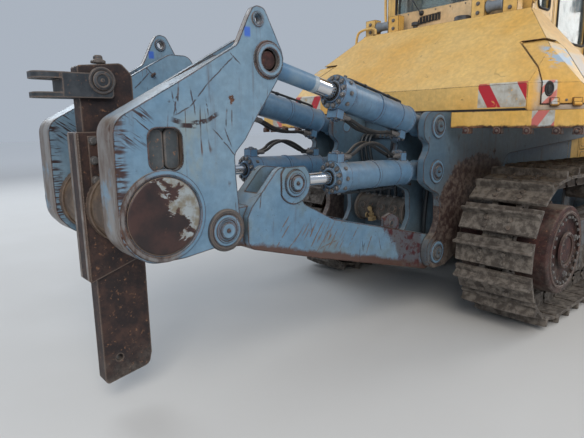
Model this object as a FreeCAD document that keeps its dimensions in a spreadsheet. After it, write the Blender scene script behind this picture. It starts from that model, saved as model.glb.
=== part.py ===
import FreeCAD, Part
import math
import os
import re
from types import SimpleNamespace

# A tracked bulldozer with a parallelogram ripper, as an assembly of separate named pieces.
# +X is forward, +Y the machine's left, +Z up, in millimetres. Heights start at the tips of the
# lower grousers. Lengths below are measured from the sprocket axle, and every finished piece is
# moved by -origin_x, so that the part's origin lies under the middle of the machine.

V = FreeCAD.Vector
TURNS = {"X": FreeCAD.Rotation(V(0, 1, 0), 90), "Y": FreeCAD.Rotation(V(1, 0, 0), -90),
         "Z": FreeCAD.Rotation()}

# Driving dimensions, in millimetres or degrees: alias, value, what it is
DIMENSIONS = [
    # Running gear
    ("track_gauge", 2186, "chain centre to chain centre"),
    ("shoe_width", 610, "across one track"),
    ("wheel_base", 3550, "sprocket axle to idler axle"),
    ("shoe_count", 44, "shoes on one track"),
    ("sprocket_pitch_radius", 495, "chain pins round the sprocket"),
    ("idler_pitch_radius", 455, "chain pins round the idler"),
    ("shoe_seat", 75, "chain pin to the shoe's inner face"),
    ("shoe_thickness", 22, "shoe plate"),
    ("grouser_height", 73, "grouser above its plate"),
    ("grouser_width", 22, "grouser at its tip"),
    ("shoe_gap", 12, "between two shoes"),
    ("rail_depth", 45, "chain pin to the rail face that the rollers run on"),
    ("rail_gap", 70, "chain centre to a rail's inner face"),
    ("rail_width", 50, "one link rail"),
    ("sprocket_teeth", 27, "teeth on a sprocket"),
    ("sprocket_width", 90, "across the teeth"),
    ("tooth_height", 60, "root to tip"),
    ("roller_radius", 125, "track roller"),
    ("roller_flange", 22, "roller's centre flange above its tread"),
    ("roller_count", 7, "track rollers on one side"),
    ("roller_shaft", 40, "roller shaft"),
    ("carrier_roller_radius", 85, "roller under the top run"),
    ("hub_radius", 360, "final drive drum"),
    ("hub_reach", 1420, "centre plane to the drum's outer cover"),
    ("hub_inner_radius", 300, "final drive casing inside the track"),
    ("hub_cover_radius", 300, "outer cover plate"),
    ("hub_cover_depth", 26, "drum rim to the cover plate"),
    ("frame_half_width", 148, "track frame, from the chain centre"),
    ("frame_rear", 570, "track frame's rear end"),
    ("frame_front", 2960, "front end of the track frame's box"),
    ("frame_low", 490, "track frame's underside"),
    ("frame_high", 760, "track frame's top"),
    ("fork_reach", 190, "fork past the idler's axle"),
    ("fork_width", 22, "one fork plate"),
    ("skirt_width", 20, "roller guards"),
    ("skirt_low", 262, "their lower edge"),
    ("pivot_x", 1250, "pivot shaft that carries the track frames"),
    ("pivot_radius", 110, "pivot shaft"),
    ("equalizer_x", 2700, "equalizer bar"),
    ("equalizer_radius", 80, "equalizer bar"),
    # Hull
    ("hull_half_width", 593, "hull side"),
    ("hull_rear", -430, "rear wall"),
    ("hull_front", 4050, "front end"),
    ("hull_low", 560, "belly"),
    ("hull_deck", 1100, "deck under the engine"),
    ("deck_start", 2350, "where the hull drops to the engine deck"),
    ("manhole_radius", 150, "dark round opening in the rear wall"),
    ("manhole_z", 1000, "its height"),
    ("wing_thickness", 60, "bracket plate on each hull side"),
    ("wing_front", 2570, "its front end"),
    ("arch_top", 1440, "its lower edge over the track"),
    ("inner_plate", 335, "centre plane to the middle of the inner bracket plate"),
    ("inner_plate_thickness", 50, "inner bracket plate"),
    ("bracket_top", 1770, "top of the brackets"),
    ("boss_radius", 134, "rounding of the brackets round the link's pins"),
    # Ripper pins
    ("tilt_base_x", -705, "tilt cylinder's pin on the hull"),
    ("tilt_base_z", 1658, "its height"),
    ("lift_base_x", -705, "lift cylinder's pin on the hull"),
    ("lift_base_z", 1301, "its height"),
    ("link_base_x", -654, "lower link's pin on the hull"),
    ("link_base_z", 626, "its height"),
    ("link_end_x", -2685, "carrier's pin on the lower link"),
    ("link_end_z", 1118, "its height"),
    ("lift_eye_x", -2174, "lift cylinder's pin on the lower link"),
    ("lift_eye_z", 1334, "its height"),
    ("tilt_eye_x", -2360, "tilt cylinder's pin on the carrier"),
    ("tilt_eye_z", 2043, "its height"),
    ("pin_radius", 50, "ripper pins"),
    ("cap_radius", 95, "pin caps"),
    ("cap_thickness", 12, "pin caps"),
    ("cylinder_line", 485, "centre plane to the cylinders' axes"),
    ("fit", 0.3, "clearance round a pin, rod or seated piece"),
    ("side_gap", 5, "clearance beside a piece that turns"),
    # Ripper carrier
    ("arm_outer", 587, "centre plane to the carrier's outer face"),
    ("arm_thickness", 203, "one carrier arm, across"),
    ("arm_wall", 40, "its plates"),
    ("tube_x", -3047, "cross tube's axis"),
    ("tube_z", 1243, "its height"),
    ("tube_radius", 198, "cross tube"),
    ("tube_proud", 4, "tube ends past the arms"),
    ("lifting_eye_x", -2430, "lifting eye"),
    ("lifting_eye_z", 2252, "its height"),
    ("lifting_eye_radius", 24, "its bore"),
    ("shank_rear", -3226, "shank's rear edge"),
    ("shank_depth", 300, "shank, front to rear"),
    ("shank_thickness", 100, "shank, across"),
    ("shank_foot", 165, "shank's lower end"),
    ("shank_top", 2035, "shank's upper end"),
    ("holder_wall", 46, "shank holder's front and rear walls"),
    ("holder_cheek", 21, "shank holder's side walls"),
    ("holder_top", 1662, "shank holder's upper end"),
    ("holder_foot", 815, "shank holder's lower end"),
    ("hitch_reach", 225, "clevis behind the shank"),
    ("hitch_z", 1905, "clevis centre height"),
    ("hitch_height", 130, "clevis"),
    ("hitch_cheek", 34, "one cheek beside the shank, or one prong"),
    ("hitch_bore", 26, "bore for the drawbar pin"),
    # Ripper link
    ("link_eye_radius", 95, "eye inside the carrier arm"),
    ("ear_radius", 112, "ear's rounding round the lift rod's pin"),
    ("doubler_radius", 128, "round plate on the ear"),
    ("doubler", 7, "its thickness"),
    ("collar_radius", 105, "collar on the carrier's pin, beside the arm"),
    ("collar_width", 22, "the collar"),
    ("flange_radius", 140, "flange inside the collar"),
    ("flange_width", 30, "the flange"),
    # Cylinders
    ("tilt_barrel_radius", 104, "tilt cylinder"),
    ("lift_barrel_radius", 100, "lift cylinder"),
    ("tilt_rod_radius", 54, "tilt rod"),
    ("lift_rod_radius", 43, "lift rod"),
    ("eye_radius", 84, "cylinder eyes"),
    ("eye_width", 112, "cylinder eyes, across"),
    ("barrel_start", 215, "pin to the full barrel"),
    ("tilt_barrel_length", 1050, "pin to the end of the tilt gland"),
    ("lift_barrel_length", 1050, "pin to the end of the lift gland"),
    ("gland_length", 110, "gland"),
    ("gland_step", 12, "gland past the barrel's radius"),
    ("neck_start", 62, "pin to the neck behind the barrel"),
    ("port_length", 70, "port block, along the barrel"),
    ("port_width", 92, "port block, across"),
    ("port_height", 52, "port block, over the barrel"),
    ("hose_radius", 13, "hydraulic hose"),
    # Tank and platform
    ("tank_rear", -501, "tank's lower rear strip"),
    ("tank_strip", 195, "upright strip under the leaning rear face"),
    ("tank_high", 2626, "tank's top"),
    ("tank_top_x", 247, "rear edge of its top"),
    ("tank_front", 440, "tank's front wall"),
    ("tank_face_half", 1236, "half the rear face's width"),
    ("tank_half", 1610, "half the tank's width over the fenders"),
    ("tank_top_half", 892, "half the top edge's width"),
    ("tank_corner_z", 2230, "where the upper corner planes start"),
    ("platform_rear", -626, "rear ledge"),
    ("ledge_start", 713, "centre plane to the ledge's inner end"),
    ("platform_half", 1660, "half the platform's width"),
    ("platform_high", 1764, "platform's top"),
    ("ledge_height", 123, "down-turned edge"),
    ("platform_front", 2350, "front end"),
    ("sheet", 20, "platform plating"),
    ("lug_height", 42, "lugs under the ledge"),
    ("lug_width", 60, "one lug"),
    ("hatch_thickness", 24, "corner hatch"),
    ("hatch_height", 470, "corner hatch, upright"),
    ("hatch_relief", 20, "room over the hatch, which swings out and up before it drops"),
    ("hatch_start", 100, "fold to the hatch's rear edge"),
    ("hatch_end", 440, "fold to its front edge"),
    ("panel_gap", 6, "round a hatch or door"),
    # Cab
    ("cab_rear", 500, "cab's rear wall"),
    ("cab_front", 2130, "cab's front wall"),
    ("cab_half", 790, "half the cab's width"),
    ("cab_floor", 60, "floor"),
    ("cab_sill", 2700, "where the rear glazing starts"),
    ("front_sill", 2620, "where the front glazing starts"),
    ("cab_top", 3560, "underside of the roof"),
    ("cab_wall", 60, "walls and doors"),
    ("cab_post", 110, "posts, along the wall"),
    ("roof_thickness", 120, "roof"),
    ("roof_overhang", 80, "past the walls"),
    ("door_rear", 960, "cab door's rear edge"),
    ("door_front", 1960, "cab door's front edge"),
    ("door_low", 1900, "cab door's lower edge"),
    ("door_high", 3470, "cab door's upper edge"),
    ("glass", 8, "panes"),
    ("hinge_radius", 14, "door hinge barrels"),
    # Hood
    ("hood_half", 590, "half the hood's width"),
    ("hood_rear", 2170, "hood's rear end"),
    ("hood_front", 3895, "hood's front end"),
    ("hood_rear_z", 2560, "hood's top at the cab"),
    ("hood_front_z", 2420, "hood's top at the radiator"),
    ("hood_sheet", 40, "hood panels"),
    ("engine_door_rear", 2640, "engine door's rear edge"),
    ("engine_door_front", 3640, "its front edge"),
    ("engine_door_low", 1330, "its lower edge"),
    ("guard_half", 640, "half the radiator guard's width"),
    ("guard_rear", 3900, "radiator guard's rear face"),
    ("guard_depth", 210, "front to rear"),
    ("guard_frame", 90, "its frame"),
    ("slat_count", 11, "grille slats"),
    ("stack_x", 3050, "exhaust stack"),
    ("stack_radius", 62, "its pipe"),
    ("stack_height", 760, "its pipe"),
    ("shield_radius", 100, "stack's heat shield"),
    ("cleaner_x", 2700, "air cleaner"),
    # Blade
    ("trunnion_x", 1700, "push arm's pivot"),
    ("trunnion_z", 620, "its height"),
    ("trunnion_radius", 75, "its stub"),
    ("push_arm_line", 1560, "centre plane to the push arm"),
    ("push_arm_width", 150, "across one arm"),
    ("push_arm_height", 250, "one arm"),
    ("blade_pin_x", 4700, "push arm's front pin"),
    ("blade_pin_z", 430, "its height"),
    ("blade_half", 2100, "half the blade's width"),
    ("blade_straight", 1450, "half the straight middle"),
    ("wing_angle", 22, "of the blade's wings"),
    ("blade_foot", 60, "cutting edge above the ground"),
    ("blade_height", 1640, "cutting edge to the top"),
    ("blade_x", 5120, "front of the moldboard at its foot"),
    ("blade_curve", 1350, "moldboard's front radius"),
    ("blade_skin", 40, "moldboard"),
    ("beam_back", 4800, "rear of the beams behind the moldboard"),
    ("edge_height", 260, "cutting edge"),
    ("edge_thickness", 38, "cutting edge"),
    ("trunnion_inset", 50, "radiator guard's rear face to the blade lift trunnion"),
    ("blade_lift_z", 2300, "its height"),
    ("blade_lift_line", 790, "centre plane to the blade lift cylinder"),
    ("blade_eye_x", 4750, "blade lift rod's eye"),
    ("blade_eye_z", 950, "its height"),
    ("blade_barrel_radius", 74, "blade lift barrel"),
    ("blade_rod_radius", 38, "blade lift rod"),
    ("blade_barrel_length", 760, "trunnion to the end of the gland"),
    ("blade_barrel_back", 300, "barrel past its trunnion"),
    ("brace_base_x", 3300, "pitch brace's pin on the arm"),
    ("brace_base_z", 720, "its height"),
    ("brace_eye_x", 4810, "pitch brace's pin on the blade"),
    ("brace_eye_z", 1250, "its height"),
    ("brace_radius", 70, "pitch brace"),
]

doc = FreeCAD.newDocument("bulldozer")
dims = doc.addObject("Spreadsheet::Sheet", "dims")
for row, (alias, value, note) in enumerate(DIMENSIONS, start=1):
    dims.set(f"A{row}", alias)
    dims.set(f"B{row}", str(value))
    dims.set(f"C{row}", note)
    dims.setAlias(f"B{row}", alias)
origin_cell = f"B{len(DIMENSIONS) + 1}"
dims.set(origin_cell, "0")
dims.setAlias(origin_cell, "origin_x")
doc.recompute()
d = SimpleNamespace(**{alias: float(dims.get(alias)) for alias, _, _ in DIMENSIONS})
parts = {}

# Sizes that follow from the driving ones
d.tip_reach = d.shoe_seat + d.shoe_thickness + d.grouser_height
d.sprocket_z = d.sprocket_pitch_radius + d.tip_reach
d.idler_z = d.idler_pitch_radius + d.tip_reach
d.chain_z = d.tip_reach
d.chain_line = d.track_gauge / 2
d.wing_outer = d.hull_half_width + d.wing_thickness
d.platform_low = d.platform_high - d.sheet
d.tank_crease = d.platform_high + d.tank_strip
d.guard_front = d.guard_rear + d.guard_depth
d.blade_lift_x = d.guard_rear + d.trunnion_inset


def bound(size):
    """The sheet's form of a size that is written with the sheet's own words."""
    return re.sub(r"[a-z]\w*", lambda word: "dims." + word.group(), size)


def bind(feature, **sizes):
    for name, size in sizes.items():
        feature.setExpression(name.replace("__", "."), bound(size))
    return feature


def place(feature, x, y, z, axis="Z"):
    feature.Placement = FreeCAD.Placement(V(x, y, z), TURNS[axis])
    return feature


def edges_of(points):
    """Lines and tangent arcs through points (u, v) or (u, v, corner radius)."""
    count = len(points)
    legs = []
    for i, point in enumerate(points):
        here = V(point[0], point[1], 0)
        radius = point[2] if len(point) > 2 else 0
        before = V(*points[i - 1][:2], 0) - here
        after = V(*points[(i + 1) % count][:2], 0) - here
        half = before.getAngle(after) / 2
        if not radius or abs(half - math.pi / 2) < 1e-3:
            legs.append((here, here, None))
            continue
        reach = radius / math.tan(half)
        start = here + before.normalize() * reach
        end = here + after.normalize() * reach
        middle = (before + after).normalize()
        centre = here + middle * (radius / math.sin(half))
        legs.append((start, end, centre - middle * radius))
    edges = []
    for i, (start, end, middle) in enumerate(legs):
        if middle is not None:
            edges.append(Part.Arc(start, middle, end))
        following = legs[(i + 1) % count][0]
        if end.distanceToPoint(following) > 1e-4:
            edges.append(Part.LineSegment(end, following))
    return edges


def outline(host, name, plane, points, holes=(), windows=(), offset=None):
    """A sketch on an origin plane: an outline, round holes (u, v, radius) and further outlines."""
    drawing = host.newObject("Sketcher::SketchObject", name)
    origin = [item for item in host.Origin.OriginFeatures if item.Role == plane + "_Plane"][0]
    drawing.AttachmentSupport = [(origin, "")]
    drawing.MapMode = "FlatFace"
    for loop in (points, *windows):
        drawing.addGeometry(edges_of(loop), False)
    for u, v, radius in holes:
        drawing.addGeometry(Part.Circle(V(u, v, 0), V(0, 0, 1), radius), False)
    if offset:
        drawing.setExpression("AttachmentOffset.Base.z", bound(offset))
    return drawing


def slab(name, plane, points, low, high, holes=(), windows=()):
    """A body: an outline on a plane, padded across it from one size to another."""
    host = doc.addObject("PartDesign::Body", name)
    start = f"-({high})" if plane == "XZ" else low
    profile = outline(host, name + "_outline", plane, points, holes, windows, start)
    pad = host.newObject("PartDesign::Pad", name + "_pad")
    pad.Profile = profile
    pad.setExpression("Length", bound(f"({high}) - ({low})"))
    host.Tip = pad
    profile.Visibility = False
    return host


def turned(name, points, centre, side=1):
    """A body turned about an axis along Y: points are (radius, y), y measured outward."""
    host = doc.addObject("PartDesign::Body", name)
    profile = outline(host, name + "_outline", "XY", [(p[0], side * p[1]) + tuple(p[2:]) for p in points])
    turn = host.newObject("PartDesign::Revolution", name + "_turn")
    turn.Profile = profile
    turn.ReferenceAxis = (profile, ["V_Axis"])
    turn.Angle = 360
    host.Tip = turn
    host.Placement.Base = V(*centre)
    return host


def rod(name, radius, length, start, axis="Y"):
    """A round bar from a point along an axis, its radius and length taken from the sheet."""
    bar = doc.addObject("Part::Cylinder", name)
    bind(bar, Radius=radius, Height=length)
    return place(bar, *start, axis)


def bar_between(name, radius, start, end):
    """A round bar between two points, for rods, barrels and rails."""
    start, end = V(*start), V(*end)
    bar = doc.addObject("Part::Cylinder", name)
    bind(bar, Radius=radius)
    bar.Height = (end - start).Length
    bar.Placement = FreeCAD.Placement(start, FreeCAD.Rotation(V(0, 0, 1), end - start))
    return bar


def block(name, low, high):
    """A box between two corners."""
    box = doc.addObject("Part::Box", name)
    box.Length, box.Width, box.Height = [b - a for a, b in zip(low, high)]
    box.Placement.Base = V(*low)
    return box


def join(name, *pieces):
    whole = doc.addObject("Part::MultiFuse", name)
    whole.Shapes = list(pieces)
    return whole


def gather(name, *pieces):
    whole = doc.addObject("Part::Compound", name)
    whole.Links = list(pieces)
    return whole


def carve(name, base, *tools):
    rest = doc.addObject("Part::Cut", name)
    rest.Base = base
    rest.Tool = tools[0] if len(tools) == 1 else join(name + "_tools", *tools)
    return rest


def flip(name, piece):
    """The same piece on the machine's other side."""
    mirror = doc.addObject("Part::Mirroring", name)
    mirror.Source = piece
    mirror.Normal = V(0, 1, 0)
    return mirror


def finish(node, piece):
    piece.Label = node
    piece.setExpression("Placement.Base.x", f"{piece.Placement.Base.x} - dims.origin_x")
    parts[node] = piece
    return piece


def pair(node, left):
    """A left piece and its mirror image, each a node of its own."""
    right = flip(node + "_right", left)
    finish(node + "_left", left)
    parts[node + "_right"] = right
    right.Label = node + "_right"


def both(name, left):
    """A left piece and its mirror image in one node, as solids that don't touch."""
    return gather(name, left, flip(name + "_mirror", left))


# Tracks

def belt_pins(count):
    """Chain pins along the pitch line, equally spaced: under the sprocket, forward, round, back."""
    rear, front = V(0, d.sprocket_z, 0), V(d.wheel_base, d.idler_z, 0)
    line = front - rear
    span = line.Length
    lean = math.asin((d.sprocket_pitch_radius - d.idler_pitch_radius) / span)
    top = math.atan2(line.y, line.x) + math.pi / 2 - lean
    run = math.sqrt(span**2 - (d.sprocket_pitch_radius - d.idler_pitch_radius) ** 2)
    front_turn, rear_turn = top + math.pi / 2, 1.5 * math.pi - top
    pitch = (2 * run + d.idler_pitch_radius * front_turn + d.sprocket_pitch_radius * rear_turn) / count
    pins = []
    for i in range(count):
        left = i * pitch
        if left < run:
            pins.append(V(left, d.chain_z, 0))
            continue
        left -= run
        if left < d.idler_pitch_radius * front_turn:
            angle = left / d.idler_pitch_radius - math.pi / 2
            pins.append(front + V(math.cos(angle), math.sin(angle), 0) * d.idler_pitch_radius)
            continue
        left -= d.idler_pitch_radius * front_turn
        if left < run:
            start = front + V(math.cos(top), math.sin(top), 0) * d.idler_pitch_radius
            pins.append(start + V(-math.sin(top), math.cos(top), 0) * left)
            continue
        angle = top + (left - run) / d.sprocket_pitch_radius
        pins.append(rear + V(math.cos(angle), math.sin(angle), 0) * d.sprocket_pitch_radius)
    return pins, pitch


def belt_frames(pins):
    """Middle, direction and outward normal of each link, and the mitre vector at its far pin."""
    frames = []
    for i, pin in enumerate(pins):
        following = pins[(i + 1) % len(pins)]
        beyond = pins[(i + 2) % len(pins)]
        along = (following - pin).normalize()
        onward = (beyond - following).normalize()
        out = V(along.y, -along.x, 0)
        mitre = (out + V(onward.y, -onward.x, 0)).normalize()
        frames.append(((pin + following) * 0.5, along, out, following, mitre / mitre.dot(out)))
    return frames


pins, pitch = belt_pins(int(d.shoe_count))
links = belt_frames(pins)
plate_out = d.shoe_seat + d.shoe_thickness
plate_half = (pitch - d.shoe_gap) / 2
tip_half = d.grouser_width / 2
shoe_profile = [
    (-plate_half, plate_out),
    (-2.2 * tip_half - pitch / 5, plate_out),
    (-tip_half - pitch / 5, d.tip_reach),
    (tip_half - pitch / 5, d.tip_reach),
    (2.2 * tip_half - pitch / 5, plate_out),
    (plate_half, plate_out),
]
shoes = []
for middle, along, out, joint, mitre in links:
    shoes += [middle + along * u + out * v for u, v in shoe_profile]
    shoes.append(joint + mitre * (d.shoe_seat + d.shoe_thickness / 3))
seat_line = [joint + mitre * d.shoe_seat for _, _, _, joint, mitre in links]
rail_line = [joint - mitre * d.rail_depth for _, _, _, joint, mitre in links]


def flat(points):
    return [(p.x, p.y) for p in points]


shoe_loop = slab("shoe_loop", "XZ", flat(shoes), "track_gauge / 2 - shoe_width / 2",
                 "track_gauge / 2 + shoe_width / 2", windows=[flat(seat_line)])
rails = [
    slab(f"rail_{i}", "XZ", flat(seat_line), f"track_gauge / 2 + {low}", f"track_gauge / 2 + {high}",
         windows=[flat(rail_line)])
    for i, (low, high) in enumerate((("rail_gap", "rail_gap + rail_width"),
                                     ("-rail_gap - rail_width", "-rail_gap")))
]
pair("track", join("track", shoe_loop, *rails))

# Idlers, rollers and the frames that carry them
rail_outer = d.rail_gap + d.rail_width
fork_inner = d.frame_half_width - d.fork_width
idler_rim = d.idler_pitch_radius * math.cos(pitch / 2 / d.idler_pitch_radius) - d.rail_depth - d.fit
roller_z = d.chain_z + d.rail_depth + d.fit + d.roller_radius
flange = d.rail_gap - d.side_gap


def wheel_profile(shaft, reach, half, tread, rise, web, web_half, hub, hub_half):
    """Half profile of a flanged wheel on its shaft, both sides of its middle."""
    side = [(0, reach), (shaft, reach), (shaft, hub_half), (hub, hub_half, 10), (hub + 20, web_half, 20),
            (web, web_half, 20), (web + 20, half, 8), (tread, half, 6), (tread, flange),
            (tread + rise, flange - 6, 4)]
    return side + [(p[0], -p[1]) + tuple(p[2:]) for p in reversed(side)]


idler = turned("idler_wheel", wheel_profile(70, fork_inner, rail_outer, idler_rim, 16, idler_rim - 80, 40,
                                            110, 100),
               (d.wheel_base, d.chain_line, d.idler_z))
roller_points = [(0, fork_inner), (d.roller_shaft, fork_inner), (d.roller_shaft, rail_outer + 4),
                 (90, rail_outer + 4, 6), (90, rail_outer), (d.roller_radius, rail_outer, 5),
                 (d.roller_radius, flange), (d.roller_radius + d.roller_flange, flange - 8, 4)]
roller_points += [(p[0], -p[1]) + tuple(p[2:]) for p in reversed(roller_points)]
roller_first, roller_last = d.frame_rear + 190, d.frame_front - 100
wheels = [idler]
for i in range(int(d.roller_count)):
    x = roller_first + i * (roller_last - roller_first) / (d.roller_count - 1)
    wheels.append(turned(f"track_roller_{i}", roller_points, (x, d.chain_line, roller_z)))
carrier_places = []
for x in (d.frame_rear + 700, d.frame_front - 420):
    share = x / d.wheel_base
    rear_rail, front_rail = d.sprocket_z + d.sprocket_pitch_radius, d.idler_z + d.idler_pitch_radius
    rail_z = rear_rail * (1 - share) + front_rail * share
    z = rail_z - d.rail_depth - d.carrier_roller_radius - 2 * d.fit
    carrier_places.append((x, z))
    profile = [(0, -fork_inner), (d.roller_shaft, -fork_inner), (d.roller_shaft, -rail_outer),
               (d.carrier_roller_radius, -rail_outer, 6), (d.carrier_roller_radius, rail_outer, 6),
               (0, rail_outer)]
    wheels.append(turned(f"carrier_roller_{int(x)}", profile, (x, d.chain_line, z)))
pair("rollers", gather("rollers", *wheels))

line = d.chain_line
frame_box = slab("frame_box", "XZ", [
    (d.frame_rear, d.frame_low + 60, 30), (d.frame_rear + 90, d.frame_low),
    (d.frame_front + 60, d.frame_low, 40),
    (d.frame_front + 60, d.frame_high - 40, 30), (d.frame_front - 120, d.frame_high),
    (d.frame_rear + 200, d.frame_high, 60),
    (d.frame_rear, d.frame_high - 90, 30)],
    "track_gauge / 2 - frame_half_width", "track_gauge / 2 + frame_half_width")
fork_outline = [(d.frame_front - 60, d.idler_z - 105, 20),
                (d.wheel_base + d.fork_reach, d.idler_z - 95, 90),
                (d.wheel_base + d.fork_reach, d.idler_z + 95, 90),
                (d.frame_front - 60, d.idler_z + 105, 20)]
fork_out = slab("fork_out", "XZ", fork_outline, "track_gauge / 2 + frame_half_width - fork_width",
                "track_gauge / 2 + frame_half_width")
fork_in = slab("fork_in", "XZ", fork_outline, "track_gauge / 2 - frame_half_width",
               "track_gauge / 2 - frame_half_width + fork_width")
skirt_outline = [(roller_first - 130, d.frame_low + 20), (roller_first - 60, d.skirt_low, 40),
                 (roller_last + 60, d.skirt_low, 40), (roller_last + 130, d.frame_low + 20)]
skirt_out = slab("skirt_out", "XZ", skirt_outline, "track_gauge / 2 + frame_half_width - skirt_width",
                 "track_gauge / 2 + frame_half_width")
skirt_in = slab("skirt_in", "XZ", skirt_outline, "track_gauge / 2 - frame_half_width",
                "track_gauge / 2 - frame_half_width + skirt_width")
posts = []
for i, (x, z) in enumerate(carrier_places):
    posts.append(slab(f"carrier_post_{i}", "XZ", [(x - 90, d.frame_high - 20), (x + 90, d.frame_high - 20),
                      (x + 60, z + 60, 50), (x - 60, z + 60, 50)],
                      "track_gauge / 2 - frame_half_width",
                      "track_gauge / 2 - frame_half_width + fork_width"))
stub = rod("trunnion_stub", "trunnion_radius",
           "push_arm_line + push_arm_width / 2 + 30 - track_gauge / 2 - frame_half_width",
           (d.trunnion_x, line + d.frame_half_width, d.trunnion_z))
stub_cap_y = d.push_arm_line + d.push_arm_width / 2 + d.side_gap
stub_cap = rod("trunnion_cap", "trunnion_radius + 30", "25", (d.trunnion_x, stub_cap_y, d.trunnion_z))
stub_collar = rod("trunnion_collar", "trunnion_radius + 45",
                  "push_arm_line - push_arm_width / 2 - side_gap - track_gauge / 2"
                  " - frame_half_width", (d.trunnion_x, line + d.frame_half_width, d.trunnion_z))
pair("track_frame", join("track_frame", frame_box, fork_out, fork_in, skirt_out, skirt_in, *posts,
                         stub, stub_cap, stub_collar))

# Final drives with their sprockets
drive_inner = line + d.sprocket_width / 2 + 12
drum = turned("drive_drum", [
    (0, d.wing_outer), (d.hub_inner_radius, d.wing_outer), (d.hub_inner_radius, drive_inner),
    (d.hub_radius, drive_inner, 12), (d.hub_radius, d.hub_reach, 18),
    (d.hub_cover_radius + 16, d.hub_reach, 8),
    (d.hub_cover_radius, d.hub_reach - d.hub_cover_depth, 6), (0, d.hub_reach - d.hub_cover_depth)],
    (0, 0, d.sprocket_z))
tooth_points = []
tip = d.sprocket_pitch_radius + 24
root = tip - d.tooth_height
for i in range(int(d.sprocket_teeth)):
    for share, radius in ((0.0, root), (0.32, root), (0.44, tip), (0.88, tip)):
        angle = 2 * math.pi * (i + share) / d.sprocket_teeth
        tooth_points.append((radius * math.cos(angle), d.sprocket_z + radius * math.sin(angle)))
sprocket = slab("sprocket_ring", "XZ", tooth_points, "track_gauge / 2 - sprocket_width / 2",
                "track_gauge / 2 + sprocket_width / 2",
                holes=[(0, d.sprocket_z, d.hub_inner_radius + d.fit)])
pair("final_drive", gather("final_drive", drum, sprocket))

# Hull, with the shafts that carry the track frames
platform_low = d.platform_low
hull_case = slab("hull_case", "XZ", [
    (d.hull_rear, platform_low), (d.hull_rear, d.hull_low + 150, 60), (d.hull_rear + 130, d.hull_low, 60),
    (d.hull_front - 420, d.hull_low, 200), (d.hull_front, d.hull_deck - 160, 60),
    (d.hull_front, d.hull_deck),
    (d.deck_start, d.hull_deck), (d.deck_start, platform_low)], "-hull_half_width", "hull_half_width")
manhole = rod("manhole", "manhole_radius", "60", (d.hull_rear, 0, d.manhole_z), "X")
pivot_reach = line - d.frame_half_width
pivot = rod("pivot_shaft", "pivot_radius", "track_gauge - 2 * frame_half_width",
            (d.pivot_x, -pivot_reach, d.trunnion_z))
equalizer = rod("equalizer_bar", "equalizer_radius", "track_gauge - 2 * frame_half_width",
                (d.equalizer_x, -pivot_reach, d.trunnion_z))
finish("hull", carve("hull", join("hull_mass", hull_case, pivot, equalizer), manhole))

# Rear brackets: an outer plate along each hull side and an inner plate behind the rear wall
rear_edge = [
    (d.tilt_base_x - 193, d.bracket_top, 110), (d.tilt_base_x - 193, d.tilt_base_z - 80, 90),
    (d.tilt_base_x - 112, d.tilt_base_z - 140, 30), (d.tilt_base_x - 125, d.tilt_base_z - 190, 30),
    (d.lift_base_x - 180, d.lift_base_z + 90, 80), (d.lift_base_x - 180, d.lift_base_z - 70, 80),
    (d.lift_base_x - 60, d.lift_base_z - 140, 60), (d.link_base_x + 10, d.lift_base_z - 190, 60),
    (d.link_base_x + 30, d.link_base_z + 260, 120), (d.link_base_x - 30, d.link_base_z + 160, 60),
    (d.link_base_x - d.boss_radius, d.link_base_z + 90, 90),
    (d.link_base_x - d.boss_radius, d.link_base_z - d.boss_radius, d.boss_radius - 2),
    (d.link_base_x + d.boss_radius, d.link_base_z - d.boss_radius, 60)]
rear_pins = [(d.tilt_base_x, d.tilt_base_z), (d.lift_base_x, d.lift_base_z),
             (d.link_base_x, d.link_base_z)]
bores = [(x, z, d.pin_radius + d.fit) for x, z in rear_pins]
outer_plate = slab("outer_bracket", "XZ", [(d.tank_rear - 4, d.bracket_top)] + rear_edge + [
    (d.hull_rear + 100, d.hull_low, 60), (d.frame_rear - 130, d.hull_low, 60),
    (d.frame_rear - 130, d.arch_top - 60, 160),
    (d.wing_front, d.arch_top + 40, 20), (d.wing_front, platform_low), (d.tank_rear - 4, platform_low)],
    "hull_half_width", "hull_half_width + wing_thickness", holes=bores)
inner_plate = slab("inner_bracket", "XZ", [
    (d.hull_rear, platform_low), (d.tank_rear - 4, platform_low),
    (d.tank_rear - 4, d.bracket_top)] + rear_edge[:-1] + [(d.hull_rear, d.link_base_z - d.boss_radius)],
                   "inner_plate - inner_plate_thickness / 2", "inner_plate + inner_plate_thickness / 2",
                   holes=bores)
pair("rear_bracket", gather("rear_bracket", outer_plate, inner_plate))

pin_start = d.inner_plate - d.inner_plate_thickness / 2
hull_pins = []
for i, (x, z) in enumerate(rear_pins):
    shaft = rod(f"hull_pin_{i}", "pin_radius",
                "hull_half_width + wing_thickness - inner_plate + inner_plate_thickness / 2",
                (x, pin_start, z))
    cap = rod(f"hull_pin_cap_{i}", "cap_radius", "cap_thickness", (x, d.wing_outer, z))
    hull_pins.append(both(f"hull_pin_pair_{i}", join(f"hull_pin_whole_{i}", shaft, cap)))
finish("hull_pins", gather("hull_pins", *hull_pins))

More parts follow.
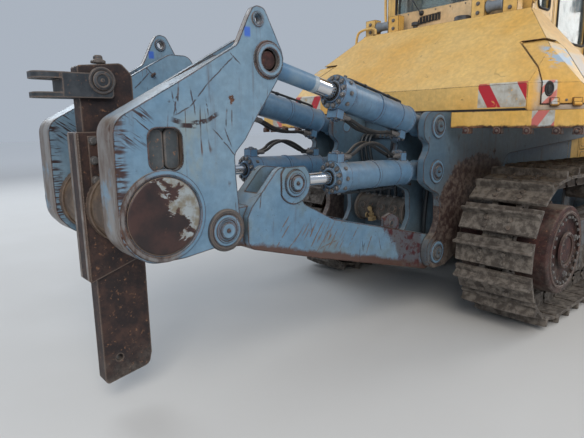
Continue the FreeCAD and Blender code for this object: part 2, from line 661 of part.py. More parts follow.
# Ripper link: two beams and a cross box, with ears for the lift rods
link_pin = V(d.link_base_x, 0, d.link_base_z)
end_pin = V(d.link_end_x, 0, d.link_end_z)
link_outer = d.hull_half_width - d.side_gap
link_inner = d.inner_plate + d.inner_plate_thickness / 2 + d.side_gap
eye_half = (d.arm_thickness / 2 - d.arm_wall) - d.side_gap
arm_line = d.arm_outer - d.arm_thickness / 2
pin_hole = d.pin_radius + d.fit
beam = slab("link_beam", "XZ", [
    (d.lift_eye_x - 362, d.link_end_z + 50, 20), (d.lift_eye_x - 330, d.lift_eye_z - 110, 40),
    (d.lift_eye_x - 122, d.lift_eye_z + d.ear_radius - 4, 80),
    (d.lift_eye_x + 64, d.lift_eye_z + d.ear_radius - 30, 70),
    (d.lift_eye_x + 62, d.lift_eye_z - 130, 60), (d.lift_eye_x + 350, d.lift_eye_z - 275, 150),
    (d.link_base_x - 190, d.link_base_z + 185, 90), (d.link_base_x + 20, d.link_base_z + 134, 120),
    (d.link_base_x + 134, d.link_base_z + 40, 90), (d.link_base_x + 134, d.link_base_z - 110, 100),
    (d.link_base_x - 60, d.link_base_z - 146, 90), (d.lift_eye_x + 200, d.lift_eye_z - 515, 60),
    (d.lift_eye_x - 334, d.link_end_z - 144, 40), (d.lift_eye_x - 362, d.link_end_z - 100, 20)],
    "inner_plate + inner_plate_thickness / 2 + side_gap", "hull_half_width - side_gap",
    holes=[(d.link_base_x, d.link_base_z, pin_hole)])
tongue = slab("link_tongue", "XZ", [
    (d.link_end_x - d.link_eye_radius, d.link_end_z + d.link_eye_radius, d.link_eye_radius - 1),
    (d.link_end_x - d.link_eye_radius, d.link_end_z - d.link_eye_radius, d.link_eye_radius - 1),
    (d.lift_eye_x - 300, d.link_end_z - 130), (d.lift_eye_x - 300, d.link_end_z + 110)],
    "arm_outer - arm_thickness + arm_wall + side_gap", "arm_outer - arm_wall - side_gap",
    holes=[(d.link_end_x, d.link_end_z, pin_hole)])
slot_half = d.eye_width / 2 + d.side_gap
ear_slot = block("ear_slot", (d.lift_eye_x - 260, d.cylinder_line - slot_half, d.lift_eye_z - 150),
                 (d.lift_eye_x + 500, d.cylinder_line + slot_half, d.lift_eye_z + 300))
ear_pins = []
for i, (y, depth) in enumerate(((d.cylinder_line + slot_half,
                                 "hull_half_width - side_gap + cap_thickness - cylinder_line"
                                 " - eye_width / 2 - side_gap"),
                                (link_inner, "cylinder_line - eye_width / 2 - side_gap - inner_plate"
                                 " - inner_plate_thickness / 2 - side_gap"))):
    ear_pins.append(rod(f"ear_pin_{i}", "pin_radius", depth, (d.lift_eye_x, y, d.lift_eye_z)))
ear_cap = rod("ear_cap", "cap_radius - 12", "cap_thickness + doubler",
              (d.lift_eye_x, link_outer, d.lift_eye_z))
doubler = rod("ear_doubler", "doubler_radius", "doubler", (d.lift_eye_x, link_outer, d.lift_eye_z))
ear_bounds = block("ear_bounds", (d.lift_eye_x - 110, link_outer - 1, d.lift_eye_z - 200),
                   (d.lift_eye_x + 200, link_outer + 20, d.lift_eye_z + d.ear_radius - 10))
plate = doc.addObject("Part::Common", "ear_plate")
plate.Base, plate.Tool = doubler, ear_bounds
left_link = join("left_link", carve("slotted_beam", join("plain_link", beam, tongue), ear_slot), *ear_pins,
                 ear_cap, plate)
cross_box = slab("cross_box", "XZ", [
    (d.lift_eye_x - 250, d.link_end_z - 120, 30), (d.lift_eye_x - 250, d.link_end_z + 20, 60),
    (d.lift_eye_x + 330, d.link_end_z - 100, 60), (d.lift_eye_x + 330, d.link_end_z - 270, 30)],
    "-inner_plate - inner_plate_thickness", "inner_plate + inner_plate_thickness")
lug_x, lug_z = d.link_base_x - 490, d.link_base_z + 300
lifting_lug = slab("link_lug", "XZ", [
    (lug_x - 96, lug_z - 66), (lug_x - 96, lug_z + 59, 20), (lug_x - 6, lug_z + 84, 40),
    (lug_x + 94, lug_z + 34, 30),
    (lug_x + 94, lug_z - 96)],
    "cylinder_line + 40", "cylinder_line + 70")
left_with_lug = join("left_with_lug", left_link, lifting_lug)
finish("ripper_link", join("ripper_link", left_with_lug, flip("right_link", left_with_lug), cross_box))

arm_inner = d.arm_outer - d.arm_thickness
flange_depth = d.collar_width + d.flange_width
end_shaft = rod("end_shaft", "pin_radius", "arm_thickness + cap_thickness",
                (d.link_end_x, arm_inner, d.link_end_z))
collar = rod("end_collar", "collar_radius", "collar_width",
             (d.link_end_x, arm_inner - d.collar_width - d.fit, d.link_end_z))
flange = rod("end_flange", "flange_radius", "flange_width + 2",
             (d.link_end_x, arm_inner - flange_depth - d.fit - 2, d.link_end_z))
inner_shaft = rod("inner_shaft", "pin_radius", "collar_width + 40",
                  (d.link_end_x, arm_inner - d.collar_width, d.link_end_z))
end_cap = rod("end_cap", "cap_radius - 5", "cap_thickness", (d.link_end_x, d.arm_outer, d.link_end_z))
finish("link_pins", both("link_pin_pair", join("link_pin", end_shaft, end_cap, collar, flange,
                                               inner_shaft)))

# Ripper carrier: box arms, cross tube, shank holder, shank and tow clevis
arm_front = [
    (d.tilt_eye_x + 98, d.tilt_eye_z + 60, 60), (d.tilt_eye_x + 112, d.tilt_eye_z + 10, 40),
    (d.tilt_eye_x + 62, d.tilt_eye_z - 110, 30), (d.tilt_eye_x - 90, d.tilt_eye_z - 310, 60),
    (d.link_end_x + 150, d.link_end_z + 490, 60), (d.link_end_x + 74, d.link_end_z + 415, 60),
    (d.link_end_x + 78, d.link_end_z + 290, 60), (d.link_end_x + 92, d.link_end_z + 112, 40),
    (d.link_end_x + 108, d.link_end_z - 60, 70), (d.link_end_x + 40, d.link_end_z - 126, 60),
    (d.link_end_x - 75, d.link_end_z - 88, 80)]
arm_rear = [
    (d.tube_x + 100, d.tube_z - 234, 180), (d.tube_x - 120, d.tube_z - 232, 180),
    (d.tube_x - 232, d.tube_z - 100, 150),
    (d.tube_x - 235, d.tube_z + 90, 90), (d.tube_x - 230, d.tube_z + 470, 110)]
slant_low, slant_high = (d.tilt_eye_x - 562, d.tilt_eye_z - 136), (d.tilt_eye_x - 250, d.tilt_eye_z + 40)
pointed_lobe = [slant_low + (200,), (d.tilt_eye_x - 210, d.tilt_eye_z + 66, 60),
                (d.lifting_eye_x - 56, d.lifting_eye_z + 20, 40),
                (d.lifting_eye_x - 20, d.lifting_eye_z + 74, 50),
                (d.lifting_eye_x + 48, d.lifting_eye_z + 62, 40)]
round_lobe = [slant_low + (200,), slant_high + (80,), (d.tilt_eye_x - 90, d.tilt_eye_z + 128, 80),
              (d.tilt_eye_x + 70, d.tilt_eye_z + 128, 80)]
window = [(-3112, 1470, 50), (-2930, 1470, 50), (-2930, 1680, 50), (-3112, 1680, 50)]
arm_bores = [(d.tube_x, d.tube_z, d.tube_radius + d.fit), (d.link_end_x, d.link_end_z, pin_hole)]
outer_arm = slab("outer_arm_plate", "XZ", arm_rear + pointed_lobe + arm_front, "arm_outer - arm_wall",
                 "arm_outer",
                 holes=arm_bores + [(d.lifting_eye_x, d.lifting_eye_z, d.lifting_eye_radius)],
                 windows=[window])
inner_arm = slab("inner_arm_plate", "XZ", arm_rear + round_lobe + arm_front, "arm_outer - arm_thickness",
                 "arm_outer - arm_thickness + arm_wall", holes=arm_bores, windows=[window])
core = slab("arm_core", "XZ", arm_rear + [
    slant_low + (200,), (d.tilt_eye_x - 215, d.tilt_eye_z + 40, 40),
    (d.tilt_eye_x - 195, d.tilt_eye_z - 60, 60),
    (d.tilt_eye_x - 205, d.tilt_eye_z - 250, 60), (d.link_end_x - 20, d.link_end_z + 400, 60),
    (d.link_end_x - 135, d.link_end_z + 120, 60), (d.link_end_x - 125, d.link_end_z - 60, 60),
    (d.tube_x + 180, d.tube_z - 222, 60)],
    "arm_outer - arm_thickness + arm_wall", "arm_outer - arm_wall", holes=arm_bores[:1], windows=[window])
tilt_pin_out = rod("tilt_pin_out", "pin_radius", "arm_wall",
                   (d.tilt_eye_x, d.arm_outer - d.arm_wall, d.tilt_eye_z))
tilt_cap = rod("tilt_cap", "cap_radius", "cap_thickness", (d.tilt_eye_x, d.arm_outer, d.tilt_eye_z))
tilt_hole = rod("tilt_cap_hole", "pin_radius + 12", "cap_thickness + 20",
                (d.tilt_eye_x, d.arm_outer - 12, d.tilt_eye_z))
arm = carve("arm_recess", join("arm_plates", outer_arm, inner_arm, core, tilt_pin_out, tilt_cap),
            tilt_hole)
pair("carrier_arm", arm)

holder_half = d.shank_thickness / 2 + d.holder_cheek
tube = rod("tube_half", "tube_radius", "arm_outer + tube_proud - shank_thickness / 2 - holder_cheek",
           (d.tube_x, holder_half, d.tube_z))
finish("cross_tube", both("cross_tube_pair", tube))

shank_front = d.shank_rear + d.shank_depth
pocket = [(d.shank_rear - d.fit, d.holder_foot - 50), (shank_front + d.fit, d.holder_foot - 50),
          (shank_front + d.fit, d.holder_top + 50), (d.shank_rear - d.fit, d.holder_top + 50)]
holder = slab("holder_case", "XZ", [
    (d.shank_rear - d.holder_wall, d.holder_foot, 15),
    (shank_front + d.holder_wall, d.holder_foot + 130, 20),
    (shank_front + d.holder_wall, d.holder_top, 12), (d.shank_rear - d.holder_wall, d.holder_top, 12)],
    "-shank_thickness / 2 - holder_cheek", "shank_thickness / 2 + holder_cheek")
pocket_tool = slab("holder_pocket", "XZ", pocket, "-shank_thickness / 2 - fit",
                   "shank_thickness / 2 + fit")
finish("shank_holder", carve("shank_holder", holder, pocket_tool))

shank_bore = (d.shank_rear + 95, d.shank_foot + 150, 22)
hitch_pin_x = d.shank_rear + 116
hitch_pin_z = d.hitch_z + 27
shank = slab("shank_bar", "XZ", [
    (d.shank_rear, d.shank_foot, 25), (shank_front - 20, d.shank_foot + 45, 40),
    (shank_front, d.shank_foot + 120, 40),
    (shank_front, d.shank_top - 60, 40), (shank_front - 60, d.shank_top, 40),
    (d.shank_rear, d.shank_top - 25, 15)],
    "-shank_thickness / 2", "shank_thickness / 2", holes=[shank_bore,
        (hitch_pin_x, hitch_pin_z, 40 + d.fit)])
finish("shank", shank)

hitch_low, hitch_high = d.hitch_z - d.hitch_height / 2, d.hitch_z + d.hitch_height / 2
hitch_half = d.shank_thickness / 2 + d.fit + d.hitch_cheek
cheek_outline = [(d.shank_rear - 90, hitch_low, 12), (d.shank_rear + 176, hitch_low, 20),
                 (d.shank_rear + 176, hitch_high, 30), (d.shank_rear - 90, hitch_high, 12)]
cheeks = [slab(f"hitch_cheek_{i}", "XZ", cheek_outline, low, high) for i, (low, high) in enumerate((
    ("shank_thickness / 2 + fit", "shank_thickness / 2 + fit + hitch_cheek"),
    ("-shank_thickness / 2 - fit - hitch_cheek", "-shank_thickness / 2 - fit")))]
hitch_block = block("hitch_block", (d.shank_rear - 90, -hitch_half, hitch_low),
                    (d.shank_rear - d.fit, hitch_half, hitch_high))
prong_outline = [(d.shank_rear - 60, -hitch_half), (d.shank_rear - 60, hitch_half),
                 (d.shank_rear - d.hitch_reach, hitch_half - 14, 52),
                 (d.shank_rear - d.hitch_reach, 14 - hitch_half, 52)]
hitch_bore = (d.shank_rear - d.hitch_reach + 62, 0, d.hitch_bore)
prongs = [slab(f"hitch_prong_{i}", "XY", prong_outline, low, high, holes=[hitch_bore]) for i,
          (low, high) in enumerate((
    ("hitch_z - hitch_height / 2", "hitch_z - hitch_height / 2 + hitch_cheek - 6"),
    ("hitch_z + hitch_height / 2 - hitch_cheek", "hitch_z + hitch_height / 2")))]
hitch_pin = rod("hitch_pin", "40", "shank_thickness + 2 * fit + 2 * hitch_cheek + 16",
                (hitch_pin_x, -hitch_half - 8, hitch_pin_z))
finish("tow_hitch", join("tow_hitch", *cheeks, hitch_block, *prongs, hitch_pin))


# Cylinders: an eye and barrel with a gland, and a rod with its eye

def toward(start, end):
    return (V(*end) - V(*start)).normalize()


def barrel(name, base, eye, line_y, radius, length, bore, back=None):
    """A barrel on the line from its base pin to the rod's pin, bored for the rod."""
    base, eye = V(base[0], line_y, base[1]), V(eye[0], line_y, eye[1])
    along = toward(base, eye)
    start = -back if back else d.barrel_start
    shell = bar_between(name + "_shell", radius, base + along * start,
                        base + along * (length - d.gland_length / 2))
    gland = bar_between(name + "_gland", f"{radius} + gland_step",
                        base + along * (length - d.gland_length), base + along * length)
    inside = d.eye_radius + 30 if not back else 10 - back
    hollow = bar_between(name + "_bore", f"{bore} + fit", base + along * inside,
                         base + along * (length + 50))
    pieces = [shell, gland]
    if not back:
        pieces.append(bar_between(name + "_neck", f"{radius} * 0.72", base + along * d.neck_start,
                                  base + along * (start + 5)))
        pieces.append(rod(name + "_eye", "eye_radius", "eye_width",
                          (base.x, line_y - d.eye_width / 2, base.z)))
        pin = rod(name + "_pin", "pin_radius + fit", "eye_width + 20",
                  (base.x, line_y - d.eye_width / 2 - 10, base.z))
        return carve(name, join(name + "_whole", *pieces), hollow, pin)
    return carve(name, join(name + "_whole", *pieces), hollow)


def port(name, middle, along, outward, radius):
    """A port block that stands on a barrel and is sunk 10 mm into its wall."""
    across = outward.cross(along)
    part = doc.addObject("Part::Box", name)
    bind(part, Length="port_length", Width="port_width", Height="port_height + 10")
    corner = middle - along * (d.port_length / 2) - across * (d.port_width / 2) + outward * (radius - 10)
    part.Placement = FreeCAD.Placement(corner, FreeCAD.Rotation(along, across, outward, "XYZ"))
    return part


def hose(name, corners):
    """A plain hose: straight runs joined by tangent arcs."""
    edges = []
    start = corners[0]
    for before, corner, after in zip(corners, corners[1:], corners[2:]):
        back, ahead = before - corner, after - corner
        reach = 0.45 * min(back.Length, ahead.Length)
        half = back.getAngle(ahead) / 2
        enter, leave = corner + back.normalize() * reach, corner + ahead.normalize() * reach
        inward = (back + ahead).normalize()
        middle = corner + inward * (reach / math.cos(half) - reach * math.tan(half))
        edges += [Part.makeLine(start, enter), Part.Arc(enter, middle, leave).toShape()]
        start = leave
    edges.append(Part.makeLine(start, corners[-1]))
    ring = Part.Wire(Part.makeCircle(d.hose_radius, corners[0], corners[1] - corners[0]))
    tube = doc.addObject("Part::Feature", name)
    tube.Shape = Part.Wire(edges).makePipeShell([ring], True, False)
    return tube


def piston_rod(name, base, eye, line_y, radius, inner):
    """A rod from inside the barrel to its eye, whose pin piece goes with it."""
    base, eye = V(base[0], line_y, base[1]), V(eye[0], line_y, eye[1])
    bar = bar_between(name + "_bar", radius, base + toward(base, eye) * inner, eye)
    end = rod(name + "_end", "eye_radius", "eye_width", (eye.x, line_y - d.eye_width / 2, eye.z))
    return join(name, bar, end)


lift_base, lift_eye = (d.lift_base_x, d.lift_base_z), (d.lift_eye_x, d.lift_eye_z)
tilt_base, tilt_eye = (d.tilt_base_x, d.tilt_base_z), (d.tilt_eye_x, d.tilt_eye_z)
blade_base, blade_eye = (d.blade_lift_x, d.blade_lift_z), (d.blade_eye_x, d.blade_eye_z)
side = d.cylinder_line
# Hose routes: distance from the base pin, offset from the barrel's plane, height over its axis
lift_route = [(959.6, 24, 138), (860, 24, 138), (770, 34, 215), (640, 44, 238), (500, 42, 185),
              (395, 22, 128), (310.4, 22, 128)]
tilt_route = [(959.6, 24, 142), (860, 24, 142), (740, 36, 178), (560, 44, 174), (410, 22, 132),
              (310.4, 22, 132)]


def ported(name, base, eye, radius, length, bore, outward_sign, route):
    """A cylinder's barrel with two port blocks, and the two hoses between them."""
    shell = barrel(name, base, eye, side, radius, length, bore)
    start, along = V(base[0], side, base[1]), toward((base[0], 0, base[1]), (eye[0], 0, eye[1]))
    outward = V(along.z, 0, -along.x) * outward_sign
    size = getattr(d, radius)
    blocks = []
    for end, distance, wall in (("gland", length - d.gland_length / 2, size + d.gland_step),
                                ("base", d.barrel_start + 60, size)):
        blocks.append(port(f"{name}_{end}_port", start + along * distance, along, outward, wall))
    hoses = []
    for lane, sign in (("outer", 1), ("inner", -1)):
        corners = [start + along * reach + V(0, sign * offset, 0) + outward * height for reach, offset,
                   height in route]
        hoses.append(hose(f"{name}_{lane}_hose", corners))
    return join(name + "_ported", shell, *blocks), gather(name + "_hoses", *hoses)


lift_barrel, lift_hoses = ported("lift_barrel", lift_base, lift_eye, "lift_barrel_radius",
                                 d.lift_barrel_length,
                                 "lift_rod_radius", 1, lift_route)
finish("lift_barrels", both("lift_barrels", lift_barrel))
finish("hoses_lift", both("hoses_lift", lift_hoses))
finish("lift_rods", both("lift_rods", piston_rod("lift_rod", lift_base, lift_eye, side, "lift_rod_radius",
                                                 330)))
tilt_barrel, tilt_hoses = ported("tilt_barrel", tilt_base, tilt_eye, "tilt_barrel_radius",
                                 d.tilt_barrel_length,
                                 "tilt_rod_radius", -1, tilt_route)
finish("tilt_barrels", both("tilt_barrels", tilt_barrel))
finish("hoses_tilt", both("hoses_tilt", tilt_hoses))
finish("tilt_rods", both("tilt_rods", piston_rod("tilt_rod", tilt_base, tilt_eye, side, "tilt_rod_radius",
                                                 300)))

blade_line = d.blade_lift_line
blade_barrel = barrel("blade_barrel", blade_base, blade_eye, blade_line, "blade_barrel_radius",
                      d.blade_barrel_length,
                      "blade_rod_radius", back=d.blade_barrel_back)
trunnions = rod("blade_trunnion", "32", "2 * blade_barrel_radius + 60",
                (d.blade_lift_x, blade_line - d.blade_barrel_radius - 30, d.blade_lift_z))
along = toward((d.blade_lift_x, 0, d.blade_lift_z), (d.blade_eye_x, 0, d.blade_eye_z))
middle = V(d.blade_lift_x, blade_line, d.blade_lift_z)
trunnion_core = bar_between("trunnion_core", "blade_rod_radius + fit", middle - along * 200,
                            middle + along * 200)
finish("blade_barrels", both("blade_barrels", join("blade_barrel_whole", blade_barrel,
                                                   carve("trunnions", trunnions, trunnion_core))))
blade_rod = bar_between("blade_rod_bar", "blade_rod_radius", middle + along * 400,
                        (d.blade_eye_x, blade_line, d.blade_eye_z))
blade_rod_end = rod("blade_rod_end", "70", "eye_width - 12",
                    (d.blade_eye_x, blade_line - d.eye_width / 2 + 6, d.blade_eye_z))
finish("blade_rods", both("blade_rods", join("blade_rod", blade_rod, blade_rod_end)))

# Platform over the fenders, with its down-turned ledge and the lugs under it
deck_points = [(d.tank_rear, -d.ledge_start), (d.platform_rear, -d.ledge_start),
               (d.platform_rear, -d.platform_half, 30),
               (d.platform_front, -d.platform_half, 80), (d.platform_front, d.platform_half, 80),
               (d.platform_rear, d.platform_half, 30), (d.platform_rear, d.ledge_start),
               (d.tank_rear, d.ledge_start)]
deck = slab("deck_sheet", "XY", deck_points, "platform_high - sheet", "platform_high")
rim = 14
fender_rim = [(d.platform_rear, d.ledge_start), (d.platform_rear, d.platform_half, 30),
              (d.platform_front, d.platform_half, 80), (d.platform_front, d.hull_half_width + 80),
              (d.platform_front - rim, d.hull_half_width + 80),
              (d.platform_front - rim, d.platform_half - rim, 66),
              (d.platform_rear + rim, d.platform_half - rim, 16), (d.platform_rear + rim, d.ledge_start)]
rim_left = slab("fender_rim", "XY", fender_rim, "platform_high - ledge_height", "platform_high")
lugs = []
for y in (846, 1091, 1306, 1501, 1630):
    low = (d.platform_rear, y - d.lug_width / 2, d.platform_high - d.ledge_height - d.lug_height)
    high = (d.platform_rear + 46, y + d.lug_width / 2, d.platform_high - d.ledge_height + 4)
    lugs.append(block(f"ledge_lug_{y}", low, high))
ledge = join("ledge_side", rim_left, *lugs)
finish("platform", join("platform", deck, ledge, flip("ledge_right", ledge)))

# Fuel tank: a leaning rear face whose corners fold forward
tank_blank = slab("tank_blank", "XZ", [
    (d.tank_rear, d.platform_high, 15), (d.tank_rear, d.tank_crease), (d.tank_top_x, d.tank_high),
    (d.tank_front, d.tank_high), (d.tank_front, d.platform_high)], "-tank_half", "tank_half")
crease_corner = V(d.tank_rear, d.tank_face_half, d.tank_crease)
lean = (d.tank_top_x - d.tank_rear) / (d.tank_high - d.tank_crease)
fold_corner = V(d.tank_rear + (d.tank_corner_z - d.tank_crease) * lean,
                d.tank_face_half + 15, d.tank_corner_z)
top_corner = V(d.tank_top_x, d.tank_top_half, d.tank_high)
outward = V(1, 1, 0).normalize()
corner_planes = [
    (crease_corner, V(-1, 1, 0).normalize()),
    (crease_corner, (fold_corner - crease_corner).cross(outward).normalize() * -1),
    (fold_corner, (top_corner - fold_corner).cross(V(1, 0, 0)).normalize())]


def beyond(name, point, normal):
    """A large box that lies wholly beyond a plane."""
    if normal.y < 0:
        normal = normal * -1
    box = doc.addObject("Part::Box", name)
    box.Length, box.Width, box.Height = 4000, 4000, 3000
    turn = FreeCAD.Rotation(V(0, 0, 1), normal)
    box.Placement = FreeCAD.Placement(point - turn.multVec(V(2000, 2000, 0)), turn)
    return box


corners = [beyond(f"corner_{i}", point, normal) for i, (point, normal) in enumerate(corner_planes)]
mirrored = [flip(f"corner_{i}_right", tool) for i, tool in enumerate(corners)]
tank_form = carve("tank_form", tank_blank, *corners, *mirrored)

# Corner hatches lie in the tank's skin, turned with its folds

def corner_prism(name, grow):
    box = doc.addObject("Part::Box", name)
    box.Length = d.hatch_end - d.hatch_start + 2 * grow
    box.Width = 900
    box.Height = d.hatch_height + 2 * grow
    turn = FreeCAD.Rotation(V(0, 0, 1), 45)
    start = V(crease_corner.x, crease_corner.y,
              d.platform_high + 46 - grow) + outward * (d.hatch_start - grow)
    box.Placement = FreeCAD.Placement(start - turn.multVec(V(0, 450, 0)), turn)
    return box


def inset(name, depth):
    """The tank's form moved in from its corner planes."""
    copy = doc.addObject("Part::Compound", name)
    copy.Links = [tank_form]
    copy.Placement.Base = V(1, -1, -0.47) * (depth / math.sqrt(2))
    return copy


hatch_prism = corner_prism("hatch_prism", 0)
recess_prism = corner_prism("recess_prism", d.panel_gap)
recess_prism.Height = recess_prism.Height.Value + d.hatch_relief
skin = carve("hatch_skin", tank_form, inset("hatch_back", d.hatch_thickness))
hatch_panel = doc.addObject("Part::Common", "hatch_panel")
hatch_panel.Base, hatch_panel.Tool = skin, hatch_prism
hatch_foot = d.platform_high + 46
facet_normal = V(-1, 1, 0).normalize()
hinge_line = V(crease_corner.x, crease_corner.y, hatch_foot - d.panel_gap / 2)
hinge_line += facet_normal * (d.hinge_radius + d.fit)
hatch_parts = [hatch_panel]
for i, start in enumerate((d.hatch_start + 60, d.hatch_end - 120)):
    hatch_parts.append(bar_between(f"hatch_hinge_{i}", "hinge_radius", hinge_line + outward * start,
                                   hinge_line + outward * (start + 60)))
    tab = block(f"hatch_hinge_tab_{i}", (0, 0, 0), (60, d.hinge_radius + d.fit + 6, 40))
    tab.Placement = FreeCAD.Placement(
        V(crease_corner.x, crease_corner.y, hatch_foot) + outward * start - facet_normal * 2,
        FreeCAD.Rotation(V(0, 0, 1), 45))
    hatch_parts.append(tab)
pair("corner_hatch", join("corner_hatch", *hatch_parts))
recess = doc.addObject("Part::Common", "hatch_recess")
recess.Base, recess.Tool = carve("recess_skin", tank_form,
                                 inset("recess_back", d.hatch_thickness + 2 * d.fit)), recess_prism
tank = carve("tank_recessed", tank_form, recess, flip("hatch_recess_right", recess))
mount_blocks = []
for i, (low, high) in enumerate(((500, 940), (-750, -320))):
    for j, part_y in enumerate((low, high - 130)):
        mount_blocks.append(block(f"tank_mount_{i}_{j}", (300, part_y, d.tank_high - 5),
                                  (400, part_y + 130, d.tank_high + 170)))
finish("fuel_tank", join("fuel_tank", tank, *mount_blocks))

# Cab: floor, front and rear walls, side frames round the doors, roof, panes, seat and console
floor_z = d.platform_high + d.cab_floor
inner_rear, inner_front = d.cab_rear + d.cab_wall, d.cab_front - d.cab_wall
finish("cab_floor", slab("cab_floor", "XY", [
    (d.cab_rear, -d.cab_half), (d.cab_front, -d.cab_half), (d.cab_front, d.cab_half),
    (d.cab_rear, d.cab_half)],
    "platform_high", "platform_high + cab_floor"))


def glazed(low, high, sill, top, radius=60):
    return [(low, sill, radius), (high, sill, radius), (high, top, radius), (low, top, radius)]


wall = [(-d.cab_half, floor_z), (d.cab_half, floor_z), (d.cab_half, d.cab_top), (-d.cab_half, d.cab_top)]
pane_half = d.cab_half - d.cab_post
rear_window = glazed(-pane_half, pane_half, d.cab_sill, d.cab_top - 90)
front_window = glazed(-pane_half, pane_half, d.front_sill, d.cab_top - 90)
finish("cab_rear", slab("cab_rear", "YZ", wall, "cab_rear", "cab_rear + cab_wall", windows=[rear_window]))
finish("cab_front", slab("cab_front", "YZ", wall, "cab_front - cab_wall", "cab_front",
                         windows=[front_window]))
gap = d.panel_gap
doorway = glazed(d.door_rear - gap, d.door_front + gap, d.door_low - gap, d.door_high + gap, 70)
quarter = glazed(inner_rear + 60, d.door_rear - 90, d.cab_sill, d.cab_top - 90, 40)
pair("cab_side", slab("cab_side", "XZ", [
    (inner_rear, floor_z), (inner_front, floor_z), (inner_front, d.cab_top), (inner_rear, d.cab_top)],
    "cab_half - cab_wall", "cab_half", windows=[doorway, quarter]))
roof_points = [(d.cab_rear - d.roof_overhang, -d.cab_half - d.roof_overhang / 2, 120),
               (d.cab_front + d.roof_overhang, -d.cab_half - d.roof_overhang / 2, 120),
               (d.cab_front + d.roof_overhang, d.cab_half + d.roof_overhang / 2, 120),
               (d.cab_rear - d.roof_overhang, d.cab_half + d.roof_overhang / 2, 120)]
roof_slab = slab("roof_slab", "XY", roof_points, "cab_top", "cab_top + roof_thickness - 40")
roof_cap = slab("roof_cap", "XY", [(x * 0.94 + 0.06 * (d.cab_rear + d.cab_front) / 2, y * 0.92, r) for x,
                                   y, r in roof_points],
                "cab_top + roof_thickness - 40", "cab_top + roof_thickness")
finish("cab_roof", join("cab_roof", roof_slab, roof_cap))


def shrunk(window, by):
    middle_u = sum(p[0] for p in window) / 4
    middle_v = sum(p[1] for p in window) / 4
    return [(p[0] + math.copysign(by, middle_u - p[0]), p[1] + math.copysign(by, middle_v - p[1]),
             p[2] - by) for p in window]


panes = [slab("rear_pane", "YZ", shrunk(rear_window, d.fit), "cab_rear + cab_wall / 2",
              "cab_rear + cab_wall / 2 + glass"),
         slab("front_pane", "YZ", shrunk(front_window, d.fit), "cab_front - cab_wall / 2 - glass",
              "cab_front - cab_wall / 2")]
quarter_pane = slab("quarter_pane", "XZ", shrunk(quarter, d.fit), "cab_half - cab_wall / 2 - glass",
                    "cab_half - cab_wall / 2")
finish("cab_glass", gather("cab_glass", *panes, both("quarter_panes", quarter_pane)))

door_outline = shrunk(doorway, gap)
door_window = glazed(d.door_rear + 110, d.door_front - 110, d.door_low + 560, d.door_high - 100, 70)
door_panel = slab("door_panel", "XZ", door_outline, "cab_half - cab_wall", "cab_half",
                  windows=[door_window])
door_hinge = (d.door_rear - gap - d.hinge_radius / 2, d.cab_half + d.fit + d.hinge_radius)
door_parts = [door_panel]
for i, z in enumerate((d.door_low + 220, d.door_high - 340)):
    door_parts.append(rod(f"door_hinge_{i}", "hinge_radius", "120", (*door_hinge, z), "Z"))
    door_parts.append(block(f"door_hinge_pad_{i}", (d.door_rear + 6, d.cab_half - 2, z),
                            (d.door_rear + 80, d.cab_half + 4, z + 120)))
    door_parts.append(block(f"door_hinge_tab_{i}", (door_hinge[0], d.cab_half + d.fit, z),
                            (d.door_rear + 80, d.cab_half + 12, z + 120)))
door_parts.append(block("door_handle", (d.door_front - 90, d.cab_half - 2, d.door_low + 430),
                        (d.door_front - 40, d.cab_half + 36, d.door_low + 560)))
pair("cab_door", join("cab_door", *door_parts))
pair("door_glass", slab("door_glass", "XZ", shrunk(door_window, d.fit),
                        "cab_half - cab_wall / 2 - glass / 2",
                        "cab_half - cab_wall / 2 + glass / 2"))

seat_x = d.cab_rear + 480
cushion = slab("seat_cushion", "XZ", [
    (seat_x, floor_z + 420, 40), (seat_x + 480, floor_z + 440, 50), (seat_x + 480, floor_z + 560, 50),
    (seat_x + 130, floor_z + 540, 60), (seat_x + 20, floor_z + 1180, 50),
    (seat_x - 110, floor_z + 1180, 50)], "-250", "250")
pedestal = slab("seat_pedestal", "XZ", [(seat_x + 40, floor_z), (seat_x + 420, floor_z),
                                        (seat_x + 360, floor_z + 440), (seat_x + 80, floor_z + 440)],
                "-170", "170")
finish("seat", join("seat", cushion, pedestal))
finish("console", slab("console", "XZ", [
    (d.cab_front - d.cab_wall - 330, floor_z, 0), (d.cab_front - d.cab_wall, floor_z),
    (d.cab_front - d.cab_wall, floor_z + 760, 0),
    (d.cab_front - d.cab_wall - 120, floor_z + 800, 40),
    (d.cab_front - d.cab_wall - 300, floor_z + 620, 50)], "-330", "330"))

# Engine, hood, engine doors, radiator guard and exhaust
hood_slope = (d.hood_front_z - d.hood_rear_z) / (d.hood_front - d.hood_rear)


def hood_z(x):
    return d.hood_rear_z + hood_slope * (x - d.hood_rear)


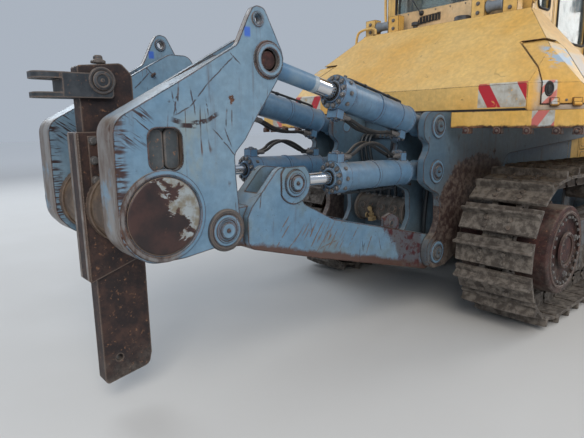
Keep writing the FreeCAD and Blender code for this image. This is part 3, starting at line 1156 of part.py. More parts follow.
engine_low = d.hull_deck
engine = slab("engine_mass", "XZ", [
    (2480, engine_low), (3700, engine_low), (3700, 2080, 60), (3500, 2230, 60), (2560, 2230, 60),
    (2480, 2080, 60)], "-430", "430")
finish("engine", engine)
top_panel = slab("hood_panel", "XZ", [
    (d.hood_rear, hood_z(d.hood_rear) - d.hood_sheet), (d.guard_rear, hood_z(d.guard_rear) - d.hood_sheet),
    (d.guard_rear, hood_z(d.guard_rear)), (d.hood_rear, hood_z(d.hood_rear))], "-hood_half", "hood_half")
firewall = slab("firewall", "YZ", [
    (-d.hood_half, d.platform_high), (d.hood_half, d.platform_high),
    (d.hood_half, hood_z(d.hood_rear) - 5), (-d.hood_half, hood_z(d.hood_rear) - 5)],
    "hood_rear", "hood_rear + hood_sheet")
finish("hood", join("hood", top_panel, firewall))
hood_start = d.hood_rear + d.hood_sheet
side_frame = slab("hood_side_frame", "XZ", [
    (d.deck_start, d.hull_deck), (d.guard_rear, d.hull_deck),
    (d.guard_rear, hood_z(d.guard_rear) - d.hood_sheet),
    (hood_start, hood_z(hood_start) - d.hood_sheet), (hood_start, d.platform_high),
    (d.deck_start, d.platform_high)], "hood_half - hood_sheet", "hood_half",
    windows=[[(d.engine_door_rear - gap, d.engine_door_low - gap, 40),
              (d.engine_door_front + gap, d.engine_door_low - gap, 40),
              (d.engine_door_front + gap, hood_z(d.engine_door_front) - 2 * d.hood_sheet, 40),
              (d.engine_door_rear - gap, hood_z(d.engine_door_rear) - 2 * d.hood_sheet, 40)]])
pair("hood_side", side_frame)
engine_door_panel = slab("engine_door_panel", "XZ", [
    (d.engine_door_rear, d.engine_door_low, 34), (d.engine_door_front, d.engine_door_low, 34),
    (d.engine_door_front, hood_z(d.engine_door_front) - 2 * d.hood_sheet - gap, 34),
    (d.engine_door_rear, hood_z(d.engine_door_rear) - 2 * d.hood_sheet - gap, 34)],
    "hood_half - hood_sheet", "hood_half",
    windows=[[(x, 1500 , 12), (x + 46, 1500, 12), (x + 46, 2160, 12), (x, 2160, 12)] for x in range(2760,
        3330, 110)])
engine_hinge = (d.engine_door_rear - gap - d.hinge_radius / 2, d.hood_half + d.fit + d.hinge_radius)
engine_door_parts = [engine_door_panel]
for i, z in enumerate((d.engine_door_low + 160, d.engine_door_low + 840)):
    engine_door_parts.append(rod(f"engine_hinge_{i}", "hinge_radius", "120", (*engine_hinge, z), "Z"))
    engine_door_parts.append(block(f"engine_hinge_pad_{i}", (d.engine_door_rear + 6, d.hood_half - 2, z),
                                   (d.engine_door_rear + 70, d.hood_half + 4, z + 120)))
    engine_door_parts.append(block(f"engine_hinge_tab_{i}", (engine_hinge[0], d.hood_half + d.fit, z),
                                   (d.engine_door_rear + 70, d.hood_half + 12, z + 120)))
pair("engine_door", join("engine_door", *engine_door_parts))

guard_low, guard_top = d.hull_deck, d.hood_front_z + 30
shell_points = [(-d.guard_half, guard_low), (d.guard_half, guard_low), (d.guard_half, guard_top, 70),
                (-d.guard_half, guard_top, 70)]
opening = glazed(-d.guard_half + d.guard_frame, d.guard_half - d.guard_frame, guard_low + d.guard_frame,
                 guard_top - d.guard_frame, 30)
guard_shell = slab("guard_shell", "YZ", shell_points, "guard_rear", "guard_rear + guard_depth",
                   windows=[opening])
radiator = block("radiator_core", (d.guard_rear + 10, -d.guard_half + d.guard_frame - 5,
                                   guard_low + d.guard_frame - 5),
                 (d.guard_rear + 90, d.guard_half - d.guard_frame + 5, guard_top - d.guard_frame + 5))
slats = []
space = (opening[2][1] - opening[0][1]) / (d.slat_count + 1)
for i in range(int(d.slat_count)):
    z = opening[0][1] + space * (i + 1)
    slats.append(block(f"grille_slat_{i}", (d.guard_front - 70, -d.guard_half + d.guard_frame - 5, z - 16),
                       (d.guard_front - 12, d.guard_half - d.guard_frame + 5, z + 16)))
yoke_rear, yoke_back = d.blade_lift_x - 250, d.blade_lift_x - 190
yoke_low, yoke_high = d.blade_lift_z - 60, d.blade_lift_z + 60
cheek_gap = d.blade_barrel_radius + 8
yoke_sides = ((d.guard_half - 10, blade_line - cheek_gap),
              (blade_line + cheek_gap, blade_line + cheek_gap + 48))
yokes = [block(f"yoke_cheek_{i}", (yoke_rear, low, yoke_low), (d.blade_lift_x + 75, high, yoke_high))
         for i, (low, high) in enumerate(yoke_sides)]
yokes.append(block("yoke_back", (yoke_rear, yoke_sides[0][0], yoke_low),
                   (yoke_back, yoke_sides[1][1], yoke_high)))
yoke_bore = rod("yoke_bore", "32 + fit", "400", (d.blade_lift_x, d.guard_half + 40, d.blade_lift_z))
yoke = carve("yoke", join("yoke_whole", *yokes), yoke_bore)
finish("radiator_guard", join("radiator_guard", guard_shell, radiator, *slats, yoke,
                              flip("yoke_right", yoke)))

stack_foot = hood_z(d.stack_x)
stack = rod("stack_pipe", "stack_radius", "stack_height", (d.stack_x, 0, stack_foot - 60), "Z")
muffler = rod("stack_shield", "shield_radius", "stack_height - 290", (d.stack_x, 0, stack_foot + 30), "Z")
bend_z = stack_foot + d.stack_height - 70
tip_pipe = bar_between("stack_tip", "stack_radius", (d.stack_x, 0, bend_z),
                       (d.stack_x - 110, 0, bend_z + 110))
cleaner_foot = hood_z(d.cleaner_x)
cleaner_neck = rod("cleaner_neck", "80", "250", (d.cleaner_x, 0, cleaner_foot - 10), "Z")
cleaner = turned("cleaner_bowl", [(0, 0), (150, 0, 20), (175, 60, 20), (175, 190, 30), (90, 250, 30),
                                  (0, 250)], (0, 0, 0))
cleaner.Placement = FreeCAD.Placement(V(d.cleaner_x, 0, cleaner_foot + 220),
                                      FreeCAD.Rotation(V(1, 0, 0), 90))
under_hood = slab("under_hood", "XZ", [(2300, 2000), (3500, 2000), (3500, hood_z(3500)),
                                       (2300, hood_z(2300))], "-500", "500")
finish("exhaust", gather("exhaust", carve("stack", join("stack_whole", stack, muffler, tip_pipe),
                                          under_hood),
                         carve("cleaner", join("cleaner_whole", cleaner_neck, cleaner), under_hood)))

# Handrails and lamps
def hoop(name, start, end, height, radius=17):
    """A rail on two posts; start and end are its feet."""
    lift = V(0, 0, height)
    a, b = V(*start), V(*end)
    pieces = [bar_between(name + "_a", f"{radius}", a, a + lift),
              bar_between(name + "_b", f"{radius}", b, b + lift),
              bar_between(name + "_top", f"{radius}", a + lift, b + lift)]
    for i, corner in enumerate((a + lift, b + lift)):
        ball = doc.addObject("Part::Sphere", f"{name}_ball_{i}")
        ball.Radius = radius
        ball.Placement.Base = corner
        pieces.append(ball)
    return join(name, *pieces)


fender_rail = hoop("fender_rail", (1740, 1600, d.platform_high), (2240, 1600, d.platform_high), 720)
finish("handrails", both("handrails", fender_rail))

roof_top = d.cab_top + d.roof_thickness
lamps = []
for i, x in enumerate((d.cab_rear - 10, d.cab_front - 110)):
    body = block(f"roof_lamp_{i}", (x, 430, roof_top), (x + 120, 630, roof_top + 130))
    lamps.append(body)
lamps.append(block("guard_lamp", (d.guard_rear + 40, 330, guard_top),
                   (d.guard_rear + 150, 530, guard_top + 130)))
finish("lamps", both("lamps", gather("lamp_set", *lamps)))

# Blade: curved moldboard with wings, cutting edge, push arms and pitch braces
foot = V(d.blade_x, d.blade_foot + d.edge_height, 0)
crest = V(d.blade_x - 40, d.blade_foot + d.blade_height, 0)
chord = crest - foot
half_chord = chord.Length / 2
to_centre = V(chord.y, -chord.x, 0).normalize()
curve_centre = (foot + crest) * 0.5 + to_centre * math.sqrt(d.blade_curve**2 - half_chord**2)


def face_x(z, depth=0):
    """The moldboard's front face at a height, or a depth behind it."""
    reach = d.blade_curve + depth
    return curve_centre.x - math.sqrt(reach**2 - (z - curve_centre.y) ** 2)


def flat_sketch(name, edges, y):
    """A sketch of given edges in the upright plane at one y."""
    drawing = doc.addObject("Sketcher::SketchObject", name)
    drawing.addGeometry(edges, False)
    drawing.Placement = FreeCAD.Placement(V(0, y, 0), FreeCAD.Rotation(V(1, 0, 0), 90))
    return drawing


def swept(name, edges, y, sweep):
    """The area inside some edges in the plane at y, carried along a straight sweep."""
    solid = doc.addObject("Part::Extrusion", name)
    solid.Base = flat_sketch(name + "_outline", edges, y)
    solid.DirMode = "Custom"
    solid.Dir = V(*sweep).normalize()
    solid.LengthFwd = V(*sweep).Length
    solid.Solid = True
    return solid


def skin_edges(front, back, low, high):
    """A curved strip of the moldboard between two depths and two heights."""
    def on(z, depth):
        return V(face_x(z, depth), z, 0)
    mid = (low + high) / 2
    return [Part.Arc(on(low, front), on(mid, front), on(high, front)),
            Part.LineSegment(on(high, front), on(high, back)),
            Part.Arc(on(high, back), on(mid, back), on(low, back)),
            Part.LineSegment(on(low, back), on(low, front))]


wing_run = d.blade_half - d.blade_straight
wing_sweep = (wing_run * math.tan(math.radians(d.wing_angle)), wing_run, 0)
tip_share = 30 / wing_run
tip_sweep = tuple(v * tip_share for v in wing_sweep)
centre_sweep = (0, 2 * d.blade_straight, 0)
skin_low, skin_high = foot.y, crest.y
edge_down = V(foot.x - curve_centre.x, foot.y - curve_centre.y, 0)
edge_down = V(-edge_down.y, edge_down.x, 0).normalize()
edge_down = edge_down * (-1 if edge_down.y > 0 else 1)
edge_foot = foot + edge_down * (d.edge_height / -edge_down.y)
edge_shape = edges_of([(foot.x, foot.y), (edge_foot.x, edge_foot.y),
                       (edge_foot.x - d.edge_thickness, edge_foot.y + 6),
                       (foot.x - d.edge_thickness, foot.y)])
lower_beam = edges_of([(d.beam_back, skin_low + 10, 20), (d.beam_back, skin_low + 300, 20),
                       (face_x(skin_low + 300, 10), skin_low + 300),
                       (face_x(skin_low + 10, 10), skin_low + 10)])
upper_beam = edges_of([(d.beam_back + 20, skin_high - 330, 20), (d.beam_back + 20, skin_high - 110, 60),
                       (face_x(skin_high - 30, 10) - 60, skin_high - 30),
                       (face_x(skin_high - 30, 10), skin_high - 30),
                       (face_x(skin_high - 330, 10), skin_high - 330)])
sections = {"skin": skin_edges(0, d.blade_skin, skin_low, skin_high), "lower": lower_beam,
            "upper": upper_beam}
blade_pieces = []
for name, edges in sections.items():
    blade_pieces.append(swept(f"blade_{name}", edges, -d.blade_straight, centre_sweep))
    wing = swept(f"wing_{name}", edges, d.blade_straight, wing_sweep)
    blade_pieces += [wing, flip(f"wing_{name}_right", wing)]
end_plate = slab("end_plate", "XZ", [
    (foot.x + 30, skin_low), (d.beam_back + 10, skin_low, 40), (d.beam_back + 50, skin_high - 60, 80),
    (crest.x + 40, skin_high, 30), (crest.x + 60, skin_high - 120, 60)], "blade_half - 30", "blade_half")
end_plate.Placement.Base = V(wing_sweep[0], 0, 0)
blade_pieces += [end_plate, flip("end_plate_right", end_plate)]
rib_outline = [(d.beam_back, skin_low + 250), (d.beam_back + 15, skin_high - 300, 80),
               (d.beam_back + 50, skin_high - 120),
               (face_x(skin_high - 120, 10), skin_high - 120), (face_x(crest.y - 500, 10), crest.y - 500),
               (face_x(foot.y + 500, 10), foot.y + 500), (face_x(skin_low + 200, 10), skin_low + 200)]
for y in (330, d.blade_lift_line - 92, d.blade_lift_line + 62, 1230):
    rib = slab(f"blade_rib_{int(y)}", "XZ", rib_outline, f"{y}", f"{y} + 30")
    blade_pieces += [rib, flip(f"blade_rib_{int(y)}_right", rib)]
eye_plate = [(d.blade_eye_x - 74, d.blade_eye_z - 74, 70), (d.blade_eye_x - 74, d.blade_eye_z + 74, 70),
             (face_x(d.blade_eye_z + 130, 10), d.blade_eye_z + 130),
             (face_x(d.blade_eye_z - 130, 10), d.blade_eye_z - 130)]
brace_plate = [(d.brace_eye_x - 84, d.brace_eye_z - 84, 80), (d.brace_eye_x - 84, d.brace_eye_z + 84, 80),
               (face_x(d.brace_eye_z, 10), d.brace_eye_z + 130),
               (face_x(d.brace_eye_z, 10), d.brace_eye_z - 150)]
arm_plate = [(d.blade_pin_x - 100, d.blade_pin_z - 100, 95),
             (d.blade_pin_x - 100, d.blade_pin_z + 100, 95),
             (face_x(560, 10), 560), (face_x(400, 10), 400), (face_x(340, 10), 340)]
arm_half = d.push_arm_width / 2 + d.side_gap
lugs = []
for name, shape, middle, half, thick, pin, (px, pz) in (
        ("eye", eye_plate, d.blade_lift_line, d.eye_width / 2, 30, 40, (d.blade_eye_x, d.blade_eye_z)),
        ("brace", brace_plate, d.push_arm_line, 55 + d.side_gap, 34, 40, (d.brace_eye_x, d.brace_eye_z)),
        ("arm", arm_plate, d.push_arm_line, arm_half, 40, 50, (d.blade_pin_x, d.blade_pin_z))):
    for j, low in enumerate((middle - half - thick, middle + half)):
        lugs.append(slab(f"{name}_plate_{j}", "XZ", shape, f"{low}", f"{low + thick}"))
        if name == "eye":
            lugs.append(rod(f"{name}_stub_{j}", f"{pin}", f"{thick}", (px, low, pz)))
    if name != "eye":
        lugs.append(rod(f"{name}_pin", f"{pin}", f"{2 * half + 2 * thick + 20}",
                        (px, middle - half - thick - 10, pz)))
left_lugs = join("blade_lugs", *lugs)
moldboard = join("moldboard", *blade_pieces, left_lugs, flip("blade_lugs_right", left_lugs))
finish("moldboard", moldboard)
edge_centre = swept("edge_centre", edge_shape, -d.blade_straight, centre_sweep)
edge_wing = swept("edge_wing", edge_shape, d.blade_straight, wing_sweep)
finish("cutting_edge", join("cutting_edge", edge_centre, edge_wing, flip("edge_wing_right", edge_wing)))

arm_low, arm_high = "push_arm_line - push_arm_width / 2", "push_arm_line + push_arm_width / 2"
arm_depth = d.push_arm_height / 2
arm_blank = slab("arm_blank", "XZ", [
    (d.trunnion_x - 145, d.trunnion_z + 145, 143), (d.trunnion_x - 145, d.trunnion_z - 145, 143),
    (d.blade_pin_x - 500, d.blade_pin_z - arm_depth, 200), (d.blade_pin_x + 96, d.blade_pin_z - 96, 94),
    (d.blade_pin_x + 96, d.blade_pin_z + 96, 94), (d.blade_pin_x - 600, d.blade_pin_z + arm_depth + 20,
                                                   200)],
    arm_low, arm_high, holes=[(d.trunnion_x, d.trunnion_z, d.trunnion_radius + d.fit),
                              (d.blade_pin_x, d.blade_pin_z, 50 + d.fit)])
brace_base = [(d.brace_base_x - 170, d.brace_base_z - 190), (d.brace_base_x - 80, d.brace_base_z + 80, 76),
              (d.brace_base_x + 80, d.brace_base_z + 80, 76), (d.brace_base_x + 170, d.brace_base_z - 190)]
arm_parts = [arm_blank]
for j, low in enumerate((d.push_arm_line - 55 - d.side_gap - 30, d.push_arm_line + 55 + d.side_gap)):
    arm_parts.append(slab(f"brace_base_{j}", "XZ", brace_base,
                          f"{max(low, d.push_arm_line - d.push_arm_width / 2)}",
                          f"{min(low + 30, d.push_arm_line + d.push_arm_width / 2)}"))
arm_parts.append(rod("brace_base_pin", "40", "150", (d.brace_base_x, d.push_arm_line - 75,
                                                     d.brace_base_z)))
pair("push_arm", join("push_arm", *arm_parts))
brace_from, brace_to = V(d.brace_base_x, d.push_arm_line, d.brace_base_z), V(d.brace_eye_x,
    d.push_arm_line, d.brace_eye_z)
brace_way = (brace_to - brace_from).normalize()
brace_parts = [bar_between("brace_barrel", "brace_radius", brace_from + brace_way * 130,
                           brace_from + brace_way * 1050),
               bar_between("brace_rod", "brace_radius * 0.6", brace_from + brace_way * 60,
                           brace_to - brace_way * 60),
               rod("brace_eye_a", "76", "110", (brace_from.x, d.push_arm_line - 55, brace_from.z)),
               rod("brace_eye_b", "76", "110", (brace_to.x, d.push_arm_line - 55, brace_to.z))]
brace_bores = [rod(f"brace_bore_{i}", "40 + fit", "140", (p.x, d.push_arm_line - 70, p.z)) for i,
               p in enumerate((brace_from, brace_to))]
finish("blade_braces", both("blade_braces", carve("blade_brace", join("brace_whole", *brace_parts),
                                                  *brace_bores)))

# The origin goes under the middle of the whole machine
doc.recompute()
box = Part.makeCompound([piece.Shape for piece in parts.values()]).BoundBox
dims.set(origin_cell, str(round((box.XMin + box.XMax) / 2, 3)))
doc.recompute()
faults = [item.Name for item in doc.Objects if {"Invalid", "Error"} & set(item.State)]
for node, piece in parts.items():
    if piece.Shape.isNull() or not piece.Shape.isValid() or not piece.Shape.Solids:
        faults.append(node)
if faults:
    raise RuntimeError("not sound: " + ", ".join(faults))
os.makedirs("parts", exist_ok=True)
for node, piece in parts.items():
    piece.Shape.exportStep(f"parts/{node}.step")
whole = Part.makeCompound([piece.Shape for piece in parts.values()])
box = whole.BoundBox
print(f"{len(parts)} nodes, X {box.XMin:.1f}..{box.XMax:.1f}, Y {box.YMin:.1f}..{box.YMax:.1f}, "
      f"Z {box.ZMin:.1f}..{box.ZMax:.1f}")
print(f"volume {whole.Volume / 1e9:.3f} cubic metres, origin_x {dims.get('origin_x')}")
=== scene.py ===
import math
import bmesh
import bpy
import numpy as np
from mathutils import Matrix, Vector


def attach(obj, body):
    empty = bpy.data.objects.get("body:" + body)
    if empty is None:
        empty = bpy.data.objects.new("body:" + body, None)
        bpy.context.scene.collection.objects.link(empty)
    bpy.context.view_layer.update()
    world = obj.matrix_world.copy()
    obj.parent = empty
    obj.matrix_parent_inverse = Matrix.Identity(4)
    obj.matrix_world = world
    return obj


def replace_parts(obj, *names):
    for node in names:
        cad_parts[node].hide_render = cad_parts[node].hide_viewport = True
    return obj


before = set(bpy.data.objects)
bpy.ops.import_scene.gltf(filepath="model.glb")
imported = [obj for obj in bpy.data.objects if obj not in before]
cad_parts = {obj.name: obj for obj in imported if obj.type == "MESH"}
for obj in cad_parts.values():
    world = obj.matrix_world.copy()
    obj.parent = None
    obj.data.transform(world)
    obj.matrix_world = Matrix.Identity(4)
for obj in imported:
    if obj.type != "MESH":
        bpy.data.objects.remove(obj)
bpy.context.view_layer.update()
axleX = 1.048349                     # the part's origin lies this far in front of the sprocket axle
rng = np.random.default_rng(17)


def at(x, y, z):                     # millimetres from the sprocket axle, to the frame's metres
    return np.array([x / 1000 - axleX, y / 1000, z / 1000])


# Camera, floor and light
view = {"spot": at(-4164, -2800, 1694), "yaw": 48.39, "pitch": -11.108, "roll": -0.721, "lens": 30.05}


def makeCamera(v):
    yaw, pitch, roll = (math.radians(v[k]) for k in ("yaw", "pitch", "roll"))
    ahead = np.array([math.cos(yaw) * math.cos(pitch), math.sin(yaw) * math.cos(pitch), math.sin(pitch)])
    right = np.array([math.sin(yaw), -math.cos(yaw), 0])
    up = np.cross(right, ahead)
    right, up = math.cos(roll) * right + math.sin(roll) * up, math.cos(roll) * up - math.sin(roll) * right
    cam = bpy.data.objects.new("camera", bpy.data.cameras.new("camera"))
    cam.data.lens, cam.data.sensor_width, cam.data.clip_end = v["lens"], 36, 400
    turn = np.eye(4)
    turn[:3, 0], turn[:3, 1], turn[:3, 2], turn[:3, 3] = right, up, -ahead, v["spot"]
    cam.matrix_world = Matrix(turn.tolist())
    bpy.context.collection.objects.link(cam)
    bpy.context.scene.camera = cam


makeCamera(view)
light = {"sky": (0.78, 0.87, 1.0, 1), "skyPower": 0.52, "transform": "Standard", "exposure": 0.0,
         "lamps": [("keyLamp", (-9.0, -8.0, 8.5), (-1.5, 0, 1.2), 7, 880, (1, 0.95, 0.88)),
                   ("rimLamp", (-3, 11, 8), (-1, 0, 1.5), 6, 480, (0.88, 0.94, 1)),
                   ("frontLamp", (11, -5, 7), (2, 0, 1), 7, 560, (1, 0.97, 0.93))]}


def makeLights(s):
    bpy.context.scene.view_settings.view_transform = s["transform"]
    bpy.context.scene.view_settings.exposure = s["exposure"]
    world = bpy.data.worlds.new("sky")
    bpy.context.scene.world = world
    world.use_nodes = True
    world.node_tree.nodes["Background"].inputs[0].default_value = s["sky"]
    world.node_tree.nodes["Background"].inputs[1].default_value = s["skyPower"]
    for name, spot, aim, size, power, tint in s["lamps"]:
        lamp = bpy.data.objects.new(name, bpy.data.lights.new(name, "AREA"))
        lamp.data.size, lamp.data.energy, lamp.data.color = size, power, tint
        lamp.location = spot
        lamp.rotation_euler = (Vector(aim) - Vector(spot)).to_track_quat("-Z", "Y").to_euler()
        bpy.context.collection.objects.link(lamp)


makeLights(light)
print("camera and light set")


# Shader helpers: a node with its inputs given as values or as sockets to link
def addNode(tree, kind, inputs=None, **settings):
    new = tree.nodes.new(kind)
    for key, value in settings.items():
        setattr(new, key, value)
    for key, value in (inputs or {}).items():
        if isinstance(value, bpy.types.NodeSocket):
            tree.links.new(value, new.inputs[key])
        else:
            new.inputs[key].default_value = value
    return new


def maths(tree, operation, a, b=0.0, clamp=False):
    return addNode(tree, "ShaderNodeMath", {0: a, 1: b}, operation=operation, use_clamp=clamp).outputs[0]


def remap(tree, value, low, high, toLow=0.0, toHigh=1.0):
    return addNode(tree, "ShaderNodeMapRange", {0: value, 1: low, 2: high, 3: toLow, 4: toHigh},
                   interpolation_type="SMOOTHSTEP").outputs[0]


def blendColours(tree, share, a, b, how="MIX"):
    new = addNode(tree, "ShaderNodeMix", {0: share, 6: a, 7: b}, data_type="RGBA", blend_type=how)
    return new.outputs[2]


def noise(tree, vector, scale, detail=6, rough=0.6, warp=0.0):
    return addNode(tree, "ShaderNodeTexNoise", {"Vector": vector, "Scale": scale, "Detail": detail,
                                                "Roughness": rough, "Distortion": warp}).outputs[0]


def stretched(tree, vector, scale, turn=(0, 0, 0), shift=(0, 0, 0)):
    return addNode(tree, "ShaderNodeMapping", {"Vector": vector, "Scale": scale, "Rotation": turn,
                                               "Location": shift}).outputs[0]


def newGroup(name, inputs, outputs):
    tree = bpy.data.node_groups.new(name, "ShaderNodeTree")
    for label, start in inputs:
        kind = "NodeSocketVector" if label == "Vector" else "NodeSocketFloat"
        socket = tree.interface.new_socket(label, in_out="INPUT", socket_type=kind)
        if kind == "NodeSocketFloat":
            socket.default_value = start
    for label in outputs:
        tree.interface.new_socket(label, in_out="OUTPUT", socket_type="NodeSocketFloat")
    return tree, tree.nodes.new("NodeGroupInput").outputs, tree.nodes.new("NodeGroupOutput").inputs


def edgeGroup():
    # wear where the rounded normal leaves the true one, broken up by noise
    tree, given, out = newGroup("edgeWear", [("Vector", 0), ("Width", 0.01), ("Grain", 14), ("Amount", 0.5)], ["Mask"])
    rounded = addNode(tree, "ShaderNodeBevel", {"Radius": given["Width"]}, samples=6).outputs[0]
    flat = addNode(tree, "ShaderNodeNewGeometry").outputs["Normal"]
    along = addNode(tree, "ShaderNodeVectorMath", {0: rounded, 1: flat}, operation="DOT_PRODUCT").outputs["Value"]
    off = maths(tree, "SUBTRACT", 1.0, along)
    rough = noise(tree, given["Vector"], given["Grain"], 8, 0.72)
    lift = maths(tree, "MULTIPLY", maths(tree, "ADD", rough, -0.62), 0.42)
    sum_ = maths(tree, "ADD", maths(tree, "MULTIPLY", off, given["Amount"]), lift)
    tree.links.new(remap(tree, sum_, 0.0, 0.06), out["Mask"])
    return tree


def chipGroup():
    # spots and flakes: fine noise over a threshold that coarse noise moves
    tree, given, out = newGroup("paintChips", [("Vector", 0), ("Scale", 9), ("Amount", 0.4)], ["Mask", "Rim"])
    coarse = noise(tree, given["Vector"], maths(tree, "MULTIPLY", given["Scale"], 0.22), 3, 0.6)
    fine = noise(tree, given["Vector"], given["Scale"], 10, 0.68, 0.4)
    sum_ = maths(tree, "ADD", maths(tree, "MULTIPLY", coarse, 0.55), maths(tree, "MULTIPLY", fine, 0.75))
    edge = maths(tree, "SUBTRACT", 0.92, maths(tree, "MULTIPLY", given["Amount"], 0.28))
    tree.links.new(remap(tree, maths(tree, "SUBTRACT", sum_, edge), 0.0, 0.012), out["Mask"])
    tree.links.new(remap(tree, maths(tree, "SUBTRACT", sum_, edge), -0.035, 0.01), out["Rim"])
    return tree


def streakGroup():
    # drips: noise drawn out downwards, only on walls
    tree, given, out = newGroup("drips", [("Vector", 0), ("Scale", 9), ("Amount", 0.5)], ["Mask"])
    tall = stretched(tree, given["Vector"], (1, 1, 0.07))
    lines = noise(tree, tall, given["Scale"], 6, 0.7)
    patch = noise(tree, given["Vector"], 1.7, 3, 0.5)
    normal = addNode(tree, "ShaderNodeNewGeometry").outputs["Normal"]
    upright = addNode(tree, "ShaderNodeSeparateXYZ", {0: normal}).outputs[2]
    wall = remap(tree, maths(tree, "ABSOLUTE", upright), 0.75, 0.35)
    sum_ = maths(tree, "MULTIPLY", remap(tree, lines, 0.52, 0.72), remap(tree, patch, 0.42, 0.62))
    tree.links.new(maths(tree, "MULTIPLY", maths(tree, "MULTIPLY", sum_, wall), given["Amount"], True), out["Mask"])
    return tree


def scratchGroup():
    # thin lines: the level curves of stretched noise, in three directions
    tree, given, out = newGroup("scratches", [("Vector", 0), ("Scale", 3), ("Amount", 0.5)], ["Mask"])
    total = None
    for turn, shift in (((0.3, 0.5, 0.2), 0), ((1.1, -0.4, 0.9), 5), ((-0.6, 1.3, 0.4), 11)):
        way = stretched(tree, given["Vector"], (1, 1, 0.16), turn, (shift, 0, 0))
        field = noise(tree, way, given["Scale"], 3, 0.5, 0.6)
        line = remap(tree, maths(tree, "ABSOLUTE", maths(tree, "SUBTRACT", field, 0.5)), 0.006, 0.0015)
        where = remap(tree, noise(tree, given["Vector"], 2.6 + shift * 0.2, 4, 0.6), 0.56, 0.66)
        line = maths(tree, "MULTIPLY", line, where)
        total = line if total is None else maths(tree, "MAXIMUM", total, line)
    tree.links.new(maths(tree, "MULTIPLY", total, given["Amount"], True), out["Mask"])
    return tree


def dirtAndShadeGroup():
    # dust on upward faces, painted shade in corners where ambient occlusion is low, and mud that thins out above a
    # height
    tree, given, out = newGroup("dirtAndShade", [("Vector", 0), ("Top", 0.9), ("Dust", 0.4), ("Corner", 0.12), ("Mud", 0.5)],
                                ["Dust", "Corner", "Mud"])
    normal = addNode(tree, "ShaderNodeNewGeometry").outputs["Normal"]
    upright = addNode(tree, "ShaderNodeSeparateXYZ", {0: normal}).outputs[2]
    rough = noise(tree, given["Vector"], 7, 8, 0.65)
    top = maths(tree, "MULTIPLY", remap(tree, upright, 0.35, 0.95), remap(tree, rough, 0.35, 0.62))
    tree.links.new(maths(tree, "MULTIPLY", top, given["Dust"], True), out["Dust"])
    # painted shade: the corner mask darkens hollows and corners where the surroundings block the light
    hidden = addNode(tree, "ShaderNodeAmbientOcclusion", {"Distance": given["Corner"]}, samples=6).outputs["AO"]
    cornerShadeMask = maths(tree, "MULTIPLY", remap(tree, hidden, 0.72, 0.28), remap(tree, rough, 0.28, 0.6))
    tree.links.new(cornerShadeMask, out["Corner"])
    height = addNode(tree, "ShaderNodeSeparateXYZ", {0: given["Vector"]}).outputs[2]
    level = maths(tree, "ADD", maths(tree, "DIVIDE", height, given["Top"]), maths(tree, "MULTIPLY", rough, 1.5))
    tree.links.new(maths(tree, "MULTIPLY", remap(tree, level, 1.6, 0.95), given["Mud"], True), out["Mud"])
    return tree


groups = {"edge": edgeGroup(), "chip": chipGroup(), "streak": streakGroup(), "scratch": scratchGroup(),
          "dirtAndShade": dirtAndShadeGroup()}


def useGroup(tree, name, inputs):
    new = tree.nodes.new("ShaderNodeGroup")
    new.node_tree = groups[name]
    for key, value in inputs.items():
        if isinstance(value, bpy.types.NodeSocket):
            tree.links.new(value, new.inputs[key])
        else:
            new.inputs[key].default_value = value
    return new.outputs


def startMaterial(name):
    new = bpy.data.materials.new(name)
    new.use_nodes = True
    tree = new.node_tree
    shader = tree.nodes["Principled BSDF"]
    here = addNode(tree, "ShaderNodeTexCoord").outputs["Object"]
    return new, tree, shader, here


mudTone, mudDry = (0.062, 0.050, 0.041, 1), (0.185, 0.160, 0.135, 1)
rustDark, rustWarm = (0.020, 0.012, 0.011, 1), (0.115, 0.050, 0.028, 1)


def rustColour(tree, here, dark=rustDark, warm=rustWarm):
    first = blendColours(tree, remap(tree, noise(tree, here, 11, 8, 0.7), 0.38, 0.66), dark, warm)
    return blendColours(tree, remap(tree, noise(tree, here, 47, 6, 0.6), 0.6, 0.72), first, (0.24, 0.12, 0.065, 1))


def axes(tree, vector):
    return addNode(tree, "ShaderNodeSeparateXYZ", {0: vector}).outputs


def within(tree, value, low, high, soft=0.002):
    # one between two limits, falling off over a short way
    return maths(tree, "MULTIPLY", remap(tree, value, low - soft, low + soft), remap(tree, value, high + soft, high - soft))


def product(tree, *factors):
    total = factors[0]
    for factor in factors[1:]:
        total = maths(tree, "MULTIPLY", total, factor)
    return total


def hazardTape(tree, here, colour, s):
    # slanting red bands on a worn white ground: red where (u + lean v - shift) / period has a small fraction
    x, y, z = axes(tree, here)
    facing = addNode(tree, "ShaderNodeNewGeometry").outputs["Normal"]
    rearward = remap(tree, axes(tree, facing)[0], -0.55, -0.7)
    beside = maths(tree, "ABSOLUTE", y)
    u = remap(tree, beside, s["from"], s["to"])
    u = addNode(tree, "ShaderNodeMapRange", {0: beside, 1: s["from"], 2: s["to"]}).outputs[0]
    v = addNode(tree, "ShaderNodeMapRange", {0: z, 1: s["low"], 2: s["high"]}).outputs[0]
    slant = maths(tree, "ADD", u, maths(tree, "MULTIPLY", v, s["lean"]))
    band = maths(tree, "FRACT", maths(tree, "DIVIDE", maths(tree, "SUBTRACT", slant, s["shift"]), s["period"]))
    red = remap(tree, band, s["share"] + 0.012, s["share"] - 0.012)
    worn = noise(tree, here, 26, 9, 0.7, 0.6)
    ground = blendColours(tree, remap(tree, noise(tree, here, 15, 6, 0.6), 0.4, 0.7), (0.52, 0.53, 0.50, 1),
                          (0.36, 0.31, 0.24, 1))
    tape = blendColours(tree, red, ground, s["red"])
    area = product(tree, within(tree, beside, s["from"], s["to"]), within(tree, z, s["low"], s["high"]), rearward)
    area = maths(tree, "MULTIPLY", area, remap(tree, worn, s["worn"] + 0.03, s["worn"]))
    return blendColours(tree, area, colour, tape)


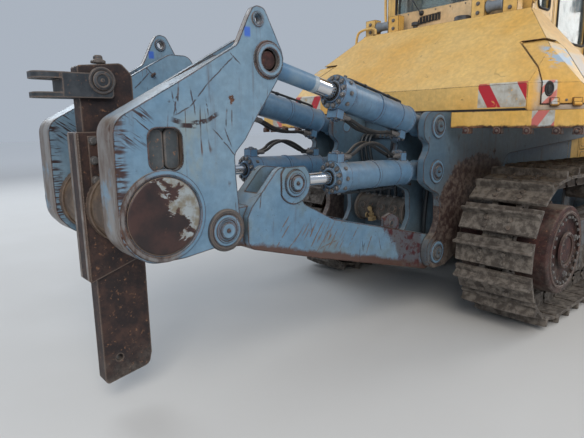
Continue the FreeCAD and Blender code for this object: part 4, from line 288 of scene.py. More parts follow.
tankTape = {"from": 0.861, "to": 1.230, "low": 1.792, "high": 1.972, "lean": 0.28, "shift": 0.22, "period": 0.85,
            "share": 0.33, "red": (0.46, 0.022, 0.035, 1), "worn": 0.60}
ledgeTape = {"from": 1.332, "to": 1.482, "low": 1.640, "high": 1.760, "lean": -0.55, "shift": -0.28, "period": 1.05,
             "share": 0.48, "red": (0.56, 0.15, 0.13, 1), "worn": 0.66}


def tankMarksAndReflections(tree, here, colour):
    # pale grey on the corner facets and pale blue higher up on them, both painted reflections of the sky, and the
    # hazard tape
    x, y, z = axes(tree, here)
    outer = maths(tree, "SUBTRACT", maths(tree, "ABSOLUTE", y), 1.262)
    # painted reflection: the corner facets turn pale grey, broken up by noise
    pale = product(tree, remap(tree, outer, -0.01, 0.03), remap(tree, noise(tree, here, 3.1, 8, 0.66), 0.34, 0.52))
    colour = blendColours(tree, maths(tree, "MULTIPLY", pale, 0.85), colour, (0.49, 0.45, 0.41, 1))
    # painted reflection: a pale blue band higher up on the corner facets
    patch = product(tree, remap(tree, outer, 0.12, 0.16), within(tree, z, 2.0, 2.24, 0.05),
                    remap(tree, noise(tree, stretched(tree, here, (1, 1, 2.6)), 5.5, 9, 0.7), 0.55, 0.58))
    colour = blendColours(tree, patch, colour, (0.34, 0.45, 0.56, 1))
    return hazardTape(tree, here, colour, tankTape)


def ledgeMarks(tree, here, colour):
    # the ledge's lower edge is eaten by rust, and its lugs are bare
    x, y, z = axes(tree, here)
    ragged = maths(tree, "ADD", z, maths(tree, "MULTIPLY", noise(tree, here, 12, 9, 0.75), -0.075))
    colour = hazardTape(tree, here, colour, ledgeTape)
    rust = remap(tree, ragged, 1.628, 1.612)
    return blendColours(tree, rust, colour, rustColour(tree, here, (0.022, 0.012, 0.010, 1), (0.17, 0.075, 0.035, 1)))


def bladeMarks(tree, here, colour):
    # the moldboard's face is scoured to bright streaked steel from its foot up, rust along the border
    x, y, z = axes(tree, here)
    facing = axes(tree, addNode(tree, "ShaderNodeNewGeometry").outputs["Normal"])
    front = remap(tree, facing[0], 0.15, 0.45)
    ragged = maths(tree, "MULTIPLY", noise(tree, stretched(tree, here, (1, 1.4, 0.45)), 1.3, 8, 0.68), 1.15)
    height = maths(tree, "ADD", z, maths(tree, "SUBTRACT", 0.55, ragged))
    scour = product(tree, front, remap(tree, height, 1.28, 1.16))
    border = product(tree, front, remap(tree, height, 1.36, 1.24))
    tone = noise(tree, stretched(tree, here, (3, 9, 0.5)), 3.5, 8, 0.7)
    steel = blendColours(tree, remap(tree, tone, 0.35, 0.65), (0.13, 0.105, 0.085, 1), (0.30, 0.275, 0.25, 1))
    colour = blendColours(tree, border, colour, rustWarm)
    return blendColours(tree, scour, colour, steel)


def hatchMarksAndReflection(tree, here, colour):
    # a pale patch with faded pink stripes round the lock, and above it a painted pale blue reflection of the sky
    x, y, z = axes(tree, here)
    width = maths(tree, "ABSOLUTE", y)
    run = maths(tree, "MULTIPLY", maths(tree, "ADD", maths(tree, "ADD", x, width), axleX + 0.501 - 1.236), 0.7071)
    wear = remap(tree, noise(tree, here, 22, 6, 0.7), 0.62, 0.55)
    patch = product(tree, within(tree, run, 0.03, 0.205, 0.006), within(tree, z, 1.805, 1.975, 0.004), wear)
    colour = blendColours(tree, patch, colour, (0.56, 0.57, 0.56, 1))
    band = maths(tree, "FRACT", maths(tree, "MULTIPLY", maths(tree, "SUBTRACT", z, run), 8.5))
    colour = blendColours(tree, product(tree, patch, within(tree, band, 0.1, 0.52, 0.03)), colour, (0.62, 0.20, 0.17, 1))
    # painted reflection: pale blue on the hatch's upper part
    upper = product(tree, within(tree, z, 2.08, 2.24, 0.03), remap(tree, run, 0.15, 0.2),
                    remap(tree, noise(tree, stretched(tree, here, (1, 1, 3)), 5.5, 8, 0.7), 0.50, 0.55))
    return blendColours(tree, upper, colour, (0.36, 0.47, 0.58, 1))


def tilted(tree, vector, angle, scale):
    # coordinates turned about the axis that runs across the machine, then stretched
    turned = addNode(tree, "ShaderNodeVectorRotate", {"Vector": vector, "Angle": angle}, rotation_type="Y_AXIS")
    return stretched(tree, turned.outputs[0], scale)


def gouges(tree, here, lines, width, soft=1.0):
    # long scratches between pairs of (x, z) spots in millimetres, wavering and broken
    x, _, z = axes(tree, here)
    waver = maths(tree, "MULTIPLY", maths(tree, "SUBTRACT", noise(tree, here, 7, 5, 0.6), 0.5), 0.03)
    total = None
    for (x0, z0), (x1, z1) in lines:
        length = math.hypot(x1 - x0, z1 - z0) / 1000
        dx, dz = (x1 - x0) / 1000 / length, (z1 - z0) / 1000 / length
        shiftX, shiftZ = maths(tree, "SUBTRACT", x, x0 / 1000 - axleX), maths(tree, "SUBTRACT", z, z0 / 1000)
        along = maths(tree, "ADD", maths(tree, "MULTIPLY", shiftX, dx), maths(tree, "MULTIPLY", shiftZ, dz))
        across = maths(tree, "SUBTRACT", maths(tree, "MULTIPLY", shiftX, dz), maths(tree, "MULTIPLY", shiftZ, dx))
        one = product(tree, within(tree, along, 0.0, length, 0.02), within(tree, maths(tree, "ADD", across, waver), -width, width, width * soft))
        total = one if total is None else maths(tree, "MAXIMUM", total, one)
    return product(tree, total, remap(tree, noise(tree, here, 30, 5, 0.7), 0.40, 0.47))


def armMarks(tree, here, colour):
    # the carrier's rear edges are bare and streaked, scratches reach into its sides, and old gouges cross them
    x, y, z = axes(tree, here)
    facing = axes(tree, addNode(tree, "ShaderNodeNewGeometry").outputs["Normal"])
    side = remap(tree, maths(tree, "ABSOLUTE", facing[1]), 0.5, 0.8)
    rear = maths(tree, "ADD", x, 3.282 + axleX)
    lines = noise(tree, stretched(tree, here, (5, 5, 60)), 1.0, 5, 0.65, 0.5)
    reach = maths(tree, "MULTIPLY", noise(tree, stretched(tree, here, (1, 1, 9)), 4.0, 6, 0.7), 0.10)
    fringe = product(tree, side, remap(tree, lines, 0.49, 0.56), remap(tree, maths(tree, "SUBTRACT", rear, reach), 0.03, -0.015))
    comb = product(tree, side, remap(tree, noise(tree, tilted(tree, here, -0.62, (6, 5, 85)), 1.0, 5, 0.6, 0.4), 0.53, 0.57),
                   within(tree, x, -3.24 - axleX, -3.09 - axleX, 0.03), within(tree, z, 1.60, 1.78, 0.04))
    marks = maths(tree, "MAXIMUM", fringe, comb)
    long = [((-2606, 2040), (-2756, 1903)), ((-2756, 1903), (-2878, 1785)), ((-2878, 1785), (-2959, 1744)),
            ((-2971, 1846), (-2954, 1752)), ((-2944, 1847), (-2968, 1744)), ((-2869, 1866), (-2847, 1744)),
            ((-2780, 1819), (-2764, 1744)), ((-2738, 1668), (-2606, 1523)), ((-2670, 1667), (-2631, 1578)),
            ((-2640, 2080), (-2560, 2010))]
    marks = maths(tree, "MAXIMUM", marks, product(tree, side, gouges(tree, here, long, 0.0032)))
    thick = [((-2862, 1698), (-2775, 1716)), ((-2775, 1716), (-2716, 1748)), ((-2930, 1690), (-2850, 1684)), ((-2975, 1720), (-2935, 1705))]
    colour = blendColours(tree, marks, colour, (0.040, 0.020, 0.020, 1))
    pale = product(tree, side, within(tree, x, -2.96 - axleX, -2.72 - axleX, 0.05), within(tree, z, 1.40, 1.74, 0.06),
                   remap(tree, noise(tree, stretched(tree, here, (1, 1, 0.4)), 6, 7, 0.65), 0.45, 0.6))
    colour = blendColours(tree, maths(tree, "MULTIPLY", pale, 0.6), colour, (0.235, 0.265, 0.235, 1))
    colour = blendColours(tree, product(tree, side, gouges(tree, here, thick, 0.012, 0.25)), colour, (0.028, 0.014, 0.016, 1))
    dab = product(tree, side, within(tree, x, -2.522 - axleX, -2.482 - axleX, 0.006), within(tree, z, 2.155, 2.205, 0.008))
    colour = blendColours(tree, dab, colour, (0.045, 0.13, 0.50, 1))
    patina = blendColours(tree, remap(tree, noise(tree, stretched(tree, here, (1, 1, 0.25)), 9, 8, 0.7), 0.4, 0.62),
                          (0.23, 0.225, 0.22, 1), (0.105, 0.070, 0.050, 1))
    back = product(tree, remap(tree, facing[0], -0.35, -0.75), remap(tree, noise(tree, here, 4, 8, 0.65), 0.34, 0.46))
    return blendColours(tree, back, colour, patina)


def linkMarks(tree, here, colour):
    # weathered grey-green patches, rusty scratches, a rusted lower edge and a red-brown patch near the hull
    x, y, z = axes(tree, here)
    weathered = remap(tree, noise(tree, here, 2.6, 9, 0.68), 0.46, 0.62, 0, 0.65)
    colour = blendColours(tree, weathered, colour, (0.120, 0.165, 0.175, 1))
    speckle = remap(tree, noise(tree, here, 34, 7, 0.75), 0.60, 0.66, 0, 0.7)
    colour = blendColours(tree, speckle, colour, (0.060, 0.048, 0.042, 1))
    bundle = product(tree, remap(tree, noise(tree, tilted(tree, here, 0.9, (5, 5, 60)), 1.0, 5, 0.6, 0.5), 0.56, 0.60),
                     within(tree, x, -2.12 - axleX, -1.72 - axleX, 0.1), within(tree, z, 0.80, 1.06, 0.05))
    gouged = gouges(tree, here, [((-2297, 1052), (-2225, 1130)), ((-2330, 960), (-2215, 1085)), ((-2250, 905), (-2120, 1030)),
                                 ((-1660, 860), (-1560, 990)), ((-1480, 760), (-1420, 880)), ((-1950, 880), (-1800, 905))], 0.004)
    colour = blendColours(tree, maths(tree, "MAXIMUM", bundle, gouged), colour, (0.135, 0.085, 0.060, 1))
    ragged = maths(tree, "MULTIPLY", maths(tree, "SUBTRACT", noise(tree, here, 9, 8, 0.7), 0.5), 0.30)
    lower = maths(tree, "SUBTRACT", z, maths(tree, "SUBTRACT", 0.326 - 0.2595 * axleX, maths(tree, "MULTIPLY", x, 0.2595)))
    colour = blendColours(tree, remap(tree, maths(tree, "ADD", lower, maths(tree, "MULTIPLY", ragged, 0.35)), 0.045, 0.015), colour,
                          (0.085, 0.045, 0.035, 1))
    nearHull = maths(tree, "ADD", maths(tree, "ADD", x, maths(tree, "MULTIPLY", z, 0.75)), maths(tree, "ADD", ragged, axleX))
    patch = product(tree, remap(tree, nearHull, -0.62, -0.56), remap(tree, x, -0.74 - axleX, -0.82 - axleX))
    colour = blendColours(tree, maths(tree, "MULTIPLY", patch, 0.8), colour, (0.090, 0.070, 0.065, 1))
    red = product(tree, patch, remap(tree, noise(tree, here, 15, 9, 0.75), 0.49, 0.56))
    return blendColours(tree, red, colour, (0.070, 0.018, 0.022, 1))


def hullMarks(tree, here, colour):
    # mud thrown up by the track lies on the brackets in an arch round the sprocket, and dusts the paint above it
    x, y, z = axes(tree, here)
    across, climb = maths(tree, "ADD", x, axleX), maths(tree, "SUBTRACT", z, 0.665)
    radius = maths(tree, "SQRT", maths(tree, "ADD", maths(tree, "MULTIPLY", across, across), maths(tree, "MULTIPLY", climb, climb)))
    ragged = maths(tree, "MULTIPLY", maths(tree, "SUBTRACT", noise(tree, here, 16, 10, 0.78, 0.4), 0.5), 0.30)
    broad = maths(tree, "MULTIPLY", maths(tree, "SUBTRACT", noise(tree, here, 2.4, 3, 0.5), 0.5), 0.18)
    wide = remap(tree, maths(tree, "ABSOLUTE", y), 0.57, 0.60)
    edge = maths(tree, "ADD", radius, maths(tree, "ADD", ragged, broad))
    dusted = product(tree, wide, remap(tree, edge, 0.98, 0.74, 0, 0.55))
    colour = blendColours(tree, dusted, colour, (0.085, 0.085, 0.085, 1))
    clay = blendColours(tree, remap(tree, noise(tree, here, 22, 8, 0.72), 0.42, 0.60), (0.038, 0.022, 0.020, 1), (0.125, 0.095, 0.080, 1))
    colour = blendColours(tree, product(tree, wide, remap(tree, edge, 0.755, 0.735)), colour, clay)
    fleck = product(tree, wide, remap(tree, radius, 1.35, 0.85), remap(tree, noise(tree, here, 46, 6, 0.7), 0.62, 0.66))
    return blendColours(tree, fleck, colour, (0.11, 0.085, 0.070, 1))


def collarMarks(tree, here, colour):
    # the collar round the tube is bare and grooved behind, and still painted in front
    x, y, z = axes(tree, here)
    share = maths(tree, "ADD", x, maths(tree, "MULTIPLY", noise(tree, here, 6, 8, 0.7), 0.28))
    bare = remap(tree, maths(tree, "ADD", share, maths(tree, "MULTIPLY", z, 0.35)), -2.42 - axleX, -2.52 - axleX)
    streaks = blendColours(tree, remap(tree, noise(tree, stretched(tree, here, (2, 1, 0.6)), 14, 8, 0.7), 0.4, 0.62),
                           (0.19, 0.185, 0.185, 1), (0.060, 0.040, 0.036, 1))
    return blendColours(tree, bare, colour, streaks)


paints = {
    "greyPaint": {"base": (0.118, 0.225, 0.335, 1), "faded": (0.190, 0.290, 0.375, 1), "edge": 5.5,
                  "edgeWidth": 0.012, "chip": 0.42, "chipScale": 9, "streak": 0.75, "scratch": 0.9, "dust": 0.42,
                  "mudTop": 0.72, "mud": 0.7, "rough": 0.40},
    # a darker copy of greyPaint: painted shade from the machine above the hull and brackets, and dirt
    "hullPaint": {"base": (0.070, 0.125, 0.180, 1), "faded": (0.110, 0.165, 0.205, 1), "edge": 4.0,
                  "edgeWidth": 0.010, "chip": 0.45, "chipScale": 8, "streak": 0.9, "scratch": 0.6, "dust": 0.5,
                  "mudTop": 1.0, "mud": 0.9, "rough": 0.50},
    "barrelPaint": {"base": (0.090, 0.190, 0.315, 1), "faded": (0.150, 0.250, 0.350, 1), "edge": 2.5,
                    "edgeWidth": 0.008, "chip": 0.28, "chipScale": 14, "streak": 0.4, "scratch": 0.3, "dust": 0.5,
                    "mudTop": 0.6, "mud": 0.5, "rough": 0.34},
    "yellowPaint": {"base": (0.72, 0.405, 0.085, 1), "faded": (0.76, 0.50, 0.17, 1), "edge": 2.2,
                    "edgeWidth": 0.010, "chip": 0.26, "chipScale": 11, "streak": 0.35, "scratch": 0.3, "dust": 0.35,
                    "mudTop": 0.9, "mud": 0.7, "rough": 0.40},
    "frameGrey": {"base": (0.085, 0.105, 0.125, 1), "faded": (0.135, 0.150, 0.165, 1), "edge": 4.0,
                  "edgeWidth": 0.010, "chip": 0.55, "chipScale": 7, "streak": 0.6, "scratch": 0.5, "dust": 0.8,
                  "mudTop": 1.2, "mud": 1.0, "rough": 0.6},
    "darkPaint": {"base": (0.026, 0.029, 0.034, 1), "faded": (0.050, 0.053, 0.058, 1), "edge": 3.0,
                  "edgeWidth": 0.006, "chip": 0.3, "chipScale": 12, "streak": 0.3, "scratch": 0.4, "dust": 0.6,
                  "mudTop": 0.7, "mud": 0.7, "rough": 0.55},
}


def paintedSteel(name, s, extra=None):
    new, tree, shader, here = startMaterial(name)
    fade = remap(tree, noise(tree, here, 1.3, 6, 0.6), 0.35, 0.68)
    colour = blendColours(tree, fade, s["base"], s["faded"])
    mottle = remap(tree, noise(tree, here, 23, 7, 0.65), 0.3, 0.75, 0.86, 1.1)
    colour = blendColours(tree, 1.0, colour, addNode(tree, "ShaderNodeCombineColor", {0: mottle, 1: mottle, 2: mottle}).outputs[0],
                          "MULTIPLY")
    if extra:
        colour = extra(tree, here, colour)
    rust = rustColour(tree, here)
    drips = useGroup(tree, "streak", {"Vector": here, "Scale": 11, "Amount": s["streak"]})["Mask"]
    colour = blendColours(tree, drips, colour, (0.085, 0.045, 0.028, 1))
    scratch = useGroup(tree, "scratch", {"Vector": here, "Scale": 2.3, "Amount": s["scratch"]})["Mask"]
    chips = useGroup(tree, "chip", {"Vector": here, "Scale": s["chipScale"], "Amount": s["chip"]})
    edge = useGroup(tree, "edge", {"Vector": here, "Width": s["edgeWidth"], "Grain": 17, "Amount": s["edge"]})["Mask"]
    bare = maths(tree, "MAXIMUM", maths(tree, "MAXIMUM", chips["Mask"], scratch), edge)
    colour = blendColours(tree, maths(tree, "MULTIPLY", chips["Rim"], 0.45), colour, (0.12, 0.07, 0.045, 1))
    colour = blendColours(tree, bare, colour, rust)
    dirtAndShade = useGroup(tree, "dirtAndShade", {"Vector": here, "Top": s["mudTop"], "Dust": s["dust"], "Corner": 0.14, "Mud": s["mud"]})
    # painted shade: darker brown in corners and hollows
    colour = blendColours(tree, maths(tree, "MULTIPLY", dirtAndShade["Corner"], 0.7), colour, (0.055, 0.042, 0.033, 1))
    colour = blendColours(tree, dirtAndShade["Dust"], colour, (0.30, 0.26, 0.21, 1))
    clay = blendColours(tree, remap(tree, noise(tree, here, 19, 7, 0.7), 0.4, 0.62), mudTone, mudDry)
    colour = blendColours(tree, dirtAndShade["Mud"], colour, clay)
    tree.links.new(colour, shader.inputs["Base Color"])
    dull = maths(tree, "MAXIMUM", maths(tree, "MAXIMUM", bare, dirtAndShade["Mud"]), dirtAndShade["Dust"])
    tree.links.new(remap(tree, dull, 0, 1, s["rough"], 0.86), shader.inputs["Roughness"])
    height = maths(tree, "SUBTRACT", maths(tree, "MULTIPLY", noise(tree, here, 38, 5, 0.6), 0.35), maths(tree, "MULTIPLY", bare, 0.8))
    height = maths(tree, "ADD", height, maths(tree, "MULTIPLY", dirtAndShade["Mud"], noise(tree, here, 55, 6, 0.7)))
    rounded = addNode(tree, "ShaderNodeBevel", {"Radius": 0.004}, samples=4).outputs[0]
    bump = addNode(tree, "ShaderNodeBump", {"Strength": 0.35, "Distance": 0.003, "Height": height, "Normal": rounded})
    tree.links.new(bump.outputs[0], shader.inputs["Normal"])
    return new


def rustySteel(name, dark, warm, polish=0.0, mudTop=0.9, mud=0.6, rough=0.8):
    new, tree, shader, here = startMaterial(name)
    colour = rustColour(tree, here, dark, warm)
    edge = useGroup(tree, "edge", {"Vector": here, "Width": 0.014, "Grain": 21, "Amount": 4.0})["Mask"]
    colour = blendColours(tree, maths(tree, "MULTIPLY", edge, 0.7), colour, (0.20, 0.15, 0.12, 1))
    dirtAndShade = useGroup(tree, "dirtAndShade", {"Vector": here, "Top": mudTop, "Dust": 0.6, "Corner": 0.12, "Mud": mud})
    # painted shade: darker in corners and hollows
    colour = blendColours(tree, maths(tree, "MULTIPLY", dirtAndShade["Corner"], 0.6), colour, (0.03, 0.022, 0.018, 1))
    colour = blendColours(tree, dirtAndShade["Dust"], colour, (0.24, 0.20, 0.16, 1))
    clay = blendColours(tree, remap(tree, noise(tree, here, 19, 7, 0.7), 0.4, 0.62), mudTone, mudDry)
    colour = blendColours(tree, dirtAndShade["Mud"], colour, clay)
    tree.links.new(colour, shader.inputs["Base Color"])
    shader.inputs["Metallic"].default_value = polish
    tree.links.new(remap(tree, maths(tree, "MAXIMUM", edge, 0.0), 0, 1, rough, 0.5), shader.inputs["Roughness"])
    height = maths(tree, "ADD", noise(tree, here, 30, 8, 0.7), maths(tree, "MULTIPLY", noise(tree, here, 130, 4, 0.6), 0.3))
    rounded = addNode(tree, "ShaderNodeBevel", {"Radius": 0.005}, samples=4).outputs[0]
    bump = addNode(tree, "ShaderNodeBump", {"Strength": 0.6, "Distance": 0.003, "Height": height, "Normal": rounded})
    tree.links.new(bump.outputs[0], shader.inputs["Normal"])
    return new


def plainFinish(name, colour, rough, metal=0.0, variation=0.15, scale=20, bumpStrength=0.15, dust=0.3):
    new, tree, shader, here = startMaterial(name)
    low = tuple(c * (1 - variation) for c in colour[:3]) + (1,)
    high = tuple(min(1, c * (1 + variation)) for c in colour[:3]) + (1,)
    tint = blendColours(tree, noise(tree, here, scale, 6, 0.6), low, high)
    dirtAndShade = useGroup(tree, "dirtAndShade", {"Vector": here, "Top": 0.5, "Dust": dust, "Corner": 0.05, "Mud": dust})
    tint = blendColours(tree, dirtAndShade["Dust"], tint, (0.24, 0.20, 0.16, 1))
    tree.links.new(tint, shader.inputs["Base Color"])
    shader.inputs["Metallic"].default_value = metal
    tree.links.new(remap(tree, noise(tree, here, scale * 1.7, 5, 0.6), 0.3, 0.7, rough * 0.8, min(1, rough * 1.25)),
                   shader.inputs["Roughness"])
    bump = addNode(tree, "ShaderNodeBump", {"Strength": bumpStrength, "Distance": 0.001,
                                            "Height": noise(tree, here, scale * 6, 4, 0.6)})
    tree.links.new(bump.outputs[0], shader.inputs["Normal"])
    return new


def glassFinish(name):
    new, tree, shader, here = startMaterial(name)
    tree.links.new(blendColours(tree, remap(tree, noise(tree, here, 6, 7, 0.65), 0.45, 0.7), (0.42, 0.50, 0.50, 1),
                                (0.50, 0.47, 0.42, 1)), shader.inputs["Base Color"])
    shader.inputs["Transmission Weight"].default_value = 0.85
    shader.inputs["IOR"].default_value = 1.45
    tree.links.new(remap(tree, noise(tree, here, 14, 6, 0.6), 0.4, 0.75, 0.04, 0.28), shader.inputs["Roughness"])
    return new


def tubeEndFinish(name):
    # dark smooth rust with jagged remains of pale paint towards the front and the top
    new, tree, shader, here = startMaterial(name)
    x, y, z = axes(tree, here)
    u = maths(tree, "MULTIPLY", maths(tree, "ADD", x, 3.047 + axleX), 4.2)
    v = maths(tree, "MULTIPLY", maths(tree, "SUBTRACT", z, 1.243), 2.4)
    broken = noise(tree, stretched(tree, here, (1, 1, 1.7), (0, 0.5, 0)), 8.5, 10, 0.66, 1.1)
    share = maths(tree, "ADD", maths(tree, "MULTIPLY", broken, 2.6), maths(tree, "ADD", u, v))
    pale = remap(tree, share, 1.62, 1.68)
    dark = blendColours(tree, remap(tree, noise(tree, here, 7, 8, 0.6), 0.35, 0.65), (0.017, 0.010, 0.011, 1),
                        (0.052, 0.023, 0.020, 1))
    paint = blendColours(tree, remap(tree, noise(tree, here, 12, 8, 0.7), 0.42, 0.6), (0.30, 0.34, 0.36, 1), (0.19, 0.17, 0.13, 1))
    colour = blendColours(tree, pale, dark, paint)
    rim = remap(tree, maths(tree, "ABSOLUTE", maths(tree, "SUBTRACT", share, 1.62)), 0.06, 0.0)
    colour = blendColours(tree, maths(tree, "MULTIPLY", rim, 0.8), colour, (0.10, 0.045, 0.026, 1))
    tree.links.new(colour, shader.inputs["Base Color"])
    tree.links.new(remap(tree, pale, 0, 1, 0.36, 0.55), shader.inputs["Roughness"])
    height = maths(tree, "ADD", maths(tree, "MULTIPLY", pale, 0.8), maths(tree, "MULTIPLY", noise(tree, here, 60, 5, 0.6), 0.25))
    bump = addNode(tree, "ShaderNodeBump", {"Strength": 0.5, "Distance": 0.002, "Height": height})
    tree.links.new(bump.outputs[0], shader.inputs["Normal"])
    return new


def rodFinish(name, spot, direction, painted):
    # chrome, with paint on the rod's eye and on its length next to the eye
    new, tree, shader, here = startMaterial(name)
    offset = addNode(tree, "ShaderNodeVectorMath", {0: here, 1: tuple(spot)}, operation="SUBTRACT").outputs[0]
    offset = addNode(tree, "ShaderNodeVectorMath", {0: offset, 1: (1, 0, 1)}, operation="MULTIPLY").outputs[0]
    s = addNode(tree, "ShaderNodeVectorMath", {0: offset, 1: tuple(direction)}, operation="DOT_PRODUCT").outputs["Value"]
    ragged = maths(tree, "ADD", s, maths(tree, "MULTIPLY", noise(tree, here, 40, 6, 0.6), 0.006))
    bare = remap(tree, ragged, painted, painted + 0.004)
    paint = blendColours(tree, remap(tree, noise(tree, here, 6, 7, 0.6), 0.4, 0.65), (0.090, 0.190, 0.315, 1), (0.16, 0.25, 0.34, 1))
    paint = blendColours(tree, useGroup(tree, "chip", {"Vector": here, "Scale": 14, "Amount": 0.3})["Mask"], paint, rustColour(tree, here))
    band = within(tree, ragged, painted - 0.035, painted, 0.003)
    paint = blendColours(tree, maths(tree, "MULTIPLY", band, 0.7), paint, (0.42, 0.47, 0.50, 1))
    chromeTint = blendColours(tree, noise(tree, stretched(tree, here, (0.4, 30, 30)), 4, 5, 0.6), (0.70, 0.73, 0.77, 1), (0.80, 0.82, 0.85, 1))
    tree.links.new(blendColours(tree, bare, paint, chromeTint), shader.inputs["Base Color"])
    tree.links.new(bare, shader.inputs["Metallic"])
    tree.links.new(remap(tree, bare, 0, 1, 0.38, 0.11), shader.inputs["Roughness"])
    return new


materials = {name: paintedSteel(name, s) for name, s in paints.items()}
materials |= {
    "armPaint": paintedSteel("armPaint", {**paints["greyPaint"], "chip": 0.25}, armMarks),
    "tankPaint": paintedSteel("tankPaint", {**paints["yellowPaint"], "dust": 0.10}, tankMarksAndReflections),
    "ledgePaint": paintedSteel("ledgePaint", paints["yellowPaint"], ledgeMarks),
    "tubeEnd": tubeEndFinish("tubeEnd"),
    "liftRod": rodFinish("liftRod", at(-2174, 0, 1334), (0.99975, 0, -0.02246), 0.095),
    "tiltRod": rodFinish("tiltRod", at(-2360, 0, 2043), (0.97399, 0, -0.22658), 0.47),
    "bladeRod": rodFinish("bladeRod", at(4750, 0, 950), (-0.50981, 0, 0.86029), 0.08),
    "rustySteel": rustySteel("rustySteel", rustDark, rustWarm),
    "tubeBrown": rustySteel("tubeBrown", (0.070, 0.045, 0.030, 1), (0.165, 0.115, 0.075, 1), 0.1, 0.3, 0.2, 0.55),
    "collarSteel": paintedSteel("collarSteel", paints["greyPaint"], collarMarks),
    "linkPaint": paintedSteel("linkPaint", paints["greyPaint"], linkMarks),
    "bracketPaint": paintedSteel("bracketPaint", paints["hullPaint"], hullMarks),
    "palePaint": paintedSteel("palePaint", {**paints["yellowPaint"], "base": (0.70, 0.47, 0.235, 1), "faded": (0.74, 0.57, 0.36, 1),
                                            "dust": 0.2}),
    "bareStrip": rustySteel("bareStrip", (0.15, 0.125, 0.11, 1), (0.30, 0.285, 0.275, 1), 0.3, 0.2, 0.2, 0.5),
    "windowPanel": rustySteel("windowPanel", (0.045, 0.055, 0.062, 1), (0.075, 0.085, 0.092, 1), 0.0, 0.2, 0.2, 0.6),
    "shankSteel": rustySteel("shankSteel", (0.020, 0.013, 0.014, 1), (0.062, 0.032, 0.025, 1), 0.1, 0.45, 0.5, 0.62),
    "driveRust": rustySteel("driveRust", (0.026, 0.011, 0.011, 1), (0.075, 0.026, 0.022, 1), 0.0, 0.9, 0.5),
    "hitchSteel": rustySteel("hitchSteel", (0.022, 0.028, 0.036, 1), (0.052, 0.060, 0.070, 1), 0.1, 0.3, 0.2, 0.55),
    "trackClay": rustySteel("trackClay", (0.040, 0.032, 0.028, 1), (0.125, 0.100, 0.080, 1), 0.0, 4.5, 0.9, 0.85),
    "trackSteel": rustySteel("trackSteel", (0.045, 0.034, 0.028, 1), (0.110, 0.080, 0.058, 1), 0.05, 2.2, 1.0, 0.85),
    "wornEdge": rustySteel("wornEdge", (0.16, 0.14, 0.13, 1), (0.30, 0.27, 0.25, 1), 0.85, 0.2, 0.3, 0.42),
    "housingMud": rustySteel("housingMud", (0.048, 0.043, 0.038, 1), (0.120, 0.110, 0.098, 1), 0.1, 0.6, 0.5, 0.7),
    "driedMud": rustySteel("driedMud", (0.052, 0.042, 0.034, 1), (0.140, 0.112, 0.086, 1), 0.0, 4.5, 0.9, 0.9),
    "lineSteel": plainFinish("lineSteel", (0.026, 0.031, 0.036, 1), 0.42, 0.2, 0.35, 40, 0.25, 0.4),
    "brass": plainFinish("brass", (0.46, 0.33, 0.17, 1), 0.42, 0.8, 0.35, 50, 0.3, 0.5),
    "mountGrey": plainFinish("mountGrey", (0.185, 0.210, 0.240, 1), 0.6, 0.0, 0.25, 40, 0.3, 0.4),
    "radiatorMetal": plainFinish("radiatorMetal", (0.040, 0.042, 0.045, 1), 0.55, 0.5, 0.3, 60, 0.3, 0.8),
    "treadPaint": paintedSteel("treadPaint", {**paints["yellowPaint"], "edge": 6.0, "edgeWidth": 0.02, "chip": 0.6, "dust": 0.7}),
    "bladePaint": paintedSteel("bladePaint", paints["yellowPaint"], bladeMarks),
    "handrailPaint": paintedSteel("handrailPaint", {**paints["yellowPaint"], "edge": 3.0, "chip": 0.35}),
    "hatchPaint": paintedSteel("hatchPaint", {**paints["yellowPaint"], "dust": 0.10}, hatchMarksAndReflection),
    "chrome": plainFinish("chrome", (0.72, 0.74, 0.76, 1), 0.10, 1.0, 0.05, 9, 0.04, 0.15),
    "boltSteel": plainFinish("boltSteel", (0.20, 0.19, 0.185, 1), 0.5, 0.75, 0.35, 60, 0.3, 0.5),
    "pipeSteel": plainFinish("pipeSteel", (0.42, 0.43, 0.44, 1), 0.38, 0.9, 0.25, 40, 0.2, 0.4),
    "hoseRubber": plainFinish("hoseRubber", (0.018, 0.018, 0.019, 1), 0.55, 0.0, 0.4, 70, 0.3, 0.5),
    "sealRubber": plainFinish("sealRubber", (0.014, 0.014, 0.014, 1), 0.7, 0.0, 0.3, 80, 0.2, 0.3),
    "blackPlastic": plainFinish("blackPlastic", (0.024, 0.024, 0.026, 1), 0.5, 0.0, 0.25, 60, 0.25, 0.3),
    "seatVinyl": plainFinish("seatVinyl", (0.030, 0.030, 0.033, 1), 0.55, 0.0, 0.3, 110, 0.5, 0.1),
    "lensGlass": plainFinish("lensGlass", (0.72, 0.74, 0.74, 1), 0.12, 0.0, 0.1, 30, 0.2, 0.2),
    "glass": glassFinish("glass"),
}
print("materials made:", len(materials))

